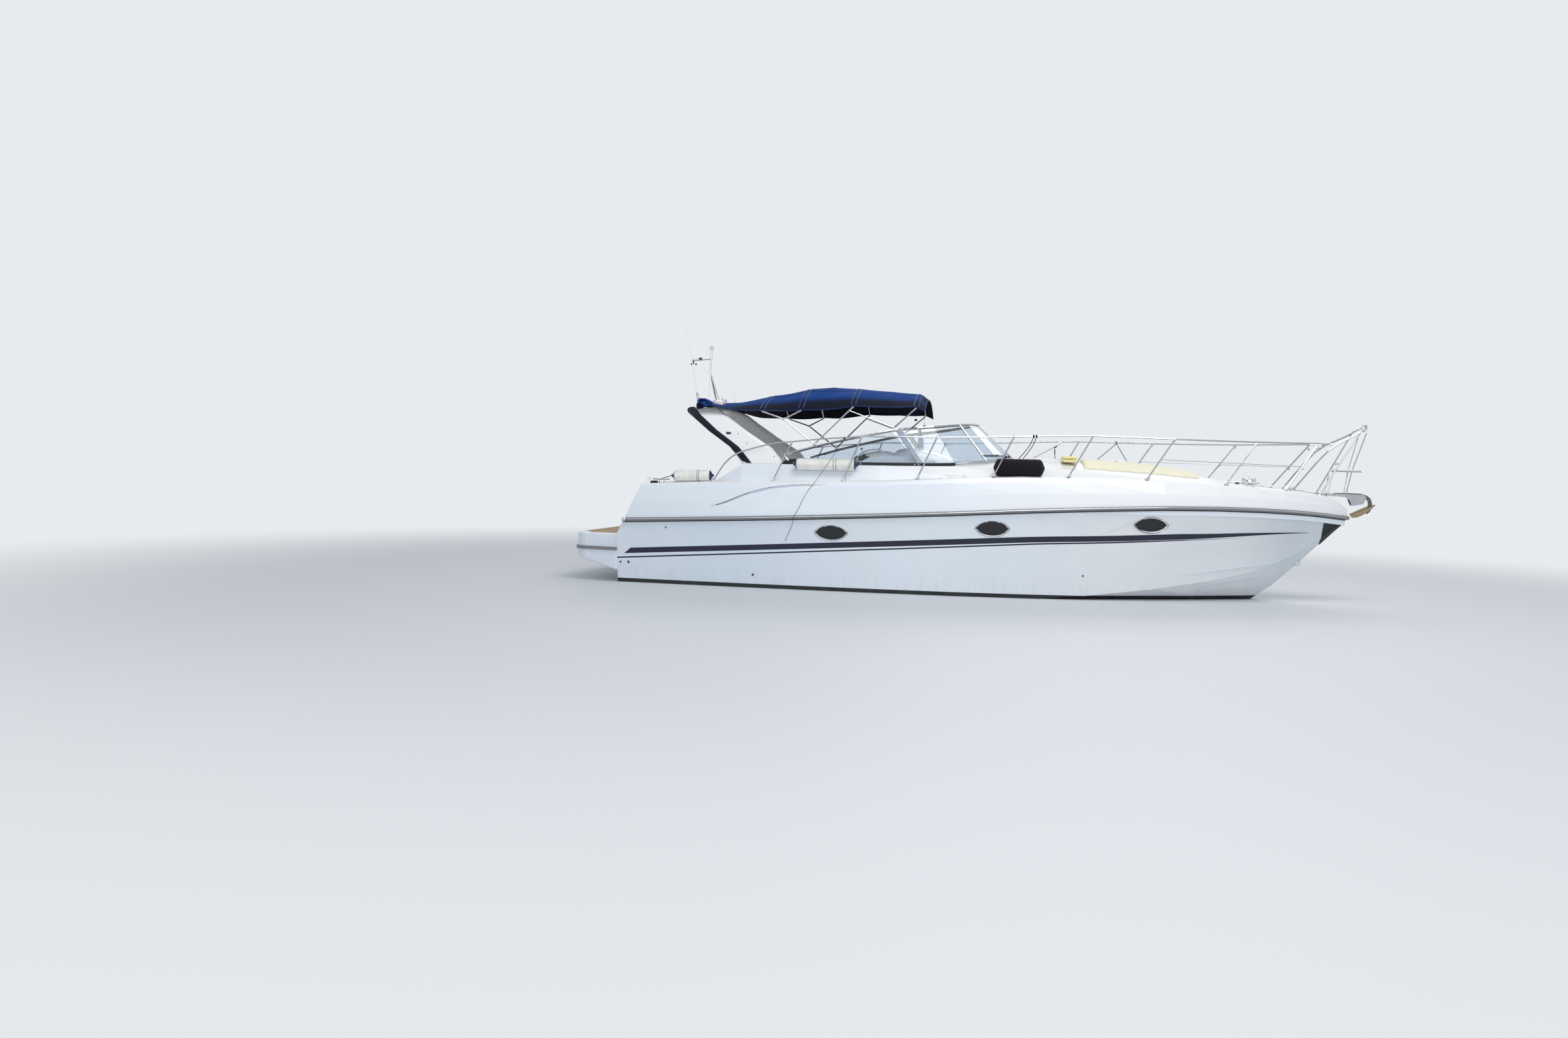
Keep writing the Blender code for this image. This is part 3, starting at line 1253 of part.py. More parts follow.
SOCKET_R = 0.016
SOCKET_HEIGHT = 0.03


def make_bimini_frame():
    _, top = screen_curves()
    hinge = rail_foot(-2.12, SOCKET_R)
    front_foot = rail_foot(-0.93, SOCKET_R)
    hub = Vector((-2.60, 1.275, 2.56))
    aft = [Vector(p) for p in bow_over(2, BOW_R)]
    main = [Vector(p) for p in bow_over(3, BOW_R)]
    fore = [Vector(p) for p in bow_over(5, BOW_R)]
    front = [Vector(p) for p in bow_over(7, BOW_R)]

    def both(point, inward=0.0):
        return Vector((point.x, -(point.y - inward), point.z))
    hinge_top = hinge + Vector((0, 0, SOCKET_HEIGHT * 0.7))
    front_top = front_foot + Vector((0, 0, SOCKET_HEIGHT * 0.7))
    inset = Vector((0.004, -0.003, 0.006))
    frame = tube("bimini_frame", [hinge_top, hub] + aft + [both(hub), both(hinge_top)], BOW_R, resolution=1)
    runs = (
        ("main_bow", hub + inset, main),
        ("fore_bow", hinge_top + inset, fore),
        ("front_bow", front_top, front),
    )
    pieces = [tube(name, [start] + points + [both(start)], BOW_R * 0.98, resolution=1)
              for name, start, points in runs]
    knee = (hinge_top + inset).lerp(fore[0], 0.9)
    for side in (-1, 1):
        for foot in (hinge, front_foot):
            pieces.append(cylinder("socket", (foot.x, side * foot.y, foot.z),
                                   (foot.x, side * foot.y, foot.z + SOCKET_HEIGHT), SOCKET_R, 10))
        pieces.append(cylinder("stay", (knee.x, side * knee.y, knee.z),
                               (front_top.x, side * front_top.y, front_top.z + 0.002), 0.008, 8))
    join_all(frame, pieces)
    combine(frame, tube("saddle", top, SCREEN_RAIL_R + 2 * GAP, cutters, 1), "DIFFERENCE")
    finish_object(frame, "steel")


# Helm
CONSOLE_Y = (-SEAT_HALF_Y, -0.10)
CONSOLE_PROFILE = (
    (-0.42, SOLE_Z + GAP), (-1.25, SOLE_Z + GAP), (-1.25, 1.50), (-1.58, 1.66), (-1.44, 1.94),
    (-1.28, 2.02), (-1.05, 2.06), (-0.62, 2.03), (-0.42, 1.96),
)
WHEEL_Y = -0.62
WHEEL_R = 0.19
WHEEL_STANDOFF = 0.13


def make_helm():
    console = prism("helm_console", CONSOLE_PROFILE, CONSOLE_Y[0], CONSOLE_Y[1], "Y")
    round_edges(console, 0.02, 2)
    finish_object(console, "gelcoat")
    low = Vector((CONSOLE_PROFILE[3][0], 0, CONSOLE_PROFILE[3][1]))
    high = Vector((CONSOLE_PROFILE[4][0], 0, CONSOLE_PROFILE[4][1]))
    face = (low + high) / 2
    up = (high - low).normalized()
    normal = Vector((-up.z, 0, up.x))
    seat = Vector((face.x, WHEEL_Y, face.z))
    centre = seat + normal * WHEEL_STANDOFF
    bm = bmesh.new()
    segments, minor = 28, 8
    rings = []
    side_axis = Vector((0, 1, 0))
    for i in range(segments):
        a = 2 * math.pi * i / segments
        radial = up * math.cos(a) + side_axis * math.sin(a)
        ring = []
        for j in range(minor):
            b = 2 * math.pi * j / minor
            p = centre + radial * (WHEEL_R + 0.014 * math.cos(b)) + normal * (0.014 * math.sin(b))
            ring.append(bm.verts.new(p))
        rings.append(ring)
    for i in range(segments):
        for j in range(minor):
            a = rings[i]
            b = rings[(i + 1) % segments]
            k = (j + 1) % minor
            bm.faces.new((a[j], a[k], b[k], b[j]))
    bmesh.ops.recalc_face_normals(bm, faces=bm.faces)
    mesh = bpy.data.meshes.new("steering_wheel")
    bm.to_mesh(mesh)
    bm.free()
    wheel = bpy.data.objects.new("steering_wheel", mesh)
    boat.objects.link(wheel)
    pieces = [cylinder("shaft", seat + normal * GAP, centre + normal * 0.015, 0.026, 16)]
    for i in range(3):
        a = math.radians(180 + 120 * i)
        radial = up * math.cos(a) + side_axis * math.sin(a)
        pieces.append(cylinder("spoke", centre, centre + radial * WHEEL_R, 0.011, 8))
    join_all(wheel, pieces)
    set_origin(wheel, centre)
    finish_object(wheel, "black")
    return seat, normal


def cushion_on(name, x_range, y_range, base_z, overhang=0.0):
    """Cushion on a seat base, set in from its aft and side edges."""
    low = (x_range[0] + CUSHION_SETBACK, y_range[0] + CUSHION_SETBACK, base_z + GAP)
    high = (x_range[1] + overhang, y_range[1] - CUSHION_SETBACK, base_z + CUSHION_THICK)
    return box(name, low, high, CUSHION_ROUND)


HELM_BACK_THICK = 0.14
HELM_BACK_TOP = 0.44


def make_seats():
    cushion = cushion_on("helm_seat_cushion", HELM_SEAT_X, HELM_SEAT_Y, HELM_SEAT_Z, 0.04)
    seat_x = HELM_SEAT_X[0]
    low = (seat_x - HELM_BACK_THICK, HELM_SEAT_Y[0] + CUSHION_SETBACK, HELM_SEAT_Z + 0.03)
    high = (seat_x + CUSHION_SETBACK * 2, HELM_SEAT_Y[1] - CUSHION_SETBACK, HELM_SEAT_Z + HELM_BACK_TOP)
    back = box("helm_back", low, high, CUSHION_ROUND)
    combine(cushion, back, "UNION")
    finish_object(cushion, "vinyl")
    bench = cushion_on("aft_bench_cushion", BENCH_X, BENCH_Y, BENCH_Z, 0.04)
    finish_object(bench, "vinyl")
    finish_object(cushion_on("port_lounge_cushion", LOUNGE_X, LOUNGE_Y, BENCH_Z), "vinyl")


def make_engine_lid():
    low_x, high_x = ENGINE_BOX_X
    lid = box("engine_hatch", (low_x, ENGINE_BOX_Y[0], ENGINE_BOX_TOP_Z + GAP),
              (high_x, ENGINE_BOX_Y[1], ENGINE_BOX_TOP_Z + LID_THICK))
    finish_object(lid, "gelcoat")
    pad = box("aft_sunpad", (low_x + 0.02, ENGINE_BOX_Y[0] + 0.02, ENGINE_BOX_TOP_Z + LID_THICK + GAP),
              (high_x - 0.10, ENGINE_BOX_Y[1] - 0.02, ENGINE_BOX_TOP_Z + LID_THICK + SUNPAD_THICK), 0.03)
    finish_object(pad, "vinyl")
    pivot = (high_x, 0, ENGINE_BOX_TOP_Z + GAP)
    set_origin(lid, pivot)
    set_origin(pad, pivot)


def make_gate():
    hinge_x = -4.80
    low_y, high_y = GATE_Y
    gate = box("transom_gate", (hinge_x, low_y + GATE_CLEAR, GATE_SILL_Z + GATE_CLEAR),
               (hinge_x + GATE_THICK, high_y - GATE_CLEAR, GATE_TOP_Z - 0.06), 0.008)
    barrels = [cylinder("barrel", (hinge_x, high_y - GATE_CLEAR, z), (hinge_x, high_y - GATE_CLEAR, z + 0.08),
                        GATE_CLEAR - GAP, 16) for z in (1.06, 1.30)]
    join_all(gate, barrels)
    set_origin(gate, (hinge_x, high_y - GATE_CLEAR, 0))
    finish_object(gate, "gelcoat")


def make_door():
    x = COCKPIT_FWD_X + RUNNING_GAP
    door = box("companionway_door", (x, COMPANION_Y[0] - 0.02, SOLE_Z + 0.04),
               (x + DOOR_THICK, COMPANION_Y[1] + 0.02, COMPANION_TOP_Z + 0.02), 0.003, 1)
    low_y, high_y = COMPANION_Y[0] - 0.015, COMPANION_Y[1] + 0.015
    runners = [box("runner", (COCKPIT_FWD_X, low_y, z), (x + DOOR_THICK / 2, high_y, z + 0.008))
               for z in (SOLE_Z + 0.048, COMPANION_TOP_Z + 0.005)]
    join_all(door, runners)
    finish_object(door, "glass")


LID_ANGLE = math.radians(30)


def make_lids():
    hinge = Vector((FORE_HATCH_X[0], 0, HATCH_COAMING_Z + HATCH_KNUCKLE_R + GAP))
    length = FORE_HATCH_X[1] - FORE_HATCH_X[0]
    lid = box("foredeck_hatch", (hinge.x, -FORE_HATCH_HALF_Y, hinge.z),
              (hinge.x + length, FORE_HATCH_HALF_Y, hinge.z + 0.03), 0.008)
    turn = Matrix.Translation(hinge) @ Matrix.Rotation(-LID_ANGLE, 4, "Y") @ Matrix.Translation(-hinge)
    lid.data.transform(turn)
    inner, outer = HATCH_KNUCKLE_Y
    knuckles = [cylinder("knuckle", (hinge.x, side * inner, hinge.z), (hinge.x, side * outer, hinge.z),
                         HATCH_KNUCKLE_R, 16) for side in (-1, 1)]
    join_all(lid, knuckles)
    set_origin(lid, hinge)
    finish_object(lid, "gelcoat")
    z = locker_seat_z()
    locker = box("anchor_locker_lid", (LOCKER_X[0] - 0.02, -LOCKER_HALF_Y - 0.02, z),
                 (LOCKER_X[1] + 0.02, LOCKER_HALF_Y + 0.02, z + 0.018), 0.004)
    set_origin(locker, (LOCKER_X[0] - 0.02, 0, z))
    finish_object(locker, "gelcoat")


def locker_seat_z():
    return max(deck_top_z(x, y) for x in (LOCKER_X[0] - 0.02, LOCKER_X[1] + 0.02) for y in (0, 0.1, 0.19)) + GAP


# Foredeck sun pad. Columns: x, share of the house's half-breadth, lift over the deck
PAD_ROWS = (
    (1.90, 0.82, 0.004),
    (2.00, 0.86, GAP),
    (2.50, 0.86, 0.004),
    (3.00, 0.86, GAP),
    (3.40, 0.84, 0.004),
    (3.62, 0.78, 0.004),
)
PAD_THICK = 0.06
PAD_COLUMNS = (1.0, 0.78, 0.55, 0.28)


def make_foredeck_pad():
    rings = []
    for x, share, lift in PAD_ROWS:
        half = column(DECK_STATIONS, 4, x)
        ys = [half * min(c, share) for c in PAD_COLUMNS]
        ys = ys + [0.0] + [-y for y in reversed(ys)]
        lower = [(x, y, deck_top_z(x, y) + lift) for y in ys]
        upper = [(x, y * 0.97, deck_top_z(x, y) + PAD_THICK) for y in reversed(ys)]
        rings.append(lower + upper)
    pad = loft("foredeck_sunpad", rings, back_from=len(PAD_COLUMNS) * 2 + 1)
    finish_object(pad, "vinyl")


# Drive bracket on the transom and the gimbal block turning in it
MOUNT_THICK = 0.04
MOUNT_HALF_Y = 0.19
MOUNT_Z = (-0.34, 0.12)
MOUNT_LUG_HALF = (0.035, 0.05)
GIMBAL_Z = (-0.31, 0.07)
GIMBAL_HALF = (0.03, 0.04)
GIMBAL_PIN_R = 0.018
YOKE_HALF_Y = 0.16
YOKE_HALF_Z = 0.035
YOKE_ARM = 0.03


def make_drives():
    plate_aft = TRANSOM_X - GAP - MOUNT_THICK
    low, high = GIMBAL_Z
    for side, word in ((-1, "starboard"), (1, "port")):
        y = side * DRIVE_Y
        plate = box("drive_mount_" + word, (plate_aft, y - MOUNT_HALF_Y, MOUNT_Z[0]),
                    (TRANSOM_X - GAP, y + MOUNT_HALF_Y, MOUNT_Z[1]), 0.01, 1)
        lug_x, lug_y = MOUNT_LUG_HALF
        lugs = [box("lug", (STEER_X - lug_x, y - lug_y, z), (plate_aft + 0.005, y + lug_y, z + 0.03))
                for z in (MOUNT_Z[0], high)]
        join_all(plate, lugs)
        finish_object(plate, "drive_grey")
        half_x, half_y = GIMBAL_HALF
        post = box("drive_gimbal_" + word, (STEER_X - half_x, y - half_y, low + RUNNING_GAP),
                   (STEER_X + half_x, y + half_y, high - RUNNING_GAP), 0.006, 1)
        pieces = [cylinder("pin", (STEER_X, y, low + GAP), (STEER_X, y, high - GAP), GIMBAL_PIN_R, 16)]
        yoke_x = half_x - 0.002
        pieces.append(box("yoke", (STEER_X - yoke_x, y - YOKE_HALF_Y, TILT_Z - YOKE_HALF_Z),
                          (STEER_X + yoke_x, y + YOKE_HALF_Y, TILT_Z + YOKE_HALF_Z)))
        for arm in (-1, 1):
            near_y, far_y = sorted((y + arm * (YOKE_HALF_Y - YOKE_ARM), y + arm * YOKE_HALF_Y))
            pieces.append(box("arm", (TILT_X - 0.035, near_y, TILT_Z - YOKE_HALF_Z + 0.001),
                              (STEER_X + 0.02, far_y, TILT_Z + YOKE_HALF_Z - 0.001)))
        join_all(post, pieces)
        set_origin(post, (STEER_X, y, TILT_Z))
        finish_object(post, "drive_grey")
        make_leg(word, y)


PROP_Z = -0.70
PROP_R = 0.19
PROP_X = (TILT_X - 0.53, TILT_X - 0.43)

# Drive leg. Side outlines as (x, z) pairs from the tilt pin, and its cavitation plate as (x, y) pairs
LEG_HALF_Y = 0.085
LEG_HEAD = ((0.03, -0.10), (0.03, 0.03), (-0.03, 0.11), (-0.28, 0.09), (-0.33, -0.02), (-0.30, -0.16),
            (-0.04, -0.18))
LEG_PLATE = ((-0.02, -0.05), (-0.10, -0.13), (-0.52, -0.13), (-0.55, -0.08), (-0.55, 0.08), (-0.52, 0.13),
             (-0.10, 0.13), (-0.02, 0.05))
LEG_PLATE_Z = (-0.29, -0.275)
# Strut section as shares of chord and width, and its two rows: z, centre x, chord, width
STRUT_SECTION = ((0.5, 0), (0.25, 0.5), (-0.3, 0.4), (-0.5, 0), (-0.3, -0.4), (0.25, -0.5))
STRUT_ROWS = (
    (TILT_Z - 0.12, TILT_X - 0.17, 0.27, 0.14),
    (PROP_Z + 0.04, TILT_X - 0.21, 0.24, 0.09),
)
SKEG = ((-0.08, 0.0), (-0.32, 0.0), (-0.30, -0.20), (-0.24, -0.24), (-0.18, -0.18))
SKEG_HALF_Y = 0.012
# Torpedo rows: x, radius
TORPEDO_ROWS = (
    (PROP_X[1] + RUNNING_GAP, 0.050),
    (TILT_X - 0.28, 0.058),
    (TILT_X - 0.12, 0.055),
    (TILT_X - 0.04, 0.035),
    (TILT_X - 0.01, 0.012),
)
TORPEDO_SIDES = 14
TILT_PIN = (0.13, 0.02)


def make_leg(word, y):
    upper = prism("drive_leg_" + word, [(TILT_X + x, TILT_Z + z) for x, z in LEG_HEAD],
                  y - LEG_HALF_Y, y + LEG_HALF_Y, "Y")
    strut = loft("strut", [[(x + a * chord, y + b * wide, z) for a, b in STRUT_SECTION]
                           for z, x, chord, wide in STRUT_ROWS])
    plate = prism("plate", [(TILT_X + x, y + out) for x, out in LEG_PLATE], TILT_Z + LEG_PLATE_Z[0],
                  TILT_Z + LEG_PLATE_Z[1], "Z")
    turns = [2 * math.pi * k / TORPEDO_SIDES for k in range(TORPEDO_SIDES)]
    torpedo = loft("torpedo", [[(x, y + r * math.cos(t), PROP_Z + r * math.sin(t)) for t in turns]
                               for x, r in TORPEDO_ROWS])
    skeg = prism("skeg", [(TILT_X + x, PROP_Z + z) for x, z in SKEG], y - SKEG_HALF_Y, y + SKEG_HALF_Y, "Y")
    reach, pin_r = TILT_PIN
    pins = cylinder("pins", (TILT_X, y - reach + GAP, TILT_Z), (TILT_X, y + reach - GAP, TILT_Z), pin_r, 16)
    join_all(upper, [strut, torpedo, skeg, plate, pins])
    set_origin(upper, (TILT_X, y, TILT_Z))
    finish_object(upper, "drive_grey")
    hub = cylinder("propeller_" + word, (PROP_X[1], y, PROP_Z), (PROP_X[0], y, PROP_Z), 0.048, 14, 0.040)
    shaft = cylinder("shaft", (PROP_X[1] + RUNNING_GAP - GAP, y, PROP_Z),
                     (PROP_X[1] - 0.02, y, PROP_Z), 0.022, 14)
    nose = cylinder("nose", (PROP_X[0] + 0.01, y, PROP_Z), (PROP_X[0] - 0.03, y, PROP_Z), 0.034, 14, 0.010)
    join_all(hub, [shaft, nose])
    blades = []
    for k in range(4):
        angle = 2 * math.pi * k / 4
        rings = []
        for r, chord, pitch in ((0.03, 0.07, 55), (0.09, 0.13, 40), (0.15, 0.14, 30), (PROP_R, 0.05, 25)):
            p = math.radians(pitch)
            ring = []
            for u, v in ((-0.5, 0.0), (0.0, 0.5), (0.5, 0.0), (0.0, -0.5)):
                ax = u * chord * math.sin(p) + v * 0.010 * math.cos(p)
                tan = u * chord * math.cos(p) - v * 0.010 * math.sin(p)
                yy = r * math.cos(angle) - tan * math.sin(angle)
                zz = r * math.sin(angle) + tan * math.cos(angle)
                ring.append(((PROP_X[0] + PROP_X[1]) / 2 + ax, y + yy, PROP_Z + zz))
            rings.append(ring)
        blades.append(loft("blade", rings, back_from=2))
    join_all(hub, blades)
    set_origin(hub, (PROP_X[1], y, PROP_Z))
    finish_object(hub, "bronze")


# Fender profile. Columns: share of the length, share of the radius
FENDER_PROFILE = ((0.0, 0.25), (0.03, 0.45), (0.10, 0.85), (0.20, 1.0),
                  (0.80, 1.0), (0.90, 0.85), (0.97, 0.45),
                  (1.0, 0.25))
FENDER_SIDES = 14
# Fenders lying on board. Columns: name, start point, end point, radius, finish
FENDERS = (
    ("fender_covered", (0.57, -1.475, 1.900), (1.30, -1.425, 1.925), 0.130, "fender_black"),
    ("fender_aft", (-4.30, -1.43, 1.665), (-3.64, -1.43, 1.705), 0.090, "fender_white"),
    ("fender_mid", (-2.40, -1.49, 1.72), (-1.42, -1.49, 1.74), 0.090, "fender_white"),
)


def make_fenders():
    for name, start, end, radius, finish in FENDERS:
        start, end = Vector(start), Vector(end)
        axis = (end - start).normalized()
        side = axis.cross(Vector((0, 0, 1))).normalized()
        up = side.cross(axis)
        rings = []
        for along, wide in FENDER_PROFILE:
            centre = start.lerp(end, along)
            turns = [2 * math.pi * k / FENDER_SIDES for k in range(FENDER_SIDES)]
            rings.append([centre + (side * math.cos(t) + up * math.sin(t)) * (radius * wide) for t in turns])
        lift = max(deck_top_z(p.x, p.y) - p.z for ring in rings for p in ring) - FENDER_SINK
        rings = [[(p.x, p.y, p.z + lift) for p in ring] for ring in rings]
        finish_object(seat_on_deck(loft(name, rings)), finish, 50)


make_hull()
make_portholes()
make_deck()
make_tub()
make_interior()
make_engines()
make_platform()
make_rub_rail()
make_stem_plate()
make_windscreen()
make_arch()
make_arch_gear()
make_handrails()
make_pulpit()
make_bow_gear()
make_cleats()
make_canopy()
make_bimini_frame()
make_helm()
make_seats()
make_engine_lid()
make_gate()
make_door()
make_lids()
make_foredeck_pad()
make_drives()
make_fenders()
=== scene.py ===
"""Looks of the sport cruiser: finishes, canvas, cushions, ropes, fittings, floor, light and camera.

Everything is in metres in the boat's own frame: +X to the bow, +Y to port, +Z up, waterline at z 0.
"""
import bmesh
import bpy
import math
import numpy as np
from itertools import product
from mathutils import Matrix, Vector
from mathutils.bvhtree import BVHTree


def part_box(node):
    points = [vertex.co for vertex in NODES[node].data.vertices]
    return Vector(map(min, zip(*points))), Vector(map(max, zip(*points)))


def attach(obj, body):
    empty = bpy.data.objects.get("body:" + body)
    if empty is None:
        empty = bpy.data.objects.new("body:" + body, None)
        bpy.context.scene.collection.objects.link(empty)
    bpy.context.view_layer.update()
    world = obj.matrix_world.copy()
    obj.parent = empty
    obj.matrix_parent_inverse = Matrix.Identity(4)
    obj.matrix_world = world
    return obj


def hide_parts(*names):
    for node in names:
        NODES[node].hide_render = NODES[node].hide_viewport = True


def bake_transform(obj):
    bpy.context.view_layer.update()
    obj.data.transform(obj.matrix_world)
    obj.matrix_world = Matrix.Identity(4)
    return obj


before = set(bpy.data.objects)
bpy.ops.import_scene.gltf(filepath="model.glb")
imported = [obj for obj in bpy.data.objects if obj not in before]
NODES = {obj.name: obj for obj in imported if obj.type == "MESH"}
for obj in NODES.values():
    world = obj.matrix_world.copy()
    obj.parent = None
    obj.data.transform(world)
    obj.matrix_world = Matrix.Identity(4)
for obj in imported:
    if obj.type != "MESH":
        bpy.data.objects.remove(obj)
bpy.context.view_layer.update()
SIDES = ((-1, "starboard"), (1, "port"))
UP = (0, 0, 1)
DOWN = Vector((0, 0, -1))


def rise(z):
    return Vector((0, 0, z))


def angles(count):
    """Angles evenly round a full turn."""
    return [2 * math.pi * i / count for i in range(count)]


def squared(value, power):
    """Power that keeps the sign, to square off the sine or cosine of an outline."""
    return math.copysign(abs(value) ** power, value)


# Materials

class Finish:
    """A node material, with short calls for its nodes."""

    def __init__(self, name, colour, roughness, metallic=0.0, **sockets):
        self.mat = bpy.data.materials.new(name)
        self.mat.use_nodes = True
        self.tree = self.mat.node_tree
        self.shader = self.tree.nodes["Principled BSDF"]
        self.shader.inputs["Base Color"].default_value = (*colour, 1.0)
        self.shader.inputs["Roughness"].default_value = roughness
        self.shader.inputs["Metallic"].default_value = metallic
        for key, value in sockets.items():
            self.shader.inputs[key.replace("_", " ")].default_value = value
        self.coords = self.node("ShaderNodeTexCoord").outputs["Object"]

    def node(self, kind, inputs=(), **props):
        made = self.tree.nodes.new(kind)
        for key, value in props.items():
            setattr(made, key, value)
        for key, value in dict(inputs).items():
            if isinstance(value, bpy.types.NodeSocket):
                self.tree.links.new(value, made.inputs[key])
            else:
                made.inputs[key].default_value = value
        return made

    def link(self, value, socket):
        self.tree.links.new(value, self.shader.inputs[socket])

    def math(self, operation, a, b=0.0, c=0.0):
        return self.node("ShaderNodeMath", {0: a, 1: b, 2: c}, operation=operation).outputs[0]

    def axis(self, name):
        return self.node("ShaderNodeSeparateXYZ", {0: self.coords}).outputs[name]

    def facing(self):
        """How far the surface looks up, from -1 to 1."""
        normal = self.node("ShaderNodeNewGeometry").outputs["Normal"]
        return self.node("ShaderNodeSeparateXYZ", {0: normal}).outputs["Z"]

    def noise(self, scale, detail=3.0, stretch=(1, 1, 1)):
        spread = self.node("ShaderNodeMapping", {"Vector": self.coords, "Scale": stretch}).outputs[0]
        return self.node("ShaderNodeTexNoise",
                         {"Vector": spread, "Scale": scale, "Detail": detail}).outputs["Fac"]

    def mix(self, factor, a, b):
        made = self.node("ShaderNodeMix", data_type="RGBA")
        for index, value in ((0, factor), (6, a), (7, b)):
            if isinstance(value, bpy.types.NodeSocket):
                self.tree.links.new(value, made.inputs[index])
            else:
                made.inputs[index].default_value = value if index == 0 else (*value, 1.0)
        return made.outputs[2]

    def ramp(self, value, low, high, to_low=0.0, to_high=1.0, smooth=True):
        made = self.node("ShaderNodeMapRange", {"Value": value, "From Min": low, "From Max": high,
                                                "To Min": to_low, "To Max": to_high})
        made.interpolation_type = "SMOOTHSTEP" if smooth else "LINEAR"
        return made.outputs[0]

    def bump(self, height, strength, distance):
        bump = self.node("ShaderNodeBump", {"Height": height, "Strength": strength, "Distance": distance})
        self.link(bump.outputs[0], "Normal")
        return self

    def vary_roughness(self, noise, low, high):
        self.link(self.ramp(noise, 0.3, 0.7, low, high), "Roughness")


def shade(colour, factor):
    return tuple(c * factor for c in colour)


def gelcoat(name, colour, dirt=0.04):
    """Polished moulding: faint large-scale tone, faint print-through, a clear coat."""
    made = Finish(name, colour, 0.30, Coat_Weight=0.20, Coat_Roughness=0.16)
    tone = made.noise(0.9, 4.0)
    made.link(made.mix(made.ramp(tone, 0.35, 0.65, 0.0, 1.0), colour, shade(colour, 1 - dirt)), "Base Color")
    made.vary_roughness(made.noise(6.0), 0.20, 0.30)
    made.bump(made.noise(3.0, 2.0), 0.12, 0.004)
    return made


STRIPE_COLOUR = (0.010, 0.011, 0.035)
BOOT_COLOUR = (0.008, 0.010, 0.013)


def hull_finish():
    """Pale gelcoat with a navy stripe, a pinstripe under it and dark bottom paint. Its bluish white is
    painted shade; painted light brightens it forward and painted shade darkens the bow flare.
    """
    # bluish white: painted shade of the hull side
    white = (0.75, 0.815, 0.87)
    made = gelcoat("hull_gelcoat", white, 0.05)
    x, z = made.axis("X"), made.axis("Z")
    tone = made.noise(0.9, 4.0)
    streak = made.noise(2.0, 5.0, (6.0, 1.0, 0.35))
    # painted shade and light along the hull: bluish shade aft, lighter forward, darker again over the bow
    # flare
    lit = made.mix(made.ramp(x, -4.6, 0.4), (0.70, 0.78, 0.86), (0.82, 0.88, 0.93))
    lit = made.mix(made.ramp(x, 0.2, 2.6), lit, (0.90, 0.905, 0.91))
    lit = made.mix(made.ramp(x, 3.7, 5.2), lit, (0.70, 0.75, 0.79))
    body = made.mix(made.ramp(tone, 0.35, 0.65, 0.0, 0.5), lit, (0.78, 0.83, 0.87))
    grime = made.math("MULTIPLY", made.ramp(z, 0.42, 0.05), made.ramp(streak, 0.42, 0.75, 0.0, 0.13))
    body = made.mix(grime, body, (0.42, 0.41, 0.33))
    bend = made.math("MAXIMUM", made.math("SUBTRACT", x, 2.2), 0.0)
    centre = made.math("MULTIPLY_ADD", x, 0.0636, 0.8045)
    centre = made.math("SUBTRACT", centre, made.math("MULTIPLY", made.math("MULTIPLY", bend, bend), 0.0094))
    dip = made.math("MULTIPLY", made.ramp(x, 0.9, 2.7, 0.0, 0.033), made.ramp(x, 3.4, 5.2, 1.0, 0.0))
    off = made.math("ADD", made.math("SUBTRACT", z, centre), dip)
    half = made.ramp(x, 3.3, 5.25, 0.042, 0.003, False)
    start = made.math("SUBTRACT", x, made.math("MULTIPLY_ADD", off, 1.3, -4.93))
    inside = made.math("LESS_THAN", made.math("ABSOLUTE", off), half)
    stripe = made.math("MULTIPLY", inside, made.math("GREATER_THAN", start, 0.0))
    stripe = made.math("MULTIPLY", stripe, made.math("LESS_THAN", x, 5.25))
    gap = made.math("MULTIPLY_ADD", x, -0.006, 0.073)
    thin = made.ramp(x, 2.6, 4.3, 0.0110, 0.0, False)
    pin = made.math("LESS_THAN", made.math("ABSOLUTE", made.math("ADD", off, gap)), thin)
    pin = made.math("MULTIPLY", pin, made.math("GREATER_THAN", start, -0.10))
    body = made.mix(made.math("MAXIMUM", stripe, pin), body, STRIPE_COLOUR)
    boot = made.math("LESS_THAN", z, 0.06)
    growth = made.ramp(made.noise(5.0, 6.0), 0.4, 0.7)
    under = made.mix(growth, BOOT_COLOUR, (0.020, 0.026, 0.024))
    made.link(made.mix(boot, body, under), "Base Color")
    rough = made.math("MAXIMUM", made.ramp(made.noise(6.0), 0.3, 0.7, 0.16, 0.24),
                      made.math("MULTIPLY", boot, 0.7))
    made.link(rough, "Roughness")
    return made.mat


def deck_finish(name="deck_gelcoat", tread=True):
    """White gelcoat; level walking surfaces have a fine moulded tread, and side-facing surfaces get a painted
    bluish shade that fades towards the bow.
    """
    white = (0.86, 0.87, 0.875)
    made = gelcoat(name, white, 0.03)
    if tread:
        up = made.facing()
        level = made.ramp(up, 0.955, 0.975)
        studs = made.node("ShaderNodeTexVoronoi", {"Vector": made.coords, "Scale": 260.0}).outputs["Distance"]
        height = made.math("MULTIPLY", level, made.ramp(studs, 0.1, 0.6))
        made.bump(height, 0.30, 0.0012)
        # painted shade: side-facing surfaces are bluish grey, fading towards the bow
        side = made.mix(made.ramp(made.axis("X"), -1.5, 2.6), (0.74, 0.80, 0.86), (0.85, 0.865, 0.88))
        tone = made.mix(made.ramp(up, 0.35, 0.75), side, white)
        tone = made.mix(made.math("MULTIPLY", level, 0.5), tone, (0.82, 0.825, 0.82))
        made.link(tone, "Base Color")
        made.link(made.math("MULTIPLY_ADD", level, 0.22, 0.30), "Roughness")
    return made.mat


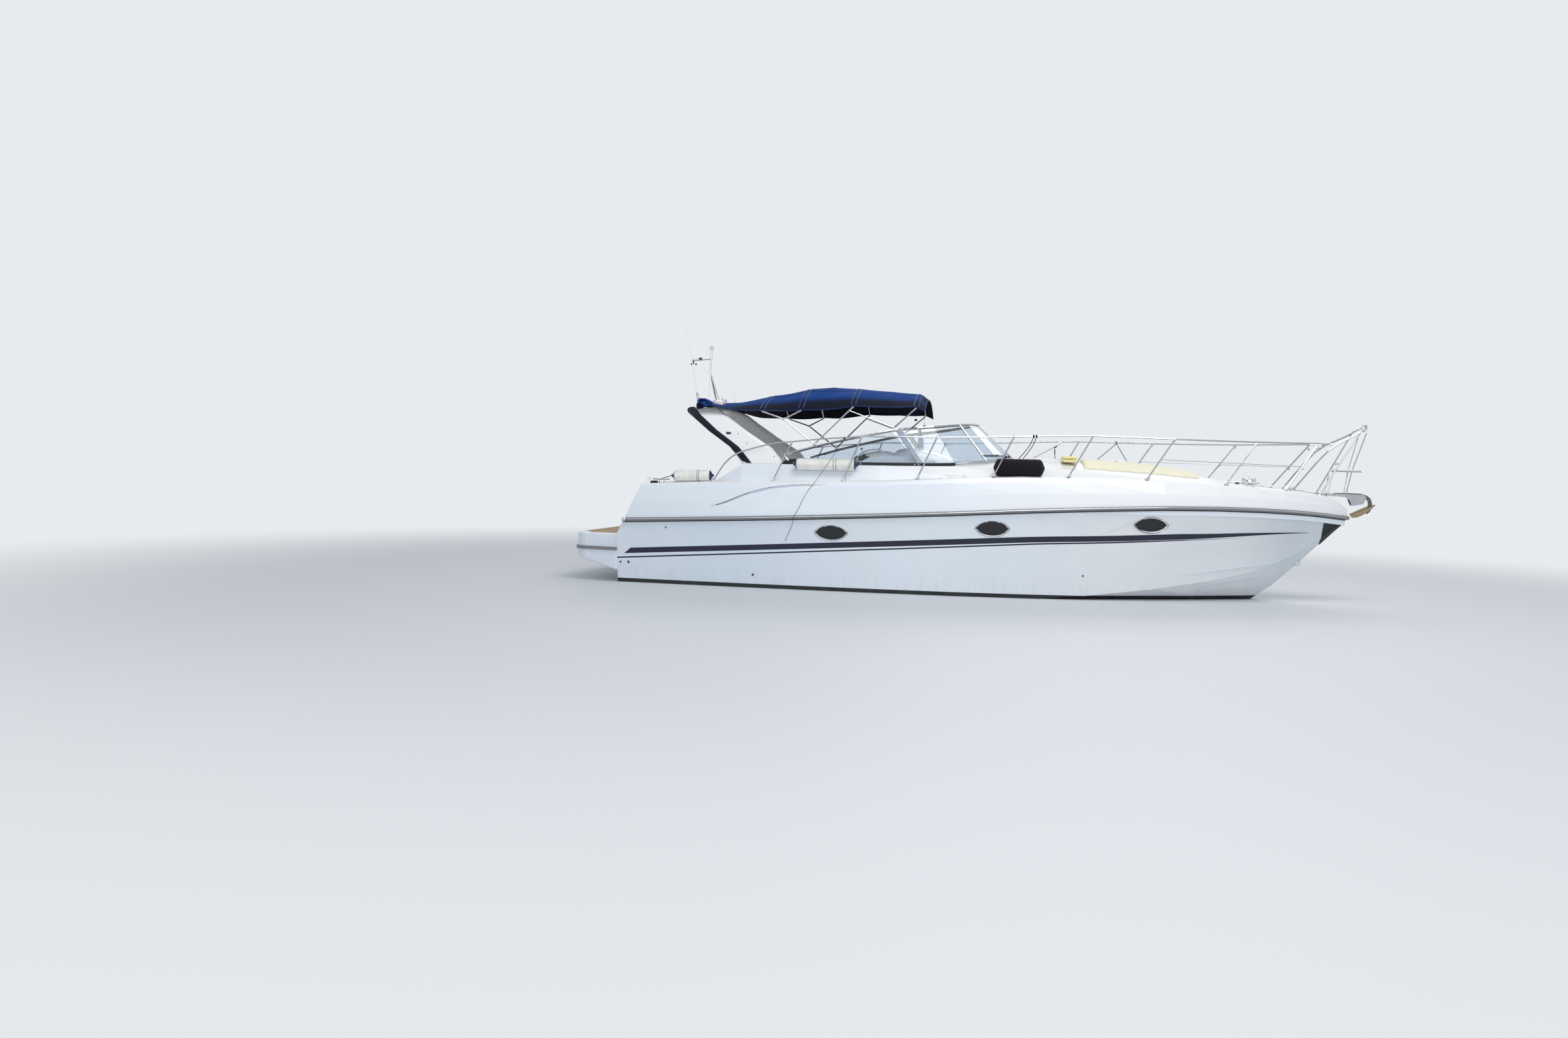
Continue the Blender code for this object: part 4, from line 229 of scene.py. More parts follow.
def metal_finish(name, colour=(0.66, 0.67, 0.69), roughness=0.12, brushed=0.0):
    made = Finish(name, colour, roughness, 1.0)
    stains = made.noise(9.0, 5.0)
    made.link(made.mix(made.ramp(stains, 0.5, 0.8, 0.0, 0.5), colour, shade(colour, 0.80)), "Base Color")
    made.vary_roughness(made.noise(24.0), roughness * 0.7, roughness * 1.8)
    if brushed:
        made.bump(made.noise(90.0, 2.0, (0.05, 1, 1)), brushed, 0.0004)
    return made.mat


def glass_finish(name, colour, transmission=1.0, roughness=0.02):
    made = Finish(name, colour, roughness, 0.0, Transmission_Weight=transmission, IOR=1.47)
    haze = made.noise(7.0, 4.0)
    made.vary_roughness(haze, roughness * 0.6, roughness * 2.2)
    return made.mat


def rubber_finish(name, colour, roughness=0.5, grain=0.15):
    made = Finish(name, colour, roughness, Specular_IOR_Level=0.25 if max(colour) < 0.05 else 0.5)
    wear = made.noise(14.0, 6.0)
    lighter = tuple(min(1.0, c * 1.25 + 0.006) for c in colour)
    made.link(made.mix(made.ramp(wear, 0.45, 0.75, 0.0, 0.6), colour, lighter), "Base Color")
    made.vary_roughness(made.noise(30.0), roughness * 0.8, roughness * 1.2)
    made.bump(made.noise(420.0, 2.0), grain, 0.0006)
    return made.mat


def cloth_finish(name, colour, scale=520.0, sheen=0.25, faded=0.12, whole=False):
    """Woven cloth: two crossed waves for the yarns, with sun-faded patches."""
    made = Finish(name, colour, 0.86, Sheen_Weight=sheen, Sheen_Roughness=0.4, Specular_IOR_Level=0.2)
    fade = made.ramp(made.noise(1.7, 5.0), 0.35, 0.7)
    lighter = tuple(min(1.0, c + faded * (0.10 + c)) for c in colour)
    made.link(made.mix(fade, colour, lighter), "Base Color")
    waves = [made.node("ShaderNodeTexWave", {"Vector": made.coords, "Scale": scale, "Distortion": 0.6},
                       bands_direction=axis).outputs["Fac"] for axis in ("X", "Y")]
    made.bump(made.math("MULTIPLY", *waves), 0.35, 0.0008)
    return made if whole else made.mat


def canopy_finish():
    """Royal blue canvas with painted shade: near black on its under side, along its side borders and on its
    fore panel.
    """
    blue, dark = (0.004, 0.040, 0.20), (0.004, 0.006, 0.016)
    made = cloth_finish("canopy_canvas", blue, sheen=0.0, faded=0.06, whole=True)
    made.shader.inputs["Specular IOR Level"].default_value = 0.12
    facing = made.facing()
    # painted shade: dark band along the side borders from just forward of the arch, and on the fore panel
    # where it faces away from the sky
    side_shade_band = made.ramp(made.math("ABSOLUTE", made.axis("Y")), 0.86, 1.10)
    low = made.math("MULTIPLY", side_shade_band, made.ramp(made.axis("X"), -3.80, -3.30))
    front = made.math("MULTIPLY", made.ramp(made.axis("X"), -1.75, -1.35),
                      made.ramp(facing, 0.75, 0.95, 1.0, 0.0))
    # painted shade on the under side, joined with the painted shade of the borders and fore panel
    shaded = made.math("MAXIMUM", made.math("MAXIMUM", low, front), made.ramp(facing, -0.2, 0.1, 1.0, 0.0))
    fade = made.ramp(made.noise(1.7, 5.0), 0.35, 0.7)
    made.link(made.mix(shaded, made.mix(fade, blue, (0.012, 0.062, 0.27)), dark), "Base Color")
    return made.mat


def vinyl_finish(name, colour):
    """Marine vinyl with a fine grain and soft creases."""
    made = Finish(name, colour, 0.46, Coat_Weight=0.08, Coat_Roughness=0.3)
    tone = made.noise(3.5, 5.0)
    made.link(made.mix(made.ramp(tone, 0.35, 0.7), colour, shade(colour, 0.90)), "Base Color")
    grain = made.node("ShaderNodeTexVoronoi", {"Vector": made.coords, "Scale": 420.0}).outputs["Distance"]
    creases = made.noise(9.0, 3.0)
    made.bump(made.math("ADD", made.math("MULTIPLY", grain, 0.25), creases), 0.22, 0.003)
    made.vary_roughness(made.noise(12.0), 0.38, 0.54)
    return made.mat


PLANK_WIDTH = 0.055


def teak_finish():
    """Planks along the boat with dark caulking between them."""
    made = Finish("teak_planks", (0.42, 0.27, 0.15), 0.6)
    grain = made.noise(14.0, 6.0, (0.12, 1.6, 1.0))
    plank = made.math("FRACT", made.math("MULTIPLY", made.axis("Y"), 1 / PLANK_WIDTH))
    seam = made.math("GREATER_THAN", made.math("ABSOLUTE", made.math("SUBTRACT", plank, 0.5)), 0.455)
    row = made.math("FLOOR", made.math("MULTIPLY", made.axis("Y"), 1 / PLANK_WIDTH))
    tint = made.node("ShaderNodeTexWhiteNoise", {"W": row}, noise_dimensions="1D").outputs["Value"]
    wood = made.mix(made.ramp(grain, 0.3, 0.7), (0.46, 0.31, 0.18), (0.30, 0.185, 0.10))
    wood = made.mix(made.math("MULTIPLY", tint, 0.35), wood, (0.55, 0.42, 0.28))
    made.link(made.mix(seam, wood, (0.02, 0.02, 0.02)), "Base Color")
    height = made.math("SUBTRACT", made.math("MULTIPLY", grain, 0.3), seam)
    made.bump(height, 0.4, 0.0012)
    return made.mat


HULL = hull_finish()
DECK = deck_finish()
MOULDING = deck_finish("moulded_gelcoat", tread=False)
STEEL = metal_finish("polished_stainless", (0.47, 0.48, 0.50), 0.14)
DARK_STEEL = metal_finish("stem_steel", (0.045, 0.055, 0.055), 0.20)
BRUSHED = metal_finish("brushed_stainless", (0.55, 0.56, 0.57), 0.28, 0.2)
RUB = rubber_finish("rub_rail_grey", (0.20, 0.20, 0.21), 0.42)
BLACK = rubber_finish("black_trim", (0.012, 0.012, 0.014), 0.42)
GLOSS_BLACK = rubber_finish("gloss_black", (0.008, 0.008, 0.010), 0.16, 0.02)
SCREEN_GLASS = glass_finish("screen_glass", (0.80, 0.865, 0.925))
PORT_GLASS = glass_finish("port_glass", (0.020, 0.021, 0.024), 0.15, 0.05)
ACRYLIC = glass_finish("smoked_acrylic", (0.05, 0.055, 0.06), 0.35, 0.06)
CANVAS = canopy_finish()
CANVAS_LIGHT = cloth_finish("blue_cloth", (0.03, 0.20, 0.46))
CANVAS_DARK = cloth_finish("canopy_binding", (0.004, 0.024, 0.11))
VINYL = vinyl_finish("upholstery_cream", (0.80, 0.76, 0.60))
VINYL_WHITE = vinyl_finish("upholstery_white", (0.82, 0.82, 0.79))
PIPING = vinyl_finish("piping_navy", (0.015, 0.025, 0.09))
PAD = cloth_finish("sunpad_cover", (0.84, 0.81, 0.62), 480.0, 0.15, 0.05)
ENGINE = metal_finish("engine_paint", (0.20, 0.22, 0.24), 0.5)
DRIVE = rubber_finish("drive_paint", (0.055, 0.058, 0.062), 0.38, 0.05)
BRONZE = metal_finish("propeller_bronze", (0.50, 0.34, 0.16), 0.28, 0.15)
IRON = rubber_finish("anchor_iron", (0.12, 0.115, 0.10), 0.62, 0.5)
FENDER_WHITE = rubber_finish("fender_white", (0.78, 0.78, 0.73), 0.36, 0.05)
FENDER_NAVY = rubber_finish("fender_navy", (0.020, 0.022, 0.085), 0.30, 0.05)
KNIT = cloth_finish("fender_cover", (0.007, 0.006, 0.011), 300.0, 0.06, 0.03)
ROPE = cloth_finish("rope_black", (0.010, 0.010, 0.012), 380.0, 0.05, 0.03)
ROPE_PALE = cloth_finish("rope_pale", (0.62, 0.60, 0.52), 380.0, 0.3)
TEAK = teak_finish()
# bluish white of the hull trims: the hull side's painted shade tint
SHADED_HULL_WHITE = gelcoat("hull_trim_shaded_white", (0.74, 0.80, 0.86)).mat
PILLAR = rubber_finish("pillar_blue_grey", (0.22, 0.28, 0.36), 0.38, 0.03)
# painted shadow under the upper edge of the topsides' hollow
SHADOW_GREY = rubber_finish("hollow_shadow_grey", (0.16, 0.17, 0.18), 0.6, 0.05)
TRIM_NAVY = rubber_finish("arch_trim_navy", (0.003, 0.007, 0.015), 0.5, 0.03)
RUBBER_WHITE = rubber_finish("white_sealant", (0.62, 0.64, 0.66), 0.5, 0.05)
ORANGE = rubber_finish("orange_band", (0.85, 0.28, 0.05), 0.4, 0.02)
RED_PAINT = rubber_finish("red_paint", (0.55, 0.03, 0.02), 0.4, 0.02)
LEATHER = vinyl_finish("wheel_leather", (0.022, 0.022, 0.025))
MUD = rubber_finish("anchor_mud", (0.42, 0.31, 0.17), 0.85, 0.6)
CHAIN = metal_finish("galvanised_chain", (0.48, 0.49, 0.50), 0.38)
PAD_WARM = vinyl_finish("cushion_warm", (0.86, 0.78, 0.36))
LAMP = glass_finish("lamp_lens", (0.85, 0.87, 0.88), 0.6, 0.08)
RED = glass_finish("red_lens", (0.55, 0.02, 0.02), 0.3, 0.08)
DIAL = rubber_finish("dial_face", (0.80, 0.80, 0.77), 0.4, 0.02)

NODE_FINISHES = {
    "hull": HULL, "deck": DECK, "cockpit_tub": DECK, "swim_platform": DECK, "radar_arch": MOULDING,
    "helm_console": MOULDING, "engine_hatch": MOULDING, "transom_gate": MOULDING, "foredeck_hatch": MOULDING,
    "anchor_locker_lid": MOULDING, "rub_rail": RUB, "platform_rub_strip": RUB, "companionway_door": ACRYLIC,
    "bimini_canopy": CANVAS, "engine_port": ENGINE, "engine_starboard": ENGINE, "anchor": IRON,
    "cabin_sole": TEAK, "steering_wheel": BLACK, "whip_antenna": MOULDING, "stem_plate": DARK_STEEL,
    "fender_covered": KNIT, "fender_aft": FENDER_WHITE, "fender_mid": FENDER_WHITE,
}
PREFIX_FINISHES = (
    ("glass_", SCREEN_GLASS), ("porthole_", PORT_GLASS), ("drive_", DRIVE), ("propeller_", BRONZE),
)


def finish_nodes():
    for name, obj in NODES.items():
        mat = NODE_FINISHES.get(name, STEEL)
        for prefix, chosen in PREFIX_FINISHES:
            if name.startswith(prefix):
                mat = chosen
        obj.data.materials.clear()
        obj.data.materials.append(mat)


# Geometry

BLOCK_FACES = ((0, 1, 3, 2), (4, 6, 7, 5), (0, 4, 5, 1), (2, 3, 7, 6), (0, 2, 6, 4), (1, 5, 7, 3))
BEVEL_ANGLE = math.radians(38)
BEVEL_SEGMENTS = 2
ROD_EASE = 0.0015


class Shape:
    """Collects closed forms in one mesh and makes a piece of them."""

    def __init__(self):
        self.bm = bmesh.new()

    def grid(self, rings, closed=False):
        """Skin through rings of points; its ends are capped, or joined if it is closed."""
        made = [[self.bm.verts.new(p) for p in ring] for ring in rings]
        count = len(rings[0])
        for i in range(len(rings) if closed else len(rings) - 1):
            a, b = made[i], made[(i + 1) % len(rings)]
            for j in range(count):
                k = (j + 1) % count
                self.bm.faces.new((a[j], a[k], b[k], b[j]))
        if not closed:
            self.bm.faces.new(made[0][::-1])
            self.bm.faces.new(made[-1])
        return self

    def block(self, corners):
        """Six faces over eight corners, which go by x, then y, then z."""
        v = [self.bm.verts.new(p) for p in corners]
        for face in BLOCK_FACES:
            self.bm.faces.new([v[i] for i in face])
        return self

    def box(self, low, high):
        return self.block(product(*zip(low, high)))

    def lathe(self, base, axis, profile, sides=24):
        """Turned form: (radius, height) pairs along the axis."""
        axis = Vector(axis).normalized()
        side = axis.orthogonal().normalized()
        other = axis.cross(side)
        rows = []
        for radius, height in profile:
            centre = Vector(base) + axis * height
            rows.append([centre + (side * math.cos(t) + other * math.sin(t)) * max(radius, 1e-5)
                         for t in angles(sides)])
        return self.grid(rows)

    def rod(self, start, end, radius, end_radius=None, sides=14):
        start, end = Vector(start), Vector(end)
        last = radius if end_radius is None else end_radius
        length = (end - start).length
        ease = min(ROD_EASE, length * 0.3, radius * 0.5, last * 0.5)
        return self.lathe(start, end - start, ((radius - ease, 0), (radius, ease), (last, length - ease),
                                               (last - ease, length)), sides)

    def tube(self, points, radius, sides=10, closed=False):
        ring = [(radius * math.cos(t), radius * math.sin(t)) for t in angles(sides)]
        return self.sweep(points, ring, closed=closed)

    def sweep(self, points, profile, up=None, closed=False):
        """Profile of (side, up) pairs carried along a path; without up it turns as little as possible."""
        pts = [Vector(p) for p in points]
        count = len(pts)
        rows = []
        lean = Vector(up) if up else None
        for i, p in enumerate(pts):
            before = pts[i - 1] if closed or i else p
            after = pts[(i + 1) % count] if closed or i < count - 1 else p
            along = (after - before).normalized()
            if up:
                side = along.cross(Vector(up)).normalized()
            else:
                lean = lean if lean is not None else along.orthogonal()
                side = along.cross(lean).normalized()
                lean = side.cross(along).normalized()
            top = side.cross(along).normalized()
            stretch = 1.0
            if before != p and after != p:
                stretch = 1 / max(0.6, math.cos(along.angle(after - p)))
            rows.append([p + side * (u * stretch) + top * v for u, v in profile])
        return self.grid(rows, closed=closed)

    def ball(self, centre, radii, rings=10, sides=18):
        rows = []
        for i in range(rings + 1):
            a = math.pi * i / rings
            wide = max(math.sin(a), 1e-4)
            rows.append([centre + Vector((radii[0] * wide * math.cos(b), radii[1] * wide * math.sin(b),
                                          radii[2] * math.cos(a))) for b in angles(sides)])
        return self.grid(rows)

    def done(self, name, mat, body="boat", slot=None, bevel=0.0, smooth=35):
        bmesh.ops.recalc_face_normals(self.bm, faces=self.bm.faces)
        mesh = bpy.data.meshes.new(name)
        self.bm.to_mesh(mesh)
        self.bm.free()
        obj = bpy.data.objects.new(name, mesh)
        bpy.context.scene.collection.objects.link(obj)
        if bevel:
            mod = obj.modifiers.new("edge", "BEVEL")
            mod.width = bevel
            mod.segments = BEVEL_SEGMENTS
            mod.limit_method = "ANGLE"
            mod.angle_limit = BEVEL_ANGLE
            apply_modifiers(obj)
        obj.data.materials.clear()
        obj.data.materials.append(mat)
        obj.data.shade_smooth()
        obj.data.set_sharp_from_angle(angle=math.radians(smooth))
        if body:
            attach(obj, body)
        return obj


def shapes(count):
    return [Shape() for _ in range(count)]


def apply_modifiers(obj):
    bpy.context.view_layer.update()
    deps = bpy.context.evaluated_depsgraph_get()
    mesh = bpy.data.meshes.new_from_object(obj.evaluated_get(deps))
    old = obj.data
    obj.modifiers.clear()
    obj.data = mesh
    mesh.name = old.name
    bpy.data.meshes.remove(old)


def tree_of(name):
    mesh = NODES[name].data
    return BVHTree.FromPolygons([v.co.copy() for v in mesh.vertices], [p.vertices[:] for p in mesh.polygons])


DROP_FROM = 3.5
TREES = {name: tree_of(name) for name in ("hull", "deck", "radar_arch", "cockpit_tub", "helm_console")}


def drop(node, x, y):
    """Point and normal of a node's upper surface at a plan position."""
    return TREES[node].ray_cast(Vector((x, y, DROP_FROM)), DOWN)[:2]


def on_deck(x, y):
    return drop("deck", x, y)[0]


def side_hit(node, x, z, side=-1):
    """Point and outward normal of a node's side at a station and height."""
    hit, normal, _, _ = TREES[node].ray_cast(Vector((x, side * 4.0, z)), Vector((0, -side, 0)))
    if hit is None:
        return None, None
    return hit, normal if normal.y * side > 0 else -normal


def smooth_path(points, steps=6):
    """Catmull-Rom path through the points."""
    pts = [Vector(p) for p in points]
    pts = [2 * pts[0] - pts[1]] + pts + [2 * pts[-1] - pts[-2]]
    out = []
    for i in range(1, len(pts) - 2):
        a, b, c, d = pts[i - 1:i + 3]
        for s in range(steps):
            t = s / steps
            out.append(0.5 * (2 * b + (c - a) * t + (2 * a - 5 * b + 4 * c - d) * t * t
                              + (3 * b - a - 3 * c + d) * t ** 3))
    return out + [pts[-2]]


def path_length(points):
    return sum((Vector(b) - Vector(a)).length for a, b in zip(points, points[1:]))


# Camera, light and floor

CAMERA_PLACE = Vector((0.57, -19.2, 1.77))
CAMERA_YAW = math.radians(9.9)
CAMERA_PITCH = math.radians(-2.3)
CAMERA_ROLL = math.radians(1.5)
FOCAL_SHARE = 1800 / 2368
BACKDROP = (0.80, 0.83, 0.86)
SKY = (0.86, 0.91, 1.0)
SKY_STRENGTH = 0.45


def make_camera():
    data = bpy.data.cameras.new("camera")
    data.sensor_width = 36.0
    data.lens = data.sensor_width * FOCAL_SHARE
    data.clip_end = 400
    camera = bpy.data.objects.new("camera", data)
    bpy.context.scene.collection.objects.link(camera)
    ahead = Vector((-math.sin(CAMERA_YAW) * math.cos(CAMERA_PITCH),
                    math.cos(CAMERA_YAW) * math.cos(CAMERA_PITCH),
                    math.sin(CAMERA_PITCH)))
    level = Vector((math.cos(CAMERA_YAW), math.sin(CAMERA_YAW), 0))
    above = level.cross(ahead)
    right = level * math.cos(CAMERA_ROLL) + above * math.sin(CAMERA_ROLL)
    up = above * math.cos(CAMERA_ROLL) - level * math.sin(CAMERA_ROLL)
    turn = Matrix((right, up, -ahead)).transposed().to_4x4()
    camera.matrix_world = Matrix.Translation(CAMERA_PLACE) @ turn
    bpy.context.scene.camera = camera


def area_light(name, place, target, size, power, colour=(1, 1, 1)):
    data = bpy.data.lights.new(name, "AREA")
    data.shape = "RECTANGLE"
    data.size, data.size_y = size
    data.energy = power
    data.color = colour
    lamp = bpy.data.objects.new(name, data)
    bpy.context.scene.collection.objects.link(lamp)
    lamp.location = place
    lamp.rotation_euler = (Vector(target) - Vector(place)).to_track_quat("-Z", "Y").to_euler()


FLOOR_RADIUS = 180.0


def make_stage():
    world = bpy.data.worlds.new("studio")
    world.use_nodes = True
    tree = world.node_tree
    link = tree.links.new
    plain, soft = tree.nodes["Background"], tree.nodes.new("ShaderNodeBackground")
    for lit, colour, strength in ((plain, BACKDROP, 1.0), (soft, SKY, SKY_STRENGTH)):
        lit.inputs["Color"].default_value = (*colour, 1)
        lit.inputs["Strength"].default_value = strength
    path = tree.nodes.new("ShaderNodeLightPath")
    # The backdrop shows to the camera, in reflections and through glass; the sky lights the rest
    seen = path.outputs["Is Camera Ray"]
    for kind in ("Is Glossy Ray", "Is Transmission Ray"):
        most = tree.nodes.new("ShaderNodeMath")
        most.operation = "MAXIMUM"
        link(seen, most.inputs[0])
        link(path.outputs[kind], most.inputs[1])
        seen = most.outputs[0]
    mix = tree.nodes.new("ShaderNodeMixShader")
    for i, output in enumerate((seen, soft.outputs[0], plain.outputs[0])):
        link(output, mix.inputs[i])
    link(mix.outputs[0], tree.nodes["World Output"].inputs[0])
    bpy.context.scene.world = world

    floor = Finish("floor", (0.62, 0.645, 0.67), 0.55)
    away = floor.node("ShaderNodeVectorMath", {0: floor.coords}, operation="LENGTH").outputs["Value"]
    far = floor.ramp(away, 9.0, 19.0)
    clear = floor.node("ShaderNodeEmission", {"Color": (*BACKDROP, 1), "Strength": 1.0})
    blend = floor.node("ShaderNodeMixShader", {0: far, 1: floor.shader.outputs[0], 2: clear.outputs[0]})
    floor.tree.links.new(blend.outputs[0], floor.tree.nodes["Material Output"].inputs["Surface"])
    bm = bmesh.new()
    bmesh.ops.create_circle(bm, cap_ends=True, segments=96, radius=FLOOR_RADIUS)
    mesh = bpy.data.meshes.new("floor")
    bm.to_mesh(mesh)
    bm.free()
    mesh.materials.append(floor.mat)
    ground = bpy.data.objects.new("floor", mesh)
    bpy.context.scene.collection.objects.link(ground)
    area_light("key", (5, -9, 18), (0, 0, 1), (14, 9), 1900, (1.0, 0.985, 0.96))
    area_light("front_fill", (0, -22, 5), (0, 0, 1), (18, 8), 980, (0.94, 0.97, 1.0))
    area_light("back_light", (3, 16, 14), (0, 0, 1.5), (16, 8), 900)
    bpy.context.scene.view_settings.view_transform = "Standard"


finish_nodes()
make_camera()
make_stage()


# Canopy. Columns: x, edge z, crown above the edge
CANOPY_ROWS = (
    (-3.86, 2.800, 0.045),
    (-3.45, 2.730, 0.160),
    (-2.95, 2.700, 0.290),
    (-2.35, 2.720, 0.390),
    (-2.00, 2.745, 0.410),
    (-1.55, 2.790, 0.330),
    (-1.05, 2.810, 0.290),
    (-0.60, 2.790, 0.260),
    (-0.47, 2.730, 0.230),
)
CANOPY_HALF_Y = 1.26
BOWS_X = (-2.95, -2.35, -1.55, -0.60)
CANOPY_SEAMS_Y = (-0.62, 0.0, 0.62)


def canopy_point(x, y, lift=0.0):
    """Point of the stretched canvas: on its bows it lies on the tubes, between them it sags a little."""
    rows = CANOPY_ROWS
    edge = float(np.interp(x, [r[0] for r in rows], [r[1] for r in rows]))
    crown = float(np.interp(x, [r[0] for r in rows], [r[2] for r in rows]))
    s = abs(y) / CANOPY_HALF_Y
    z = edge + crown * (1 - s ** 2.2)
    near = sorted(BOWS_X + (CANOPY_ROWS[0][0],))
    sag = 0.0
    for a, b in zip(near, near[1:]):
        if a < x < b:
            t = (x - a) / (b - a)
            sag = 0.030 * math.sin(math.pi * t) * (b - a) * (0.55 + 0.45 * s)
    ripple = 0.0022 * math.sin(9.0 * x + 2.2 * math.sin(3 * y)) * (0.3 + s * s)
    return Vector((x, y, z - 0.004 - sag + ripple * min(1.0, sag * 200) + lift))


def make_canopy():
    """Stretched canvas with its binding, seams and hem."""
    rows = CANOPY_ROWS
    xs = np.unique(np.concatenate([np.linspace(rows[0][0], rows[-1][0], 70), [r[0] for r in rows]]))
    ys = np.linspace(-CANOPY_HALF_Y, CANOPY_HALF_Y, 61)
    cloth = Shape()
    top = [[canopy_point(x, y) for y in ys] for x in xs]
    cloth.grid([row + [p - rise(0.003) for p in reversed(row)] for row in top])
    canopy = cloth.done("canopy", CANVAS, slot="canvas", smooth=60)
    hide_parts("bimini_canopy")
    trim = Shape()
    strip = ((-0.011, -0.0002), (0.011, -0.0002), (0.0105, 0.0014), (-0.0105, 0.0014))
    for y in CANOPY_SEAMS_Y:
        trim.sweep([canopy_point(x, y) for x in xs], strip, UP)
    for x in BOWS_X:
        for off in (-0.035, 0.035):
            trim.sweep([canopy_point(x + off, y) for y in ys[1:-1]], strip, UP)
    hem = [(0.0055 * math.cos(t), 0.0075 * math.sin(t)) for t in angles(8)]
    for y in (ys[0], ys[-1]):
        trim.sweep([canopy_point(x, y, -0.004) for x in xs], hem, UP)
    for x in (xs[0], xs[-1]):
        trim.sweep([canopy_point(x, y, -0.004) for y in ys], hem, UP)
    edging = trim.done("canopy_binding", CANVAS_DARK, slot="canvas", smooth=60)


def make_lacing():
    """Cord laced from the canopy's aft hem round the arch, and the bunched cloth at its corners."""
    lace = Shape()
    path = []
    for i in range(41):
        y = -1.02 + 2.04 * i / 40
        hem = canopy_point(CANOPY_ROWS[0][0], y, 0.004)
        arch, _ = drop("radar_arch", -3.93, y)
        if arch is None:
            continue
        path.append(hem if i % 2 else arch + rise(0.006))
    lace.tube(path, 0.003, 6)
    lace.done("canopy_lacing", ROPE_PALE, slot="canvas")
    bunch = Shape()
    for side, _ in SIDES:
        start = canopy_point(CANOPY_ROWS[0][0] + 0.02, side * 1.20, 0.0)
        ends = [start + Vector((0.10, 0, -0.03)), start + Vector((-0.03, 0, 0.005)),
                start + Vector((-0.13, -0.04 * side, -0.02)),
                start + Vector((-0.17, -0.10 * side, -0.07))]
        path = smooth_path(ends, 7)
        rows = []
        for i, p in enumerate(path):
            t = i / (len(path) - 1)
            ring = []
            for a in angles(20):
                fold = 1 + 0.22 * math.sin(5 * a + 7 * t) + 0.12 * math.sin(9 * a - 5 * t)
                r = 0.045 * fold * (0.55 + 0.9 * math.sin(math.pi * min(1, t * 0.9 + 0.08)))
                ring.append(p + Vector((0, r * 1.25 * math.cos(a), r * math.sin(a))))
            rows.append(ring)
        bunch.grid(rows)
    bunch.done("canopy_bunches", CANVAS, slot="canvas", smooth=60)


# Cushions

WELT = 0.005
CHANNEL_DEPTH = 0.014
CHANNEL_WIDTH = 0.016


def cushion(name, low, high, mat, body, nodes, channels=(), axis=0, crown=0.016, pull=0.012,
            cuts=44, radius=0.035,
            piping=PIPING):
    """Crowned foam pad with pulled-in sides, sewn channels across one axis and piping round its edges."""
    low, high = Vector(low), Vector(high)
    half, centre = (high - low) / 2, (high + low) / 2
    half = Vector((half.x - WELT, half.y - WELT, half.z - WELT * 0.6))
    radius = min(radius, half.z * 0.9)
    bm = bmesh.new()
    bmesh.ops.create_cube(bm, size=2.0)
    bmesh.ops.subdivide_edges(bm, edges=bm.edges, cuts=cuts, use_grid_fill=True)
    for v in bm.verts:
        a = Vector(v.co)
        p = Vector((a.x * half.x, a.y * half.y, a.z * half.z))
        core = Vector((max(-half.x + radius, min(half.x - radius, p.x)),
                       max(-half.y + radius, min(half.y - radius, p.y)),
                       max(-half.z + radius, min(half.z - radius, p.z))))
        off = p - core
        if off.length > 1e-9:
            p = core + off.normalized() * radius
        swell_x, swell_y = 1 - a.x ** 2, 1 - a.y ** 2
        if a.z > -0.2:
            p.z -= crown * (1 - (swell_x * swell_y) ** 0.4) * max(0.0, a.z)
        if abs(a.x) > 0.98:
            p.x -= math.copysign(pull * (1 - swell_y ** 0.5) * 0.6, a.x)
        if abs(a.y) > 0.98:
            p.y -= math.copysign(pull * (1 - swell_x ** 0.5) * 0.6, a.y)
        if a.z > 0.5:
            place = (centre + p)[axis]
            for line in channels:
                p.z -= CHANNEL_DEPTH * math.exp(-((place - line) / CHANNEL_WIDTH) ** 2)
        v.co = centre + p
    shape = Shape()
    shape.bm.free()
    shape.bm = bm
    pad = shape.done(name, mat, body, "upholstery", smooth=80)
    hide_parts(*nodes)
    if piping:
        make_piping(name + "_piping", pad, low, high, piping, body, radius)
    return pad


def make_piping(name, pad, low, high, mat, body, radius):
    """Welt cord that follows the pad's upper and lower edge."""
    tree = BVHTree.FromObject(pad, bpy.context.evaluated_depsgraph_get())
    cord = Shape()
    mid = (low + high) / 2
    for level in (high.z - radius * 0.62, low.z + radius * 0.62):
        path = []
        for t in angles(96):
            aim = Vector((squared(math.cos(t), 0.35) * (high.x - mid.x),
                          squared(math.sin(t), 0.35) * (high.y - mid.y), 0))
            start = Vector((mid.x, mid.y, level)) + aim * 1.2
            hit, normal, _, _ = tree.find_nearest(start)
            path.append(hit + normal * 0.001)
        cord.tube(path, 0.0045, 6, closed=True)
    cord.done(name, mat, body, "upholstery")


def box_of(name):
    low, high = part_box(name)
    return Vector(low), Vector(high)


def spread(low, high, count):
    return [low + (high - low) * (i + 1) / (count + 1) for i in range(count)]


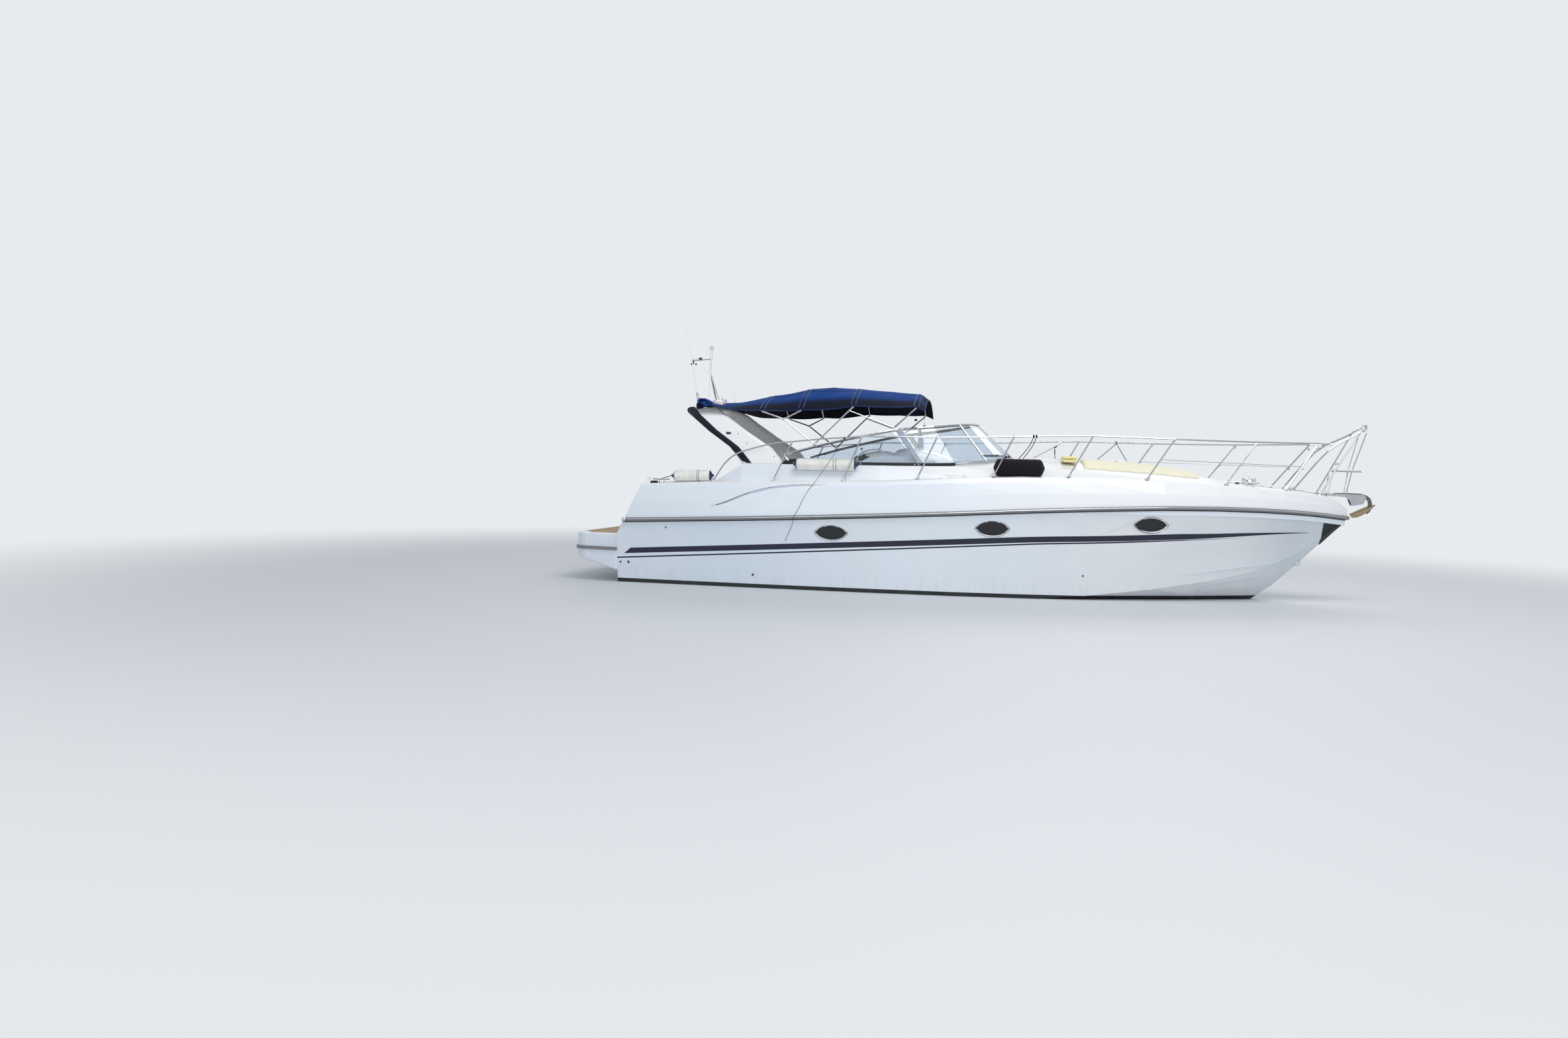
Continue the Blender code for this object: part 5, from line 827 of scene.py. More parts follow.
def make_cushions():
    """Sun pad, bench, lounge and helm seat."""
    low, high = box_of("aft_sunpad")
    cushion("aft_sunpad_cushion", low, high, VINYL, "engine_hatch", ["aft_sunpad"],
            spread(low.y, high.y, 4), 1)
    for name, node, axis in (("bench_seat", "aft_bench_cushion", 1),
                             ("lounge_seat", "port_lounge_cushion", 0)):
        low, high = box_of(node)
        cushion(name, low, high, VINYL, "boat", [node], spread(low[axis], high[axis], 3), axis)
    low, high = box_of("helm_seat_cushion")
    base_top = low.z + 0.118
    seat_aft = low.x + 0.13
    cushion("helm_seat", (seat_aft, low.y, low.z), (high.x, high.y, base_top), VINYL_WHITE, "boat", [],
            spread(low.y, high.y, 2), 1)
    cushion("helm_backrest", (low.x, low.y + 0.004, low.z + 0.03), (seat_aft + 0.012, high.y - 0.004, high.z),
            VINYL_WHITE, "boat", ["helm_seat_cushion"], (), 1, 0.010, 0.010, radius=0.05)


PAD_SEAMS_Y = (-0.27, 0.27)
PAD_SEAMS_X = (2.45, 3.05)
PAD_GROOVE = 0.018


def make_sun_pad():
    """Pad on the coachroof: three sewn panels that follow the deck, with a rolled edge."""
    low, high = box_of("foredeck_sunpad")
    tree = tree_of("foredeck_sunpad")
    nx, ny = 84, 56
    rows = []
    for i in range(nx + 1):
        x = low.x + 0.004 + (high.x - low.x - 0.008) * i / nx
        reach = 0.0
        for k in range(60):
            y = high.y * k / 59
            if tree.ray_cast(Vector((x, y, 4)), DOWN)[0] is not None:
                reach = y
        top_row, low_row = [], []
        for j in range(ny + 1):
            v = -1 + 2 * j / ny
            y = v * reach * 0.995
            hit = tree.ray_cast(Vector((x, y * 0.97, 4)), DOWN)[0]
            base = on_deck(x, y).z
            edge = min(i, nx - i) / nx * (high.x - low.x)
            side = (1 - abs(v)) * reach
            swell = min(1.0, (min(edge, side) / 0.05) ** 0.5) if min(edge, side) > 0 else 0.0
            thick = (hit.z - base) if hit else 0.05
            groove = sum(math.exp(-((y - line) / PAD_GROOVE) ** 2) for line in PAD_SEAMS_Y)
            groove += sum(math.exp(-((x - line) / PAD_GROOVE) ** 2) for line in PAD_SEAMS_X)
            height = thick * (0.45 + 0.52 * swell) - 0.016 * min(1.0, groove) * swell
            top_row.append(Vector((x, y, base + height)))
            low_row.append(Vector((x, y, base + 0.003)))
        rows.append(top_row + low_row[::-1])
    pad = Shape().grid(rows).done("foredeck_pad", PAD, slot="upholstery", smooth=75)
    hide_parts("foredeck_sunpad")


# Fenders and ropes

def fender(name, start, end, radius, node):
    """Ribbed inflated fender with navy ends and moulded rope eyes."""
    start, end = Vector(start), Vector(end)
    axis = (end - start).normalized()
    length = (end - start).length
    body = Shape().lathe(start + axis * 0.055, axis, [
        (radius * 0.86, 0.0), (radius * 0.97, 0.03), (radius, 0.07), (radius, length * 0.34),
        (radius * 0.985, length * 0.345),
        (radius, length * 0.35), (radius, length - 0.20), (radius * 0.97, length - 0.14),
        (radius * 0.86, length - 0.11)], 40)
    white = body.done(name, FENDER_WHITE, slot="fender_vinyl", smooth=50)
    ends = Shape()
    for place, way in ((start, axis), (end, -axis)):
        ends.lathe(place, way, [(0.016, 0.0), (0.022, 0.004), (0.026, 0.022), (radius * 0.52, 0.034),
                                (radius * 0.80, 0.047), (radius * 0.885, 0.060), (radius * 0.87, 0.063)], 40)
    for share in (0.62, 0.66):
        ends.lathe(start + axis * (length * share), axis, [(radius * 0.99, 0), (radius * 1.006, 0.002),
                                                           (radius * 1.006, 0.008), (radius * 0.99, 0.010)],
                   40)
    ends.done(name + "_ends", FENDER_NAVY, slot="fender_vinyl", smooth=50)
    if node:
        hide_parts(node)
    return white


def make_fenders():
    """The two fenders along the side and the covered one."""
    for node in ("fender_aft", "fender_mid"):
        low, high = box_of(node)
        radius = (high.y - low.y) / 2
        y = (low.y + high.y) / 2
        fender("side_" + node, (low.x, y, low.z + radius), (high.x, y, high.z - radius), radius * 0.98, node)
    low, high = box_of("fender_covered")
    radius = (high.z - low.z) / 2
    length = high.x - low.x
    centre = Vector((low.x, (low.y + high.y) / 2, (low.z + high.z) / 2))
    profile = []
    for i in range(49):
        t = i / 48
        end = min(t, 1 - t) * length
        r = radius * min(1.0, (1 - (1 - min(1.0, end / 0.085)) ** 2.4)) * 0.985
        profile.append((max(r, 0.012) + 0.0008 * math.sin(40 * t), t * length))
    cover = Shape().lathe(centre, (1, 0, 0), profile, 48)
    for end_x, way in ((low.x + 0.004, 1), (high.x - 0.004, -1)):
        cover.tube([Vector((end_x + way * 0.012, centre.y + 0.024 * math.cos(a),
                            centre.z + 0.024 * math.sin(a)))
                    for a in angles(20)], 0.006, 8, closed=True)
    knit = cover.done("fender_cover", KNIT, slot="fender_cover", smooth=60)
    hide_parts("fender_covered")


def knot(shape, centre, radius):
    """Two turns of rope round a tube that runs along the boat."""
    axis = Vector((1, 0, 0))
    side = axis.orthogonal().normalized()
    other = axis.cross(side)
    turns = []
    for i in range(33):
        a = 4 * math.pi * i / 32
        turns.append(Vector(centre) + axis * (-0.012 + 0.024 * i / 32)
                     + (side * math.cos(a) + other * math.sin(a)) * radius)
    shape.tube(turns, 0.0052, 8)


ROPE_R = 0.0055
RAIL_KNOT_X = (1.13, 1.17)
RAIL_KNOT_R = 0.019


def slack_line(name, path, radius=ROPE_R, sides=8):
    """Rope that hangs along a path from its exit."""
    rope = Shape().tube(path, radius, sides).done(name, ROPE)


def make_ropes():
    """Two ropes that tie the covered fender to the rail."""
    rail = tree_of("handrail_starboard")
    low, high = box_of("fender_covered")
    centre_y, top = (low.y + high.y) / 2, high.z
    knots = Shape()
    for n, (x, spot) in enumerate(zip(RAIL_KNOT_X, (low.x + 0.36, low.x + 0.42))):
        hit = rail.find_nearest(Vector((x, -1.62, 2.36)))[0]
        start = hit + Vector((0, 0.004, -0.006))
        end = Vector((spot, centre_y, top + 0.004))
        path = smooth_path([start, start.lerp(end, 0.3) + Vector((0.012, 0.006, -0.02)),
                            start.lerp(end, 0.7) + Vector((0.008, 0.004, -0.012)), end], 8)
        slack_line("fender_rope_%d" % n, path)
        knot(knots, hit.lerp(Vector((x, hit.y + 0.012, hit.z)), 0.6), RAIL_KNOT_R)
    knots.done("rail_knots", ROPE)


# Hull trim

# Rub rail line. Columns: x, half-breadth, z
RAIL_LINE = (
    (-4.98, 1.68, 0.970), (-4.20, 1.74, 1.005), (-3.20, 1.80, 1.050), (-2.20, 1.84, 1.100),
    (-1.10, 1.85, 1.160),
    (0.00, 1.85, 1.225), (1.00, 1.80, 1.290), (2.00, 1.69, 1.345), (3.00, 1.49, 1.385), (3.80, 1.23, 1.395),
    (4.40, 0.96, 1.385), (4.80, 0.75, 1.370), (5.15, 0.53, 1.350), (5.45, 0.32, 1.325), (5.68, 0.15, 1.300),
    (5.80, 0.07, 1.288),
)
# Deck edge. Columns: x, half-breadth, z
DECK_EDGE = (
    (-4.98, 1.60, 1.52), (-4.20, 1.63, 1.54), (-3.60, 1.66, 1.58), (-3.20, 1.67, 1.60), (-2.95, 1.68, 1.61),
    (-2.20, 1.69, 1.62), (-1.10, 1.70, 1.66), (0.00, 1.69, 1.730), (1.00, 1.63, 1.775), (2.00, 1.52, 1.785),
    (3.00, 1.31, 1.775), (3.80, 1.06, 1.740), (4.10, 0.94, 1.725), (4.40, 0.82, 1.708), (4.80, 0.64, 1.682),
    (5.15, 0.43, 1.650), (5.45, 0.25, 1.605),
)
RUB_DEPTH = 0.030
RUB_HALF = 0.028
FLANGE_X = (1.6, 3.0)
FLANGE_DEPTH = 0.070


def between(table, index, x):
    return float(np.interp(x, [row[0] for row in table], [row[index] for row in table]))


def rail_run(low_x, high_x, side, count=90):
    """Points and outward plan normals along the rub rail."""
    out = []
    for x in np.linspace(low_x, high_x, count):
        slope = (between(RAIL_LINE, 1, x + 0.02) - between(RAIL_LINE, 1, x - 0.02)) / 0.04
        point = Vector((x, side * between(RAIL_LINE, 1, x), between(RAIL_LINE, 2, x)))
        out.append((point, Vector((-slope, side, 0)).normalized()))
    return out


def band(shape, run, profile_at):
    """Closed band along a run; the profile gives (out, up) pairs at each share of its length."""
    rows = []
    for i, (point, normal) in enumerate(run):
        rows.append([point + normal * u + rise(v) for u, v in profile_at(i / (len(run) - 1))])
    shape.grid(rows)


def make_rub_trim():
    """Steel bead, black lip and end caps of the rub rail, and the white flange at the bow."""
    bead, lip, flange, caps = shapes(4)
    half_round = [(RUB_DEPTH - 0.001 + 0.010 * math.cos(t), 0.004 + 0.011 * math.sin(t))
                  for t in np.linspace(-math.pi / 2, math.pi / 2, 9)]
    lower = [(0.002, -RUB_HALF), (0.023, -RUB_HALF), (0.023, -RUB_HALF - 0.010), (0.016, -RUB_HALF - 0.014),
             (0.002, -RUB_HALF - 0.012)]
    for side, _ in SIDES:
        run = rail_run(-4.975, 5.79, side)
        band(bead, run, lambda t: half_round)
        band(lip, run, lambda t: lower)
        run = rail_run(FLANGE_X[0], 5.795, side, 60)

        def ledge(t):
            x = FLANGE_X[0] + t * (5.795 - FLANGE_X[0])
            grown = min(1.0, max(0.0, (x - FLANGE_X[0]) / (FLANGE_X[1] - FLANGE_X[0])))
            depth = 0.004 + FLANGE_DEPTH * grown
            edge = 0.003 + 0.010 * grown
            inner = -min(0.06, between(RAIL_LINE, 1, x) * 0.6)
            top = -RUB_HALF - 0.012
            return [(inner, top), (edge, top), (edge, top - depth + 0.004), (edge - 0.004, top - depth),
                    (inner, top - depth)]
        band(flange, run, ledge)
        start, normal = rail_run(-4.98, -4.9, side, 2)[0]
        caps.box(start + Vector((-0.010, min(0, side * 0.043), -0.034)),
                 start + Vector((0.035, max(0, side * 0.043), 0.034)))
        for x in np.arange(-4.6, 5.6, 0.30):
            point, normal = rail_run(x, x + 0.1, side, 2)[0]
            caps.lathe(point + normal * (RUB_DEPTH + 0.0085) + rise(0.004), normal,
                       [(0.0045, 0), (0.004, 0.0012), (0.0015, 0.0016)], 10)
    bead.done("rub_rail_bead", STEEL)
    lip.done("rub_rail_lip", BLACK)
    flange.done("bow_flange", SHADED_HULL_WHITE)
    caps.done("rub_rail_caps", STEEL, bevel=0.004)


PORTHOLES = ((-1.76, 0.88), (0.58, 1.02), (2.83, 1.13))
PORTHOLE_HALF = (0.235, 0.1075)
PATCH = (0.32, 0.15)
OVAL_POINTS = 72


def oval(expand):
    """Pointed oval outline as (u, v) pairs."""
    half_l, half_h = PORTHOLE_HALF[0] + expand, PORTHOLE_HALF[1] + expand
    points = []
    for a in angles(OVAL_POINTS):
        u = half_l * math.cos(a)
        v = math.copysign(half_h * max(0.0, 1 - (u / half_l) ** 2) ** 0.72, math.sin(a))
        points.append((u, v))
    return points


def make_porthole_trim():
    """Rim, gasket, screws and hinges of each porthole."""
    rim, gasket, screws = shapes(3)
    for x, z in PORTHOLES:
        for side, _ in SIDES:
            corners = [side_hit("hull", x + du * PATCH[0], z + dv * PATCH[1], side)[0]
                       for du, dv in product((-1, 1), repeat=2)]

            def skin(u, v):
                s, t = (u + PATCH[0]) / (2 * PATCH[0]), (v + PATCH[1]) / (2 * PATCH[1])
                y = ((corners[0].y * (1 - t) + corners[1].y * t) * (1 - s)
                     + (corners[2].y * (1 - t) + corners[3].y * t) * s)
                return Vector((x + u, y, z + v))
            centre = skin(0, 0)
            normal = (skin(0.1, 0) - centre).cross(skin(0, 0.1) - centre).normalized()
            normal = normal if normal.y * side > 0 else -normal
            bow_out = side_hit("hull", x + 0.28, z, side)[0].y - skin(0.28, 0).y
            lift = normal * abs(bow_out)

            def ring(expand, height):
                return [skin(u, v) + lift + normal * height for u, v in oval(expand)]
            loops = [ring(e, h)
                     for e, h in ((0.020, -0.004), (0.019, 0.003), (0.015, 0.0055), (0.004, 0.0055),
                                  (0.0005, 0.003), (-0.003, -0.008), (0.010, -0.008))]
            rim.grid([list(points) for points in zip(*loops)], closed=True)
            loops = [ring(e, h) for e, h in ((-0.002, -0.004), (-0.012, -0.006), (-0.013, -0.0115),
                                             (-0.002, -0.0115))]
            gasket.grid([list(points) for points in zip(*loops)], closed=True)
            for i in range(10):
                u, v = oval(0.0098)[round(i * OVAL_POINTS / 10) % OVAL_POINTS]
                screws.lathe(skin(u, v) + lift + normal * 0.0055, normal,
                             [(0.0042, 0), (0.0036, 0.0012), (0.001, 0.0016)], 10)
            for u in (-0.09, 0.09):
                top = [p for p in oval(-0.004) if p[1] > 0]
                v = float(np.interp(u, sorted(p[0] for p in top), [p[1] for p in sorted(top)]))
                screws.lathe(skin(u - 0.016, v) + lift + normal * 0.001, skin(u + 0.02, v) - skin(u, v),
                             [(0.005, 0), (0.0055, 0.001), (0.0055, 0.031), (0.005, 0.032)], 12)
    rim.done("porthole_rims", STEEL, slot="stainless", smooth=45)
    gasket.done("porthole_gaskets", BLACK, slot="black_rim")
    screws.done("porthole_hardware", BRUSHED)


# Spray rails. Columns: x, z at the aft end; x, z at the fore end
SPRAY_RAILS = ((3.30, 0.395, 4.98, 0.620), (3.55, 0.215, 4.66, 0.345))
# Skin fittings. Columns: x, z, radius
SKIN_FITTINGS = ((-5.045, 0.31, 0.020), (-4.915, 0.315, 0.024), (-4.30, 0.87, 0.015), (-2.95, 0.20, 0.022),
                 (1.9, 0.36, 0.018))


# Upper edge of the sculpted hollow in the topsides. Columns: x, z
HOLLOW_EDGE = ((-3.60, 1.214), (-3.38, 1.290), (-3.05, 1.429), (-2.71, 1.523), (-2.38, 1.569), (-2.10, 1.583))


def make_hollow_edge():
    """Dark strip of painted shadow along the upper edge of the topsides' hollow, thinning out forward."""
    seal = Shape()
    for side, _ in SIDES:
        rows = []
        path = smooth_path([(x, 0, z) for x, z in HOLLOW_EDGE], 6)
        for i, p in enumerate(path):
            hit, _ = side_hit("deck", p.x, p.z + 0.004, side)
            wide = 0.0075 * (1 - 0.75 * i / (len(path) - 1))
            rows.append([hit + Vector((0, 0.003 * math.sin(a), wide * math.cos(a) - wide))
                         for a in angles(6)])
        seal.grid(rows)
    seal.done("hollow_painted_shadow", SHADOW_GREY, smooth=60)


def make_hull_fittings():
    """Spray rails, skin fittings and the towing eye."""
    strakes, fittings, holes = shapes(3)
    for side, _ in SIDES:
        for x0, z0, x1, z1 in SPRAY_RAILS:
            rows = []
            for t in np.linspace(0, 1, 36):
                hit, _ = side_hit("hull", x0 + (x1 - x0) * t, z0 + (z1 - z0) * t, side)
                if hit is None:
                    continue
                full = min(1.0, 0.05 + t * 3, 0.05 + (1 - t) * 6)
                out = Vector((0, side, 0))
                rows.append([hit - out * 0.02 + rise(0.020 * full), hit + out * 0.004 + rise(0.016 * full),
                             hit + out * 0.026 * full, hit + out * 0.024 * full - rise(0.006 * full),
                             hit - out * 0.03 - rise(0.008 * full)])
            strakes.grid(rows)
        for x, z, r in SKIN_FITTINGS:
            hit, normal = side_hit("hull", x, z, side)
            fittings.lathe(hit - normal * 0.002, normal,
                           [(r, 0), (r, 0.004), (r * 0.9, 0.007), (r * 0.62, 0.007),
                            (r * 0.55, 0.003), (r * 0.54, 0.0025)], 24)
            holes.lathe(hit, normal, [(r * 0.58, 0), (r * 0.58, 0.0045), (r * 0.3, 0.0035)], 20)
    strakes.done("spray_rails", SHADED_HULL_WHITE)
    eye = [Vector((5.165 + 0.040 * math.sin(a), 0, 0.575 + 0.034 * math.cos(a)))
           for a in np.linspace(-0.5, math.pi + 0.6, 16)]
    fittings.tube(eye, 0.0065, 10)
    for z in (0.545, 0.612):
        fittings.lathe((5.13 + (z - 0.55), 0, z), (1, 0, -0.9),
                       [(0.018, 0), (0.018, 0.010), (0.012, 0.014)], 16)
    fittings.done("hull_fittings", STEEL)
    holes.done("hull_fitting_holes", BLACK)


# Windscreen base and top lines on one side. Columns: x, y, top x, top y, top z
SCREEN_LINE = (
    (-2.47, 1.362, -2.57, 1.335, 2.015), (-2.14, 1.362, -2.10, 1.285, 2.160),
    (-1.60, 1.360, -1.50, 1.235, 2.310),
    (-1.00, 1.350, -1.05, 1.180, 2.410), (-0.51, 1.300, -0.87, 1.140, 2.440),
    (0.00, 1.180, -0.35, 0.960, 2.500),
    (0.46, 0.860, 0.03, 0.600, 2.550), (0.76, 0.430, 0.24, 0.300, 2.572), (0.86, 0.000, 0.31, 0.000, 2.580),
)
BASE_TUBE_R = 0.018
PILLAR_TOP = (-0.87, 1.140, 2.440)


def screen_line(side):
    """Smooth base and top lines of the screen on one side, from aft to the centre."""
    base = smooth_path([(x, side * y, 0) for x, y, _, _, _ in SCREEN_LINE], 6)
    top = smooth_path([(x, side * y, z) for _, _, x, y, z in SCREEN_LINE], 6)
    lifted = []
    for p in base:
        high = max(on_deck(p.x + dx, p.y + dy).z for dx in (-0.016, 0, 0.016) for dy in (-0.016, 0, 0.016))
        lifted.append(Vector((p.x, p.y, high + BASE_TUBE_R - 0.002)))
    return lifted, top


def make_screen_trim():
    """Base trim, vents, pillars, gaskets and fixings of the windscreen."""
    band_black, buttons, pillars, rubber, insert = shapes(5)
    profile = [(-0.021, -0.014), (-0.023, 0.012), (-0.014, 0.027), (0.016, 0.027), (0.025, 0.016),
               (0.026, -0.014)]
    lines = {side: screen_line(side) for side, _ in SIDES}
    for side, (base, top) in lines.items():
        dark = [p for p in base if p.x < 0.05]
        outward = [(side * -u, v) for u, v in profile]
        band_black.sweep(dark, outward if side < 0 else [(u, v) for u, v in reversed(outward)], UP)
        wedge = []
        for t in np.linspace(0, 1, 14):
            x = -2.62 + 0.50 * t
            z = on_deck(x, side * 1.362).z
            h = 0.012 + 0.085 * math.sin(math.pi * min(1, t * 1.1)) ** 0.8 * (1 - 0.35 * t)
            wedge.append([Vector((x, side * 1.355, z - 0.01)), Vector((x, side * 1.384, z - 0.01)),
                          Vector((x, side * 1.378, z + h * 0.7)), Vector((x, side * 1.350, z + h))])
        band_black.grid(wedge)
        z = on_deck(-2.30, side * 1.385).z
        insert.box((-2.36, min(side * 1.384, side * 1.389), z + 0.012),
                   (-2.19, max(side * 1.384, side * 1.389), z + 0.058))
        for x in (-2.40, -1.45, -0.62):
            spot = min(base, key=lambda p: abs(p.x - x))
            buttons.lathe(spot + Vector((0, side * 0.0255, 0.004)), (0, side, 0.1),
                          [(0.011, 0), (0.010, 0.003), (0.004, 0.005)], 16)
        low = min(base, key=lambda p: abs(p.x + 0.51))
        high = Vector((PILLAR_TOP[0], side * PILLAR_TOP[1], PILLAR_TOP[2]))
        along = (high - low).normalized()
        flat = along.cross(Vector((0.55, side, 0.25))).normalized()
        thick = flat.cross(along).normalized() * (-1 if flat.cross(along).y * side < 0 else 1)
        rows = []
        for t in np.linspace(0.0, 1.0, 12):
            p = low.lerp(high, t) + thick * 0.013
            w = 0.046 - 0.006 * math.sin(math.pi * t)
            rows.append([p - flat * w, p - flat * (w - 0.004) + thick * 0.007,
                         p + flat * (w - 0.004) + thick * 0.007,
                         p + flat * w, p + flat * (w - 0.006) - thick * 0.005,
                         p - flat * (w - 0.006) - thick * 0.005])
        pillars.grid(rows)
        for t in (0.08, 0.30, 0.52, 0.74, 0.93):
            p = low.lerp(high, t) + thick * 0.020
            buttons.lathe(p, thick, [(0.006, 0), (0.005, 0.002), (0.002, 0.003)], 12)
        for points, lift in ((top, -0.021), (base, 0.024)):
            rubber.tube([p + rise(lift) for p in points[3:-1]], 0.0052, 6)
    band_black.done("screen_base_trim", BLACK, slot="black_rim", smooth=40)
    insert.done("screen_vent_panels", MOULDING, bevel=0.002)
    buttons.done("screen_fixings", STEEL)
    pillars.done("screen_pillars", PILLAR, smooth=30)
    rubber.done("screen_gaskets", BLACK, slot="black_rim")
    make_wipers(lines)


# Wipers. Columns: y of the pivot, y of the tip
WIPERS = ((-0.30, 0.12), (0.42, 0.80), (-0.42, -0.80))


def make_wipers(lines):
    """Arms and blades that lie on the screen; lines holds its base and top line for each side."""
    wipers = Shape()

    def on_screen(y, t):
        pts, tops = lines[-1 if y < 0 else 1]
        k = min(range(len(pts)), key=lambda i: abs(abs(pts[i].y) - abs(y)) + (10 if pts[i].x < 0 else 0))
        low, high = pts[k], tops[k]
        span = high - low
        out = Vector((span.z, (-0.35 if y < 0 else 0.35) * span.z, -span.x)).normalized()
        return low + span * t + out * 0.020

    for base_y, tip_y in WIPERS:
        start = on_screen(base_y, 0.06)
        end = on_screen(tip_y, 0.16)
        wipers.lathe(start - rise(0.02), (0.6, 0, 0.8),
                     [(0.018, 0), (0.018, 0.022), (0.011, 0.030), (0.011, 0.038)], 18)
        mid = start.lerp(end, 0.5) + Vector((0.006, 0, 0.002))
        arm = smooth_path([start + Vector((0.012, 0, 0.016)), mid + Vector((0.008, 0, 0.004)), end], 6)
        wipers.sweep(arm, [(-0.006, -0.003), (0.006, -0.003), (0.006, 0.003), (-0.006, 0.003)], (0.7, 0, 0.7))
        blade = [on_screen(tip_y, 0.16).lerp(on_screen(base_y, 0.12), t) for t in np.linspace(-0.25, 0.7, 16)]
        wipers.sweep(blade, [(-0.005, -0.008), (0.005, -0.008), (0.003, 0.006),
                             (-0.003, 0.006)], (0.7, 0, 0.7))
    wipers.done("screen_wipers", BLACK, slot="black_rim")


# Arch path on one side. Columns: x, y, z, chord, thickness
ARCH_PATH = (
    (-2.88, 1.310, 1.880, 0.66, 0.12), (-3.09, 1.315, 2.120, 0.65, 0.12), (-3.46, 1.270, 2.360, 0.61, 0.11),
    (-3.75, 1.190, 2.570, 0.56, 0.11), (-3.90, 1.060, 2.680, 0.54, 0.11), (-3.95, 0.800, 2.720, 0.53, 0.10),
    (-3.96, 0.400, 2.735, 0.53, 0.10), (-3.96, 0.000, 2.740, 0.53, 0.10),
)
ARCH_FOOT_HALF = (0.335, 0.064)


def arch_ring(row, side, profile):
    """Section round the arch at one path row, from (share of chord, share of thickness, lift)."""
    x, y, z, chord, thick = row
    i = ARCH_PATH.index(row)
    before = ARCH_PATH[max(i - 1, 0)]
    after = ARCH_PATH[min(i + 1, len(ARCH_PATH) - 1)]
    along = Vector((0, after[1] - before[1], after[2] - before[2])).normalized()
    if i == 0:
        along = rise(1)
    across = Vector((1, 0, 0)).cross(along).normalized()
    out = []
    for u, v, lift in profile:
        p = Vector((x + u * chord, y, z)) + across * (v * thick + math.copysign(lift, v if v else 1))
        out.append(Vector((p.x, side * p.y, p.z)))
    return out


def make_arch_trim():
    """Navy edge, side panels and small fittings of the radar arch."""
    navy, panel, bits, seam = shapes(4)
    wrap = [(-0.508, 0.10, 0.001), (-0.478, 0.36, 0.002), (-0.385, 0.53, 0.002), (-0.28, 0.53, 0.002),
            (-0.28, 0.45, 0),
            (-0.385, 0.44, 0), (-0.385, -0.44, 0), (-0.28, -0.45, 0), (-0.28, -0.53, 0.002),
            (-0.385, -0.53, 0.002),
            (-0.478, -0.36, 0.002), (-0.508, -0.10, 0.001)]
    for side, _ in SIDES:
        rows = [arch_ring(row, side, wrap) for row in ARCH_PATH[:5]]
        fine = []
        for a, b in zip(rows, rows[1:]):
            fine += [[p.lerp(q, t) for p, q in zip(a, b)] for t in np.linspace(0, 1, 5)[:-1]]
        navy.grid(fine + [rows[-1]])
        face = [(-0.20, 0.50, 0.002), (0.10, 0.50, 0.002), (0.10, 0.49, 0), (-0.20, 0.49, 0)]
        taper = (0.0, 0.6, 1.0, 0.8)
        rows = []
        for row, full in zip(ARCH_PATH[:4], taper):
            drawn_in = [(-0.05 + (u + 0.05) * (0.35 + 0.65 * full), v, lift) for u, v, lift in face]
            rows.append(arch_ring(row, side, drawn_in))
        panel.grid([[p.lerp(q, 0.5) for p, q in zip(rows[0], rows[1])]] + rows[1:])
        for x, z, r in ((-3.42, 2.33, 0.016), (-3.30, 2.325, 0.007), (-3.33, 2.50, 0.007),
                        (-3.15, 2.18, 0.007), (-2.72, 1.99, 0.007)):
            hit, normal, _, _ = TREES["radar_arch"].ray_cast(Vector((x, side * 3, z)), Vector((0, -side, 0)))
            if hit is None:
                continue
            normal = normal if normal.y * side > 0 else -normal
            bits.lathe(hit, normal, [(r, 0), (r, 0.006), (r * 0.8, 0.009), (r * 0.3, 0.0095)], 18)
        hit, _, _, _ = TREES["radar_arch"].ray_cast(Vector((-3.45, side * 3, 2.33)), Vector((0, -side, 0)))
        if hit is not None:
            bits.box((hit.x - 0.03, hit.y - 0.006, hit.z - 0.018),
                     (hit.x + 0.015, hit.y + 0.010, hit.z + 0.018))
        foot = []
        for t in np.linspace(0, 2 * math.pi, 49)[:-1]:
            x = ARCH_PATH[0][0] + ARCH_FOOT_HALF[0] * squared(math.cos(t), 0.6)
            y = side * ARCH_PATH[0][1] + ARCH_FOOT_HALF[1] * squared(math.sin(t), 0.6)
            foot.append(on_deck(x, y) + rise(0.003))
        seam.tube(foot, 0.006, 6, closed=True)
    navy.done("arch_edge_trim", TRIM_NAVY, smooth=50)
    panel.done("arch_side_panels", MOULDING, smooth=50)
    bits.done("arch_fittings", BLACK)
    seam.done("arch_foot_seam", RUBBER_WHITE)


MAST_X = -4.06


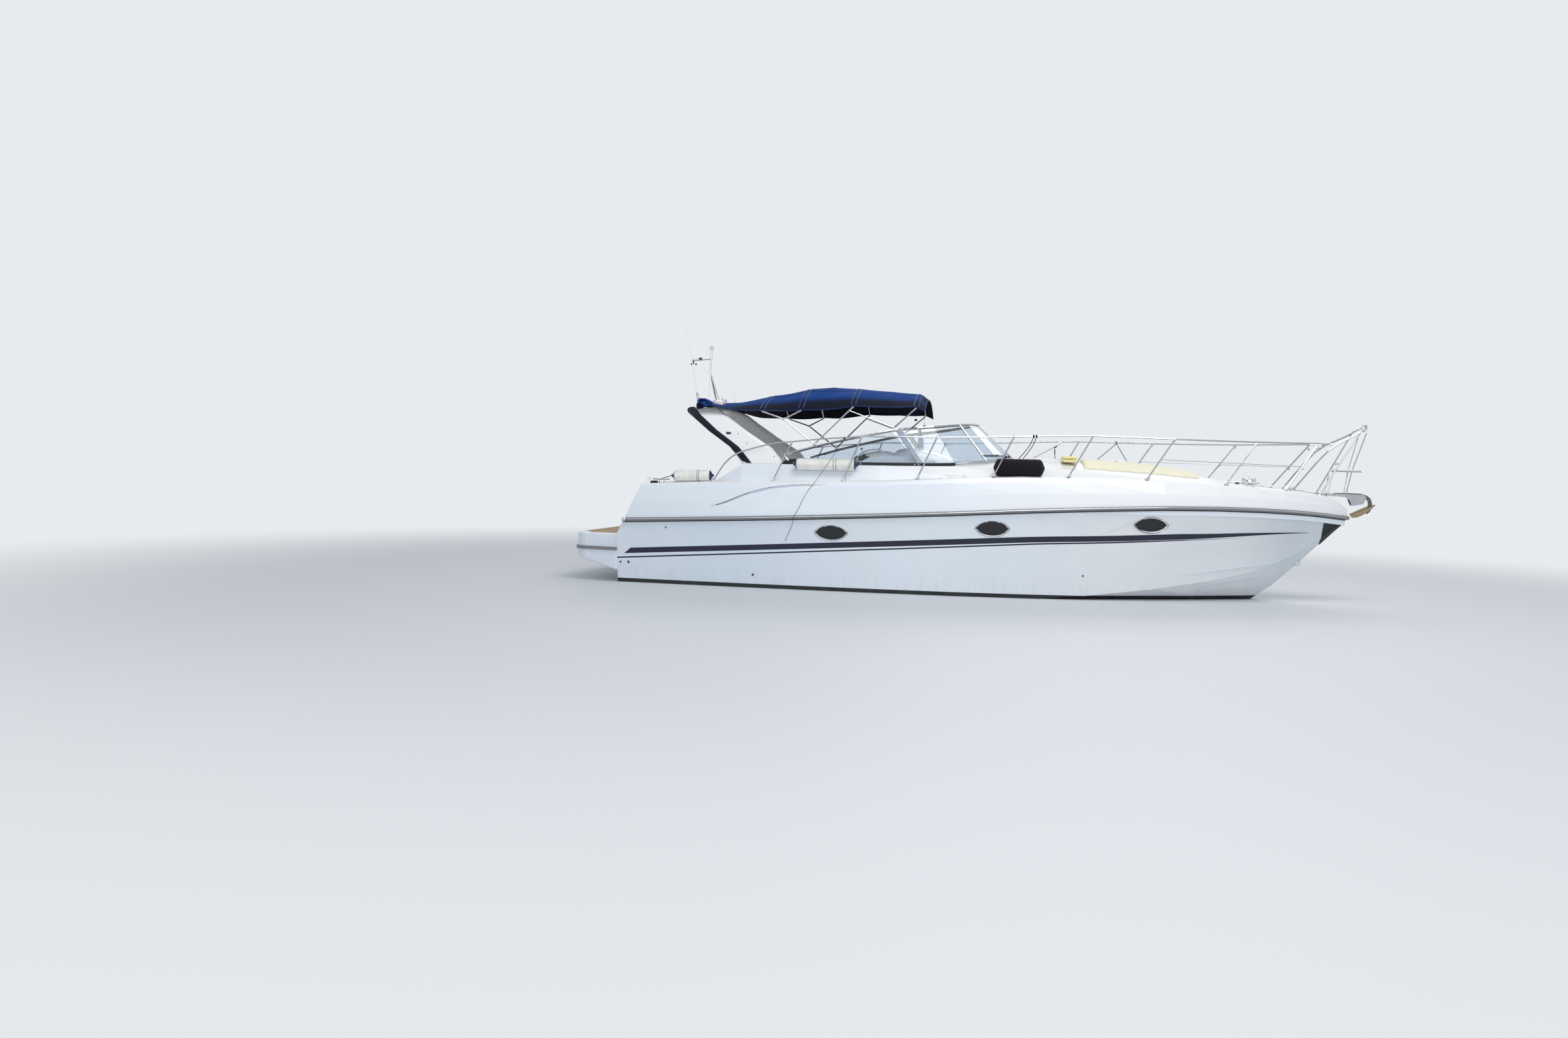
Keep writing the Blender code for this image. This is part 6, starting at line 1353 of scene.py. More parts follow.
def make_arch_gear():
    """Dome, light, horn, aerial, wind gear and tray on the arch."""
    white, dark, steel, lens, orange = shapes(5)
    top = drop("radar_arch", -3.85, -0.35)[0].z
    white.lathe((-3.82, -0.52, top), UP, [(0.115, 0), (0.120, 0.006), (0.118, 0.030), (0.100, 0.070),
                                          (0.060, 0.092), (0.02, 0.100)], 36)
    steel.lathe((-3.86, 0.12, top), UP, [(0.028, 0), (0.028, 0.012), (0.010, 0.018), (0.010, 0.10)], 18)
    white.lathe((-3.86, 0.12, top + 0.095), UP, [(0.030, 0), (0.048, 0.008), (0.052, 0.045), (0.040, 0.075),
                                                 (0.012, 0.088)], 28)
    dark.box((-3.90, -0.13, top + 0.001), (-3.74, -0.02, top + 0.055))
    lens.box((-3.905, -0.12, top + 0.010), (-3.897, -0.03, top + 0.046))
    # Horn: a trumpet on a bracket at the front edge
    for y in (-0.80, -0.74):
        steel.lathe((-3.80, y, top + 0.030), (1, 0, 0),
                    [(0.012, -0.12), (0.009, -0.10), (0.009, 0.0), (0.014, 0.05), (0.028, 0.090),
                     (0.033, 0.098), (0.026, 0.098), (0.010, 0.05)], 22)
        steel.box((-3.84, y - 0.008, top - 0.002), (-3.82, y + 0.008, top + 0.024))
    # Small aerial on a ratchet base
    steel.lathe((-3.76, 0.62, top), UP, [(0.026, 0), (0.026, 0.016), (0.014, 0.024), (0.014, 0.05)], 18)
    white.rod((-3.76, 0.62, top + 0.05), (-3.82, 0.62, top + 0.34), 0.006, 0.0025)
    # Mast gear: lamp, wind vane and cups
    box_low, box_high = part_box("arch_mast")
    lamp_z = box_high[2]
    white.lathe((MAST_X, 0, lamp_z - 0.075), UP, [(0.028, 0), (0.030, 0.008), (0.030, 0.014)], 24)
    lens.lathe((MAST_X, 0, lamp_z - 0.061), UP, [(0.0275, 0), (0.0275, 0.040), (0.024, 0.044)], 24)
    white.lathe((MAST_X, 0, lamp_z - 0.018), UP,
                [(0.029, 0), (0.029, 0.008), (0.020, 0.0175), (0.004, 0.018)], 24)
    arm_tip = Vector((box_low[0] + 0.012, 0, 3.552))
    dark.lathe(arm_tip - rise(0.06), UP, [(0.006, 0), (0.012, 0.01), (0.012, 0.055), (0.007, 0.065),
                                          (0.006, 0.085)], 16)
    for a in angles(3):
        a += 0.4
        out = Vector((math.cos(a), math.sin(a), 0))
        hub = arm_tip - rise(0.055)
        reach = 0.046
        steel.rod(hub, hub + out * reach, 0.0018)
        spin = Vector((-out.y, out.x, 0))
        dark.lathe(hub + out * reach, spin, [(0.001, -0.016), (0.010, -0.012), (0.015, -0.003),
                                             (0.016, 0.004), (0.0135, 0.004), (0.008, -0.006)], 14)
    vane_hub = arm_tip + Vector((0.02, 0, 0.03))
    dark.rod(vane_hub, vane_hub + Vector((0.13, 0, 0)), 0.0022)
    dark.box(vane_hub + Vector((0.075, -0.001, -0.022)), vane_hub + Vector((0.13, 0.001, 0.022)))
    # White tray with an orange band on the arch top
    white.box((-3.76, -1.02, top - 0.02), (-3.62, -0.80, top + 0.045))
    orange.box((-3.762, -1.021, top + 0.016), (-3.618, -0.799, top + 0.022))
    # Loud hailer loop
    steel.tube(smooth_path([(-3.86, -0.66, top), (-3.86, -0.66, top + 0.05), (-3.835, -0.66, top + 0.075),
                            (-3.81, -0.66, top + 0.05),
                            (-3.81, -0.66, top)], 6), 0.005, 8)
    steel.done("arch_gear_steel", STEEL)
    white.done("arch_gear_white", MOULDING, bevel=0.004)
    dark.done("arch_gear_dark", BLACK, bevel=0.001)
    lens.done("arch_gear_lens", LAMP)
    orange.done("arch_tray_band", ORANGE)
    collar = Shape()
    base = Vector((-4.04, -0.90, 2.84))
    lean = Vector((-0.31, 0, 1.62)).normalized()
    collar.lathe(base + lean * 0.03, lean, [(0.012, 0), (0.020, 0.006), (0.020, 0.10), (0.013, 0.115)], 22)
    collar.lathe(base - Vector((0, 0.024, 0)), (0, 1, 0),
                 [(0.008, 0), (0.024, 0.002), (0.024, 0.046), (0.008, 0.048)], 24)
    collar.done("whip_ferrule", STEEL, body="whip_antenna")


# Helm and cockpit

DASH_LOW = Vector((-1.58, 0, 1.66))
DASH_HIGH = Vector((-1.44, 0, 1.94))
DASH_UP = (DASH_HIGH - DASH_LOW).normalized()
DASH_OUT = Vector((-DASH_UP.z, 0, DASH_UP.x))
DASH_CENTRE = (DASH_LOW + DASH_HIGH) / 2
WHEEL_Y = -0.62
WHEEL_R = 0.19
WHEEL_STANDOFF = 0.13


def on_dash(y, up, out=0.0):
    """Point on the instrument face: y across, up from its middle, out from it."""
    return Vector((DASH_CENTRE.x, y, DASH_CENTRE.z)) + DASH_UP * up + DASH_OUT * out


def dash_box(shape, y, up, out):
    """Box on the instrument face from (low, high) pairs."""
    shape.block([on_dash(*p) for p in product(y, up, out)])


# Gauges. Columns: y, up, radius, needle angle in degrees
GAUGES = (
    (-0.90, 0.080, 0.040, 140), (-0.80, 0.080, 0.040, 125), (-0.44, 0.080, 0.040, 140),
    (-0.34, 0.080, 0.040, 120),
    (-0.95, -0.005, 0.027, 60), (-0.885, -0.005, 0.027, 100), (-0.82, -0.005, 0.027, 80),
    (-0.42, -0.005, 0.027, 90), (-0.355, -0.005, 0.027, 70), (-0.29, -0.005, 0.027, 110),
)


def make_dash():
    """Instrument panel with its gauges, switches and screens."""
    panel, bezel, dial, needle, switch, screen = shapes(6)
    dash_box(panel, (-1.08, -0.20), (-0.125, 0.130), (0.0006, 0.0060))
    for y, up, r, angle in GAUGES:
        c = on_dash(y, up, 0.006)
        bezel.lathe(c, DASH_OUT, [(r, 0), (r * 1.05, 0.003), (r * 1.03, 0.008), (r * 0.90, 0.010),
                                  (r * 0.87, 0.004), (r * 0.86, 0.0)], 32)
        dial.lathe(c, DASH_OUT, [(r * 0.88, 0.001), (r * 0.88, 0.0035), (0.002, 0.0036)], 28)
        a = math.radians(angle)
        tip = on_dash(y - math.cos(a) * r * 0.70, up + math.sin(a) * r * 0.70, 0.0112)
        needle.rod(on_dash(y, up, 0.0108), tip, 0.0011, 0.0005, 6)
        needle.lathe(on_dash(y, up, 0.0096), DASH_OUT, [(0.003, 0), (0.003, 0.0022), (0.001, 0.003)], 10)
        for k in range(9):
            b = math.radians(-30 + 240 * k / 8)
            needle.rod(on_dash(y - math.cos(b) * r * 0.76, up + math.sin(b) * r * 0.76, 0.0098),
                       on_dash(y - math.cos(b) * r * 0.84, up + math.sin(b) * r * 0.84, 0.0098),
                       0.0006, 0.0006, 5)
    for up in (-0.062, -0.100):
        for k in range(6):
            y = -1.03 + 0.034 * k
            dash_box(bezel, (y, y + 0.024), (up - 0.014, up + 0.014), (0.006, 0.0085))
            dash_box(switch, (y + 0.004, y + 0.020), (up - 0.010, up + 0.002), (0.0085, 0.0125))
            dash_box(switch, (y + 0.004, y + 0.020), (up + 0.002, up + 0.010), (0.0085, 0.0098))
    dash_box(bezel, (-0.715, -0.525), (0.015, 0.125), (0.006, 0.020))
    dash_box(screen, (-0.703, -0.537), (0.027, 0.113), (0.020, 0.0212))
    for y in (-0.245, -0.225):
        bezel.lathe(on_dash(y, -0.085, 0.006), DASH_OUT, [(0.009, 0), (0.009, 0.004), (0.006, 0.006)], 16)
    dash_box(bezel, (-0.44, -0.28), (-0.105, -0.065), (0.006, 0.016))
    dash_box(screen, (-0.40, -0.33), (-0.095, -0.075), (0.016, 0.0168))
    panel.done("dash_panel", GLOSS_BLACK, slot="black_rim", bevel=0.002)
    bezel.done("dash_bezels", BLACK, slot="black_rim", bevel=0.0008)
    dial.done("dash_dials", DIAL)
    needle.done("dash_needles", RED_PAINT)
    switch.done("dash_switches", BRUSHED)
    screen.done("dash_screens", GLOSS_BLACK)


HOOD_THICK = 0.012


def hood(shape, rows):
    """Open moulded cowl from rows of x, centre y, half width, base z, top z."""
    outer = []
    for x, y, half, base, top in rows:
        ring, low = [], []
        for k in range(19):
            a = math.pi * k / 18
            across, up = squared(math.cos(a), 0.7), abs(math.sin(a)) ** 0.7
            ring.append(Vector((x, y - half * across, base + (top - base) * up)))
            w, h = max(half - HOOD_THICK, 0.001), max(top - base - HOOD_THICK, 0.001)
            low.append(Vector((x, y - w * across, base + h * up)))
        outer.append(ring + low[::-1])
    shape.grid(outer)


def make_cowls():
    """Moulded cowls over the dash, grab rail and compass."""
    cowls = Shape()
    hood(cowls, [(-1.50, -0.62, 0.30, 1.955, 2.035), (-1.40, -0.62, 0.34, 1.985, 2.085),
                 (-1.22, -0.62, 0.34, 2.015, 2.125),
                 (-1.05, -0.62, 0.31, 2.035, 2.120), (-0.92, -0.62, 0.26, 2.035, 2.085),
                 (-0.84, -0.62, 0.20, 2.03, 2.050)])
    rows = []
    for x, half, base, top in ((-0.98, 0.30, 1.99, 2.075), (-0.88, 0.44, 1.99, 2.150),
                               (-0.72, 0.52, 1.985, 2.180), (-0.50, 0.54, 1.94, 2.170),
                               (-0.30, 0.50, 1.95, 2.120), (-0.10, 0.44, 1.96, 2.060),
                               (0.05, 0.36, 1.97, 2.010)):
        ring = []
        for k in range(27):
            a = math.pi * k / 26
            ring.append(Vector((x, -0.60 - half * squared(math.cos(a), 0.6),
                                base + (top - base) * abs(math.sin(a)) ** 0.55)))
        rows.append(ring)
    cowls.grid(rows)
    cowls.done("dash_cowls", MOULDING, smooth=60)
    grabs, base = shapes(2)
    y = WHEEL_Y - 0.40
    pts = [(-1.46, y, 1.93), (-1.50, y, 1.985), (-1.38, y, 2.10), (-1.16, y, 2.14), (-1.10, y, 2.10),
           (-1.09, y, 2.045)]
    grabs.tube(smooth_path(pts, 6), 0.010, 12)
    for p in (pts[0], pts[-1]):
        grabs.lathe(Vector(p) - rise(0.006), UP, [(0.024, 0), (0.024, 0.006), (0.012, 0.012)], 18)
    grabs.done("dash_grab_rail", STEEL)
    base.lathe((-1.10, -0.22, 2.045), UP, [(0.050, 0), (0.052, 0.006), (0.044, 0.022), (0.030, 0.026)], 28)
    base.done("compass_base", BLACK)
    dome = Shape().lathe((-1.10, -0.22, 2.066), UP,
                         [(0.042, 0), (0.041, 0.014), (0.033, 0.030), (0.018, 0.041), (0.002, 0.044)], 28)
    dome.done("compass_dome", ACRYLIC)


def make_wheel():
    """Leather rim with finger grips, three pressed spokes, a padded boss."""
    centre = on_dash(WHEEL_Y, 0, WHEEL_STANDOFF)
    rim, spokes, boss = shapes(3)
    rows = []
    for a in angles(144):
        radial = DASH_UP * math.cos(a) + Vector((0, 1, 0)) * math.sin(a)
        grip = 0.0132 + 0.0007 * math.cos(12 * a)
        rows.append([centre + radial * (WHEEL_R + grip * math.cos(b)) + DASH_OUT * (grip * 1.02 * math.sin(b))
                     for b in angles(14)])
    rim.grid(rows, closed=True)
    wheel = rim.done("wheel_rim", LEATHER, "steering_wheel", smooth=60)
    for i in range(3):
        a = math.radians(180 + 120 * i)
        radial = DASH_UP * math.cos(a) + Vector((0, 1, 0)) * math.sin(a)
        across = radial.cross(DASH_OUT)
        ring = []
        for t, w, lift in ((0.10, 0.026, 0.002), (0.35, 0.019, 0.004), (0.65, 0.015, 0.002),
                           (0.95, 0.018, 0.0)):
            p = centre + radial * (WHEEL_R * t) + DASH_OUT * (lift - 0.004)
            ring.append([p - across * w, p - across * (w * 0.7) + DASH_OUT * 0.004,
                         p + across * (w * 0.7) + DASH_OUT * 0.004,
                         p + across * w, p + across * (w * 0.6) - DASH_OUT * 0.003,
                         p - across * (w * 0.6) - DASH_OUT * 0.003])
        spokes.grid(ring)
        for t in (0.42, 0.56, 0.70):
            spokes.lathe(centre + radial * (WHEEL_R * t) + DASH_OUT * 0.001, DASH_OUT,
                         [(0.006, 0), (0.006, 0.003), (0.004, 0.0032), (0.004, 0.001)], 16)
    boss.lathe(centre - DASH_OUT * 0.018, DASH_OUT,
               [(0.030, 0), (0.044, 0.006), (0.046, 0.022), (0.038, 0.032), (0.012, 0.036)], 32)
    boss.lathe(centre - DASH_OUT * (WHEEL_STANDOFF - 0.001), DASH_OUT,
               [(0.055, 0), (0.055, 0.010), (0.036, 0.028), (0.026, 0.080), (0.026, WHEEL_STANDOFF - 0.016)],
               28)
    spokes.done("wheel_spokes", BRUSHED, "steering_wheel")
    boss.done("wheel_boss", BLACK, "steering_wheel")
    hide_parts("steering_wheel")


def make_throttles():
    """Two levers on a box to starboard of the wheel."""
    base, levers, knobs = shapes(3)
    base.box((-1.46, -1.125, 1.955), (-1.31, -0.995, 2.030))
    for k, y in enumerate((-1.092, -1.030)):
        pivot = Vector((-1.385, y, 2.025))
        tip = pivot + Vector((-0.030 - 0.010 * k, 0, 0.105))
        base.lathe(pivot - Vector((0, 0.020, 0)), (0, 1, 0),
                   [(0.030, 0), (0.034, 0.003), (0.034, 0.037), (0.030, 0.040)], 24)
        levers.rod(pivot, tip, 0.006, 0.0055)
        knobs.ball(tip + Vector((-0.002, 0, 0.010)), (0.014, 0.020, 0.017), rings=12, sides=20)
    base.done("throttle_base", BLACK, slot="black_rim", bevel=0.006)
    levers.done("throttle_levers", STEEL)
    knobs.done("throttle_knobs", BLACK)


# Sole panels in the cockpit. Columns: low x, low y, high x, high y
SOLE_PANELS = (
    (-4.39, 0.425, -3.35, 1.195), (-3.33, 0.425, -2.33, 1.195), (-2.72, -1.165, -2.45, 0.405),
    (-2.31, -0.135, -1.29, 0.635), (-1.99, -1.165, -1.28, -0.16), (-1.27, -0.075, -0.40, 0.635),
)
SOLE_Z = 0.95
DOORWAY_X = -0.383
DOORWAY_Y = (-0.02, 0.62)
DOORWAY_Z = (1.01, 1.74)


def make_cockpit():
    """Sole panels, cup holders, door frame, pockets, grab rails and latches."""
    planks, rings, drains = shapes(3)
    for x0, y0, x1, y1 in SOLE_PANELS:
        planks.box((x0, y0, SOLE_Z + 0.0004), (x1, y1, SOLE_Z + 0.009))
        c = Vector(((x0 + x1) / 2, y1 - 0.08, SOLE_Z + 0.009))
        rings.lathe(c, UP, [(0.022, 0), (0.022, 0.0016), (0.017, 0.002), (0.015, 0.0006)], 24)
    planks.done("cockpit_sole_panels", TEAK, bevel=0.003)
    for x, y in ((-4.36, 1.15), (-4.36, 0.47), (-2.70, -1.12)):
        drains.lathe((x, y, SOLE_Z + 0.0092), UP, [(0.024, 0), (0.024, 0.002), (0.016, 0.0025)], 20)
    drains.done("cockpit_drains", STEEL)
    rings.done("panel_rings", STEEL)
    holders, cups = shapes(2)
    spots = [(x, y) for x in (-2.62, -0.52) for y in (-1.30, 1.30)] + [(-3.9, 1.31), (-3.9, -1.31)]
    for x, y in spots:
        hit = on_deck(x, y)
        holders.lathe(hit + rise(-0.002), UP,
                      [(0.046, 0), (0.046, 0.006), (0.038, 0.0085), (0.036, 0.004)], 28)
        cups.lathe(hit + rise(0.0005), UP, [(0.0365, 0), (0.0365, 0.003), (0.01, 0.0035)], 24)
    holders.done("cup_holders", STEEL)
    cups.done("cup_holder_wells", BLACK)
    jambs, handle = shapes(2)
    x = DOORWAY_X
    (y0, y1), (z0, z1) = DOORWAY_Y, DOORWAY_Z
    for low, high in (((x - 0.010, y0 - 0.035, z0), (x, y0, z1 + 0.035)),
                      ((x - 0.010, y1, z0), (x, y1 + 0.030, z1 + 0.035)),
                      ((x - 0.010, y0, z1), (x, y1, z1 + 0.035)),
                      ((x - 0.014, y0 - 0.02, z0 - 0.045), (x + 0.012, y1 + 0.02, z0 - 0.002))):
        jambs.box(low, high)
    jambs.done("companionway_frame", BRUSHED, bevel=0.002)
    handle.rod((x + 0.045, 0.05, 1.30), (x + 0.045, 0.05, 1.48), 0.007)
    handle.done("door_handle", STEEL, "companionway_door")
    stow, grip = shapes(2)
    for x0, x1 in ((-4.20, -3.55), (-2.20, -1.45), (-1.38, -0.66)):
        for side, _ in SIDES:
            if side < 0 and x0 > -2.5:
                continue
            y = side * 1.2065
            stow.box((x0, min(y, y + side * 0.004), 1.30 if x0 < -3 else 1.50),
                     (x1, max(y, y + side * 0.004), 1.44 if x0 < -3 else 1.68))
    stow.done("side_pocket_faces", MOULDING, bevel=0.0015)
    for side, _ in SIDES:
        a, b = on_deck(-3.05, side * 1.275), on_deck(-2.45, side * 1.275)
        grip.tube(smooth_path([a, a + Vector((0.02, 0, 0.040)), b + Vector((-0.02, 0, 0.040)), b], 8), 0.009,
                  10)
    grip.done("coaming_grab_rails", STEEL)
    latches = Shape()
    for y in (-0.95, 0.20):
        latches.box((-4.372, y - 0.03, 1.185), (-4.362, y + 0.03, 1.228))
    latches.done("engine_hatch_latches", STEEL, "engine_hatch", bevel=0.002)


PLATFORM_TOP = 0.74
LADDER_Y = (1.02, 1.30)


def make_transom():
    """Platform planks, folded ladder, lockers, handles and lights at the stern."""
    planks, steel, lids, dark, light = shapes(5)
    top = PLATFORM_TOP
    for y0, y1 in ((-1.36, -0.70), (-0.66, 0.00), (0.04, 0.66), (0.70, 1.36)):
        planks.box((-5.62, y0, top + 0.0004), (-5.18, y1, top + 0.008))
    planks.box((-5.76, -1.12, top + 0.0004), (-5.65, 1.12, top + 0.008))
    planks.box((-5.03, 0.52, 0.9856), (-4.82, 1.04, 0.993))
    planks.box((-4.735, 0.52, 0.9834), (-4.46, 1.04, 0.990))
    planks.done("platform_planks", TEAK, bevel=0.002)
    # Linings of the walkway's sides
    for y in (0.4985, 1.0555):
        lids.box((-4.80, y, 0.93), (-4.445, y + 0.006, 1.28))
    # Folded ladder on the port side of the platform
    for y in LADDER_Y:
        steel.tube(smooth_path([(-5.80, y, top + 0.012), (-5.76, y, top + 0.030), (-5.40, y, top + 0.030),
                                (-5.25, y, top + 0.030)], 5), 0.011, 12)
        steel.box((-5.80, y - 0.022, top), (-5.74, y + 0.022, top + 0.006))
    for x in (-5.66, -5.50, -5.34):
        steel.box((x - 0.022, LADDER_Y[0], top + 0.034), (x + 0.022, LADDER_Y[1], top + 0.042))
    # Grab handles and fittings on the transom face
    for y in (-1.10, 0.30):
        z = 1.20
        x = transom_face_x(z) - 0.001
        steel.tube(smooth_path([(x, y - 0.14, z), (x - 0.045, y - 0.13, z), (x - 0.050, y, z),
                                (x - 0.045, y + 0.13, z), (x, y + 0.14, z)], 6), 0.010, 12)
        for dy in (-0.14, 0.14):
            steel.lathe((x + 0.004, y + dy, z), (-1, 0, 0), [(0.022, 0), (0.022, 0.005), (0.012, 0.010)], 18)
    for y, z, w, h in ((-0.80, 1.22, 0.22, 0.16), (-0.10, 1.22, 0.16, 0.14)):
        outline = [(y + a * w / 2, z + b * h / 2) for a, b in ((-1, -1), (1, -1), (1, 1), (-1, 1))]
        lids.grid([[Vector((transom_face_x(v) - out, u, v)) for u, v in outline] for out in (-0.004, 0.006)])
        dark.box((transom_face_x(z) - 0.012, y + w / 2 - 0.035, z - 0.012),
                 (transom_face_x(z) - 0.004, y + w / 2 - 0.012, z + 0.012))
    for y in (-1.36, 1.36):
        light.lathe((transom_face_x(1.05) - 0.001, y, 1.05), (-1, 0, 0.42),
                    [(0.030, -0.004), (0.030, 0.006), (0.022, 0.010), (0.004, 0.012)], 24)
    # Short post near the after corner of each coaming
    for side, _ in SIDES:
        hit = on_deck(-4.64, side * 1.50)
        lids.lathe(hit - rise(0.004), UP, [(0.030, 0), (0.030, 0.006), (0.022, 0.010), (0.022, 0.085),
                                           (0.026, 0.092), (0.020, 0.102)], 22)
    steel.done("transom_steel", STEEL)
    lids.done("transom_lids", MOULDING, bevel=0.003)
    dark.done("transom_latches", BLACK, bevel=0.001)
    light.done("stern_lights", LAMP)
    gate = Shape()
    gate.box((-4.815, 0.545, 1.24), (-4.800, 0.60, 1.30))
    gate.lathe((-4.800, 0.572, 1.27), (-1, 0, 0), [(0.016, 0), (0.016, 0.012), (0.010, 0.016)], 20)
    gate.box((-4.822, 0.562, 1.262), (-4.812, 0.582, 1.320))
    gate.done("gate_latch", STEEL, "transom_gate", bevel=0.002)


def transom_face_x(z):
    """Station of the sloping aft face between the rail and the coaming."""
    return -4.98 + max(0.0, z - 0.97) * (0.25 / 0.55)


# Rails and foredeck

# Stanchions. Columns: foot x, lean of the top, rise over the deck edge
STANCHIONS = ((-2.68, 0.28, 0.60), (-1.62, 0.26, 0.67), (-0.53, 0.27, 0.62), (0.57, 0.28, 0.60),
              (1.64, 0.33, 0.61),
              (2.76, 0.38, 0.60), (3.92, 0.44, 0.64), (4.84, 0.50, 0.71))
STANCHION_INSET = 0.06


def make_rail_fittings():
    """Collars and screws of the stanchions."""
    bits = Shape()
    for side, _ in SIDES:
        for x, lean, rise in STANCHIONS:
            y = between(DECK_EDGE, 1, x) - STANCHION_INSET
            foot = on_deck(x, side * y)
            top = Vector((x + lean, side * (between(DECK_EDGE, 1, x + lean) - STANCHION_INSET * 0.8),
                          between(DECK_EDGE, 2, x + lean) + rise))
            along = (top - foot).normalized()
            bits.lathe(foot + along * 0.016, along,
                       [(0.012, 0), (0.019, 0.002), (0.0175, 0.034), (0.0125, 0.040)], 18)
            bits.lathe(top - along * 0.036, along,
                       [(0.0125, 0), (0.0165, 0.004), (0.0165, 0.026), (0.013, 0.036)], 18)
            for a in angles(3):
                a += 0.5
                spot = foot + Vector((0.021 * math.cos(a), 0.021 * math.sin(a), 0.0148))
                bits.lathe(spot, UP, [(0.0042, 0), (0.0036, 0.0022), (0.001, 0.0028)], 10)
            if x > 2.7:
                mid = foot.lerp(top, 0.5)
                bits.lathe(mid - along * 0.010, along,
                           [(0.0125, 0), (0.0155, 0.002), (0.0155, 0.018), (0.0125, 0.020)], 16)
    bits.done("rail_collars", STEEL)


WINDLASS_Z = 1.722 + 0.07


def make_bow_details():
    """Pulpit step, bow light, roller, windlass gypsy and locker latch."""
    white, steel, step, black = shapes(4)
    # Step at the pulpit, carried by two bars
    for y0, y1 in ((-0.115, -0.004), (0.004, 0.115)):
        step.box((5.64, y0, 1.995), (6.00, y1, 2.017))
    for y in (-0.10, 0.10):
        steel.tube([(5.60, y, 1.986), (6.01, y, 1.986)], 0.009, 10)
        steel.tube(smooth_path([(5.53, y * 0.9, on_deck(5.53, y * 0.9).z + 0.004), (5.60, y, 1.975)], 3),
                   0.009, 10)
        steel.tube([(5.80, y * 0.55, 1.60), (5.86, y, 1.982), (6.02, y * 1.9, 2.56)], 0.008, 10)
    for x in (5.66, 5.98):
        steel.tube([(x, -0.105, 1.984), (x, 0.105, 1.984)], 0.008, 10)
    # Bow light: red to port, clear to starboard
    white.box((6.015, -0.040, 2.600), (6.075, 0.040, 2.622))
    white.box((6.015, -0.040, 2.684), (6.075, 0.040, 2.702))
    white.box((6.015, -0.004, 2.620), (6.078, 0.004, 2.686))
    white.box((6.010, -0.038, 2.620), (6.024, 0.038, 2.686))
    red = Shape().box((6.024, 0.004, 2.622), (6.072, 0.036, 2.684))
    clear = Shape().box((6.024, -0.036, 2.622), (6.072, -0.004, 2.684))
    red.done("bow_light_port", RED, bevel=0.006)
    clear.done("bow_light_starboard", LAMP, bevel=0.006)
    steel.box((6.00, -0.018, 2.585), (6.05, 0.018, 2.602))
    # Roller sheave and pin
    black.lathe((6.03, -0.040, 1.56), (0, 1, 0), [(0.044, 0), (0.046, 0.006), (0.030, 0.034), (0.030, 0.046),
                                                  (0.046, 0.074), (0.044, 0.080)], 28)
    steel.lathe((6.03, -0.066, 1.56), (0, 1, 0), [(0.014, 0), (0.014, 0.006), (0.008, 0.007), (0.008, 0.125),
                                                  (0.014, 0.126), (0.014, 0.132)], 16)
    for x, y in ((5.33, 0.040), (5.33, -0.040), (5.41, 0.040), (5.41, -0.040)):
        hit = on_deck(x, y)
        steel.lathe(hit + rise(0.008), UP, [(0.010, 0), (0.010, 0.005), (0.007, 0.007)], 6)
    # Windlass gypsy and capstan, foot switches
    steel.lathe((4.42, 0.085, WINDLASS_Z), (0, 1, 0),
                [(0.052, 0), (0.052, 0.005), (0.034, 0.014), (0.034, 0.024), (0.052, 0.034),
                 (0.050, 0.038)], 26)
    steel.lathe((4.42, -0.165, WINDLASS_Z), (0, 1, 0),
                [(0.030, -0.004), (0.046, 0), (0.036, 0.02), (0.032, 0.045), (0.040, 0.075)], 26)
    for y in (-0.26, 0.26):
        hit = on_deck(4.20, y)
        black.lathe(hit, UP, [(0.036, 0), (0.036, 0.008), (0.026, 0.020), (0.006, 0.022)], 24)
    white.done("bow_light_housing", MOULDING, bevel=0.003)
    steel.done("bow_steel", STEEL)
    step.done("pulpit_step", MOULDING, bevel=0.005)
    black.done("bow_rollers", BLACK)
    latch = Shape().lathe((4.98, 0, on_deck(5.02, 0).z + 0.024), UP,
                          [(0.020, -0.004), (0.020, 0.003), (0.013, 0.005), (0.012, 0.002)], 22)
    latch.done("locker_latch", STEEL, "anchor_locker_lid")


SHANK_HALF = 0.011


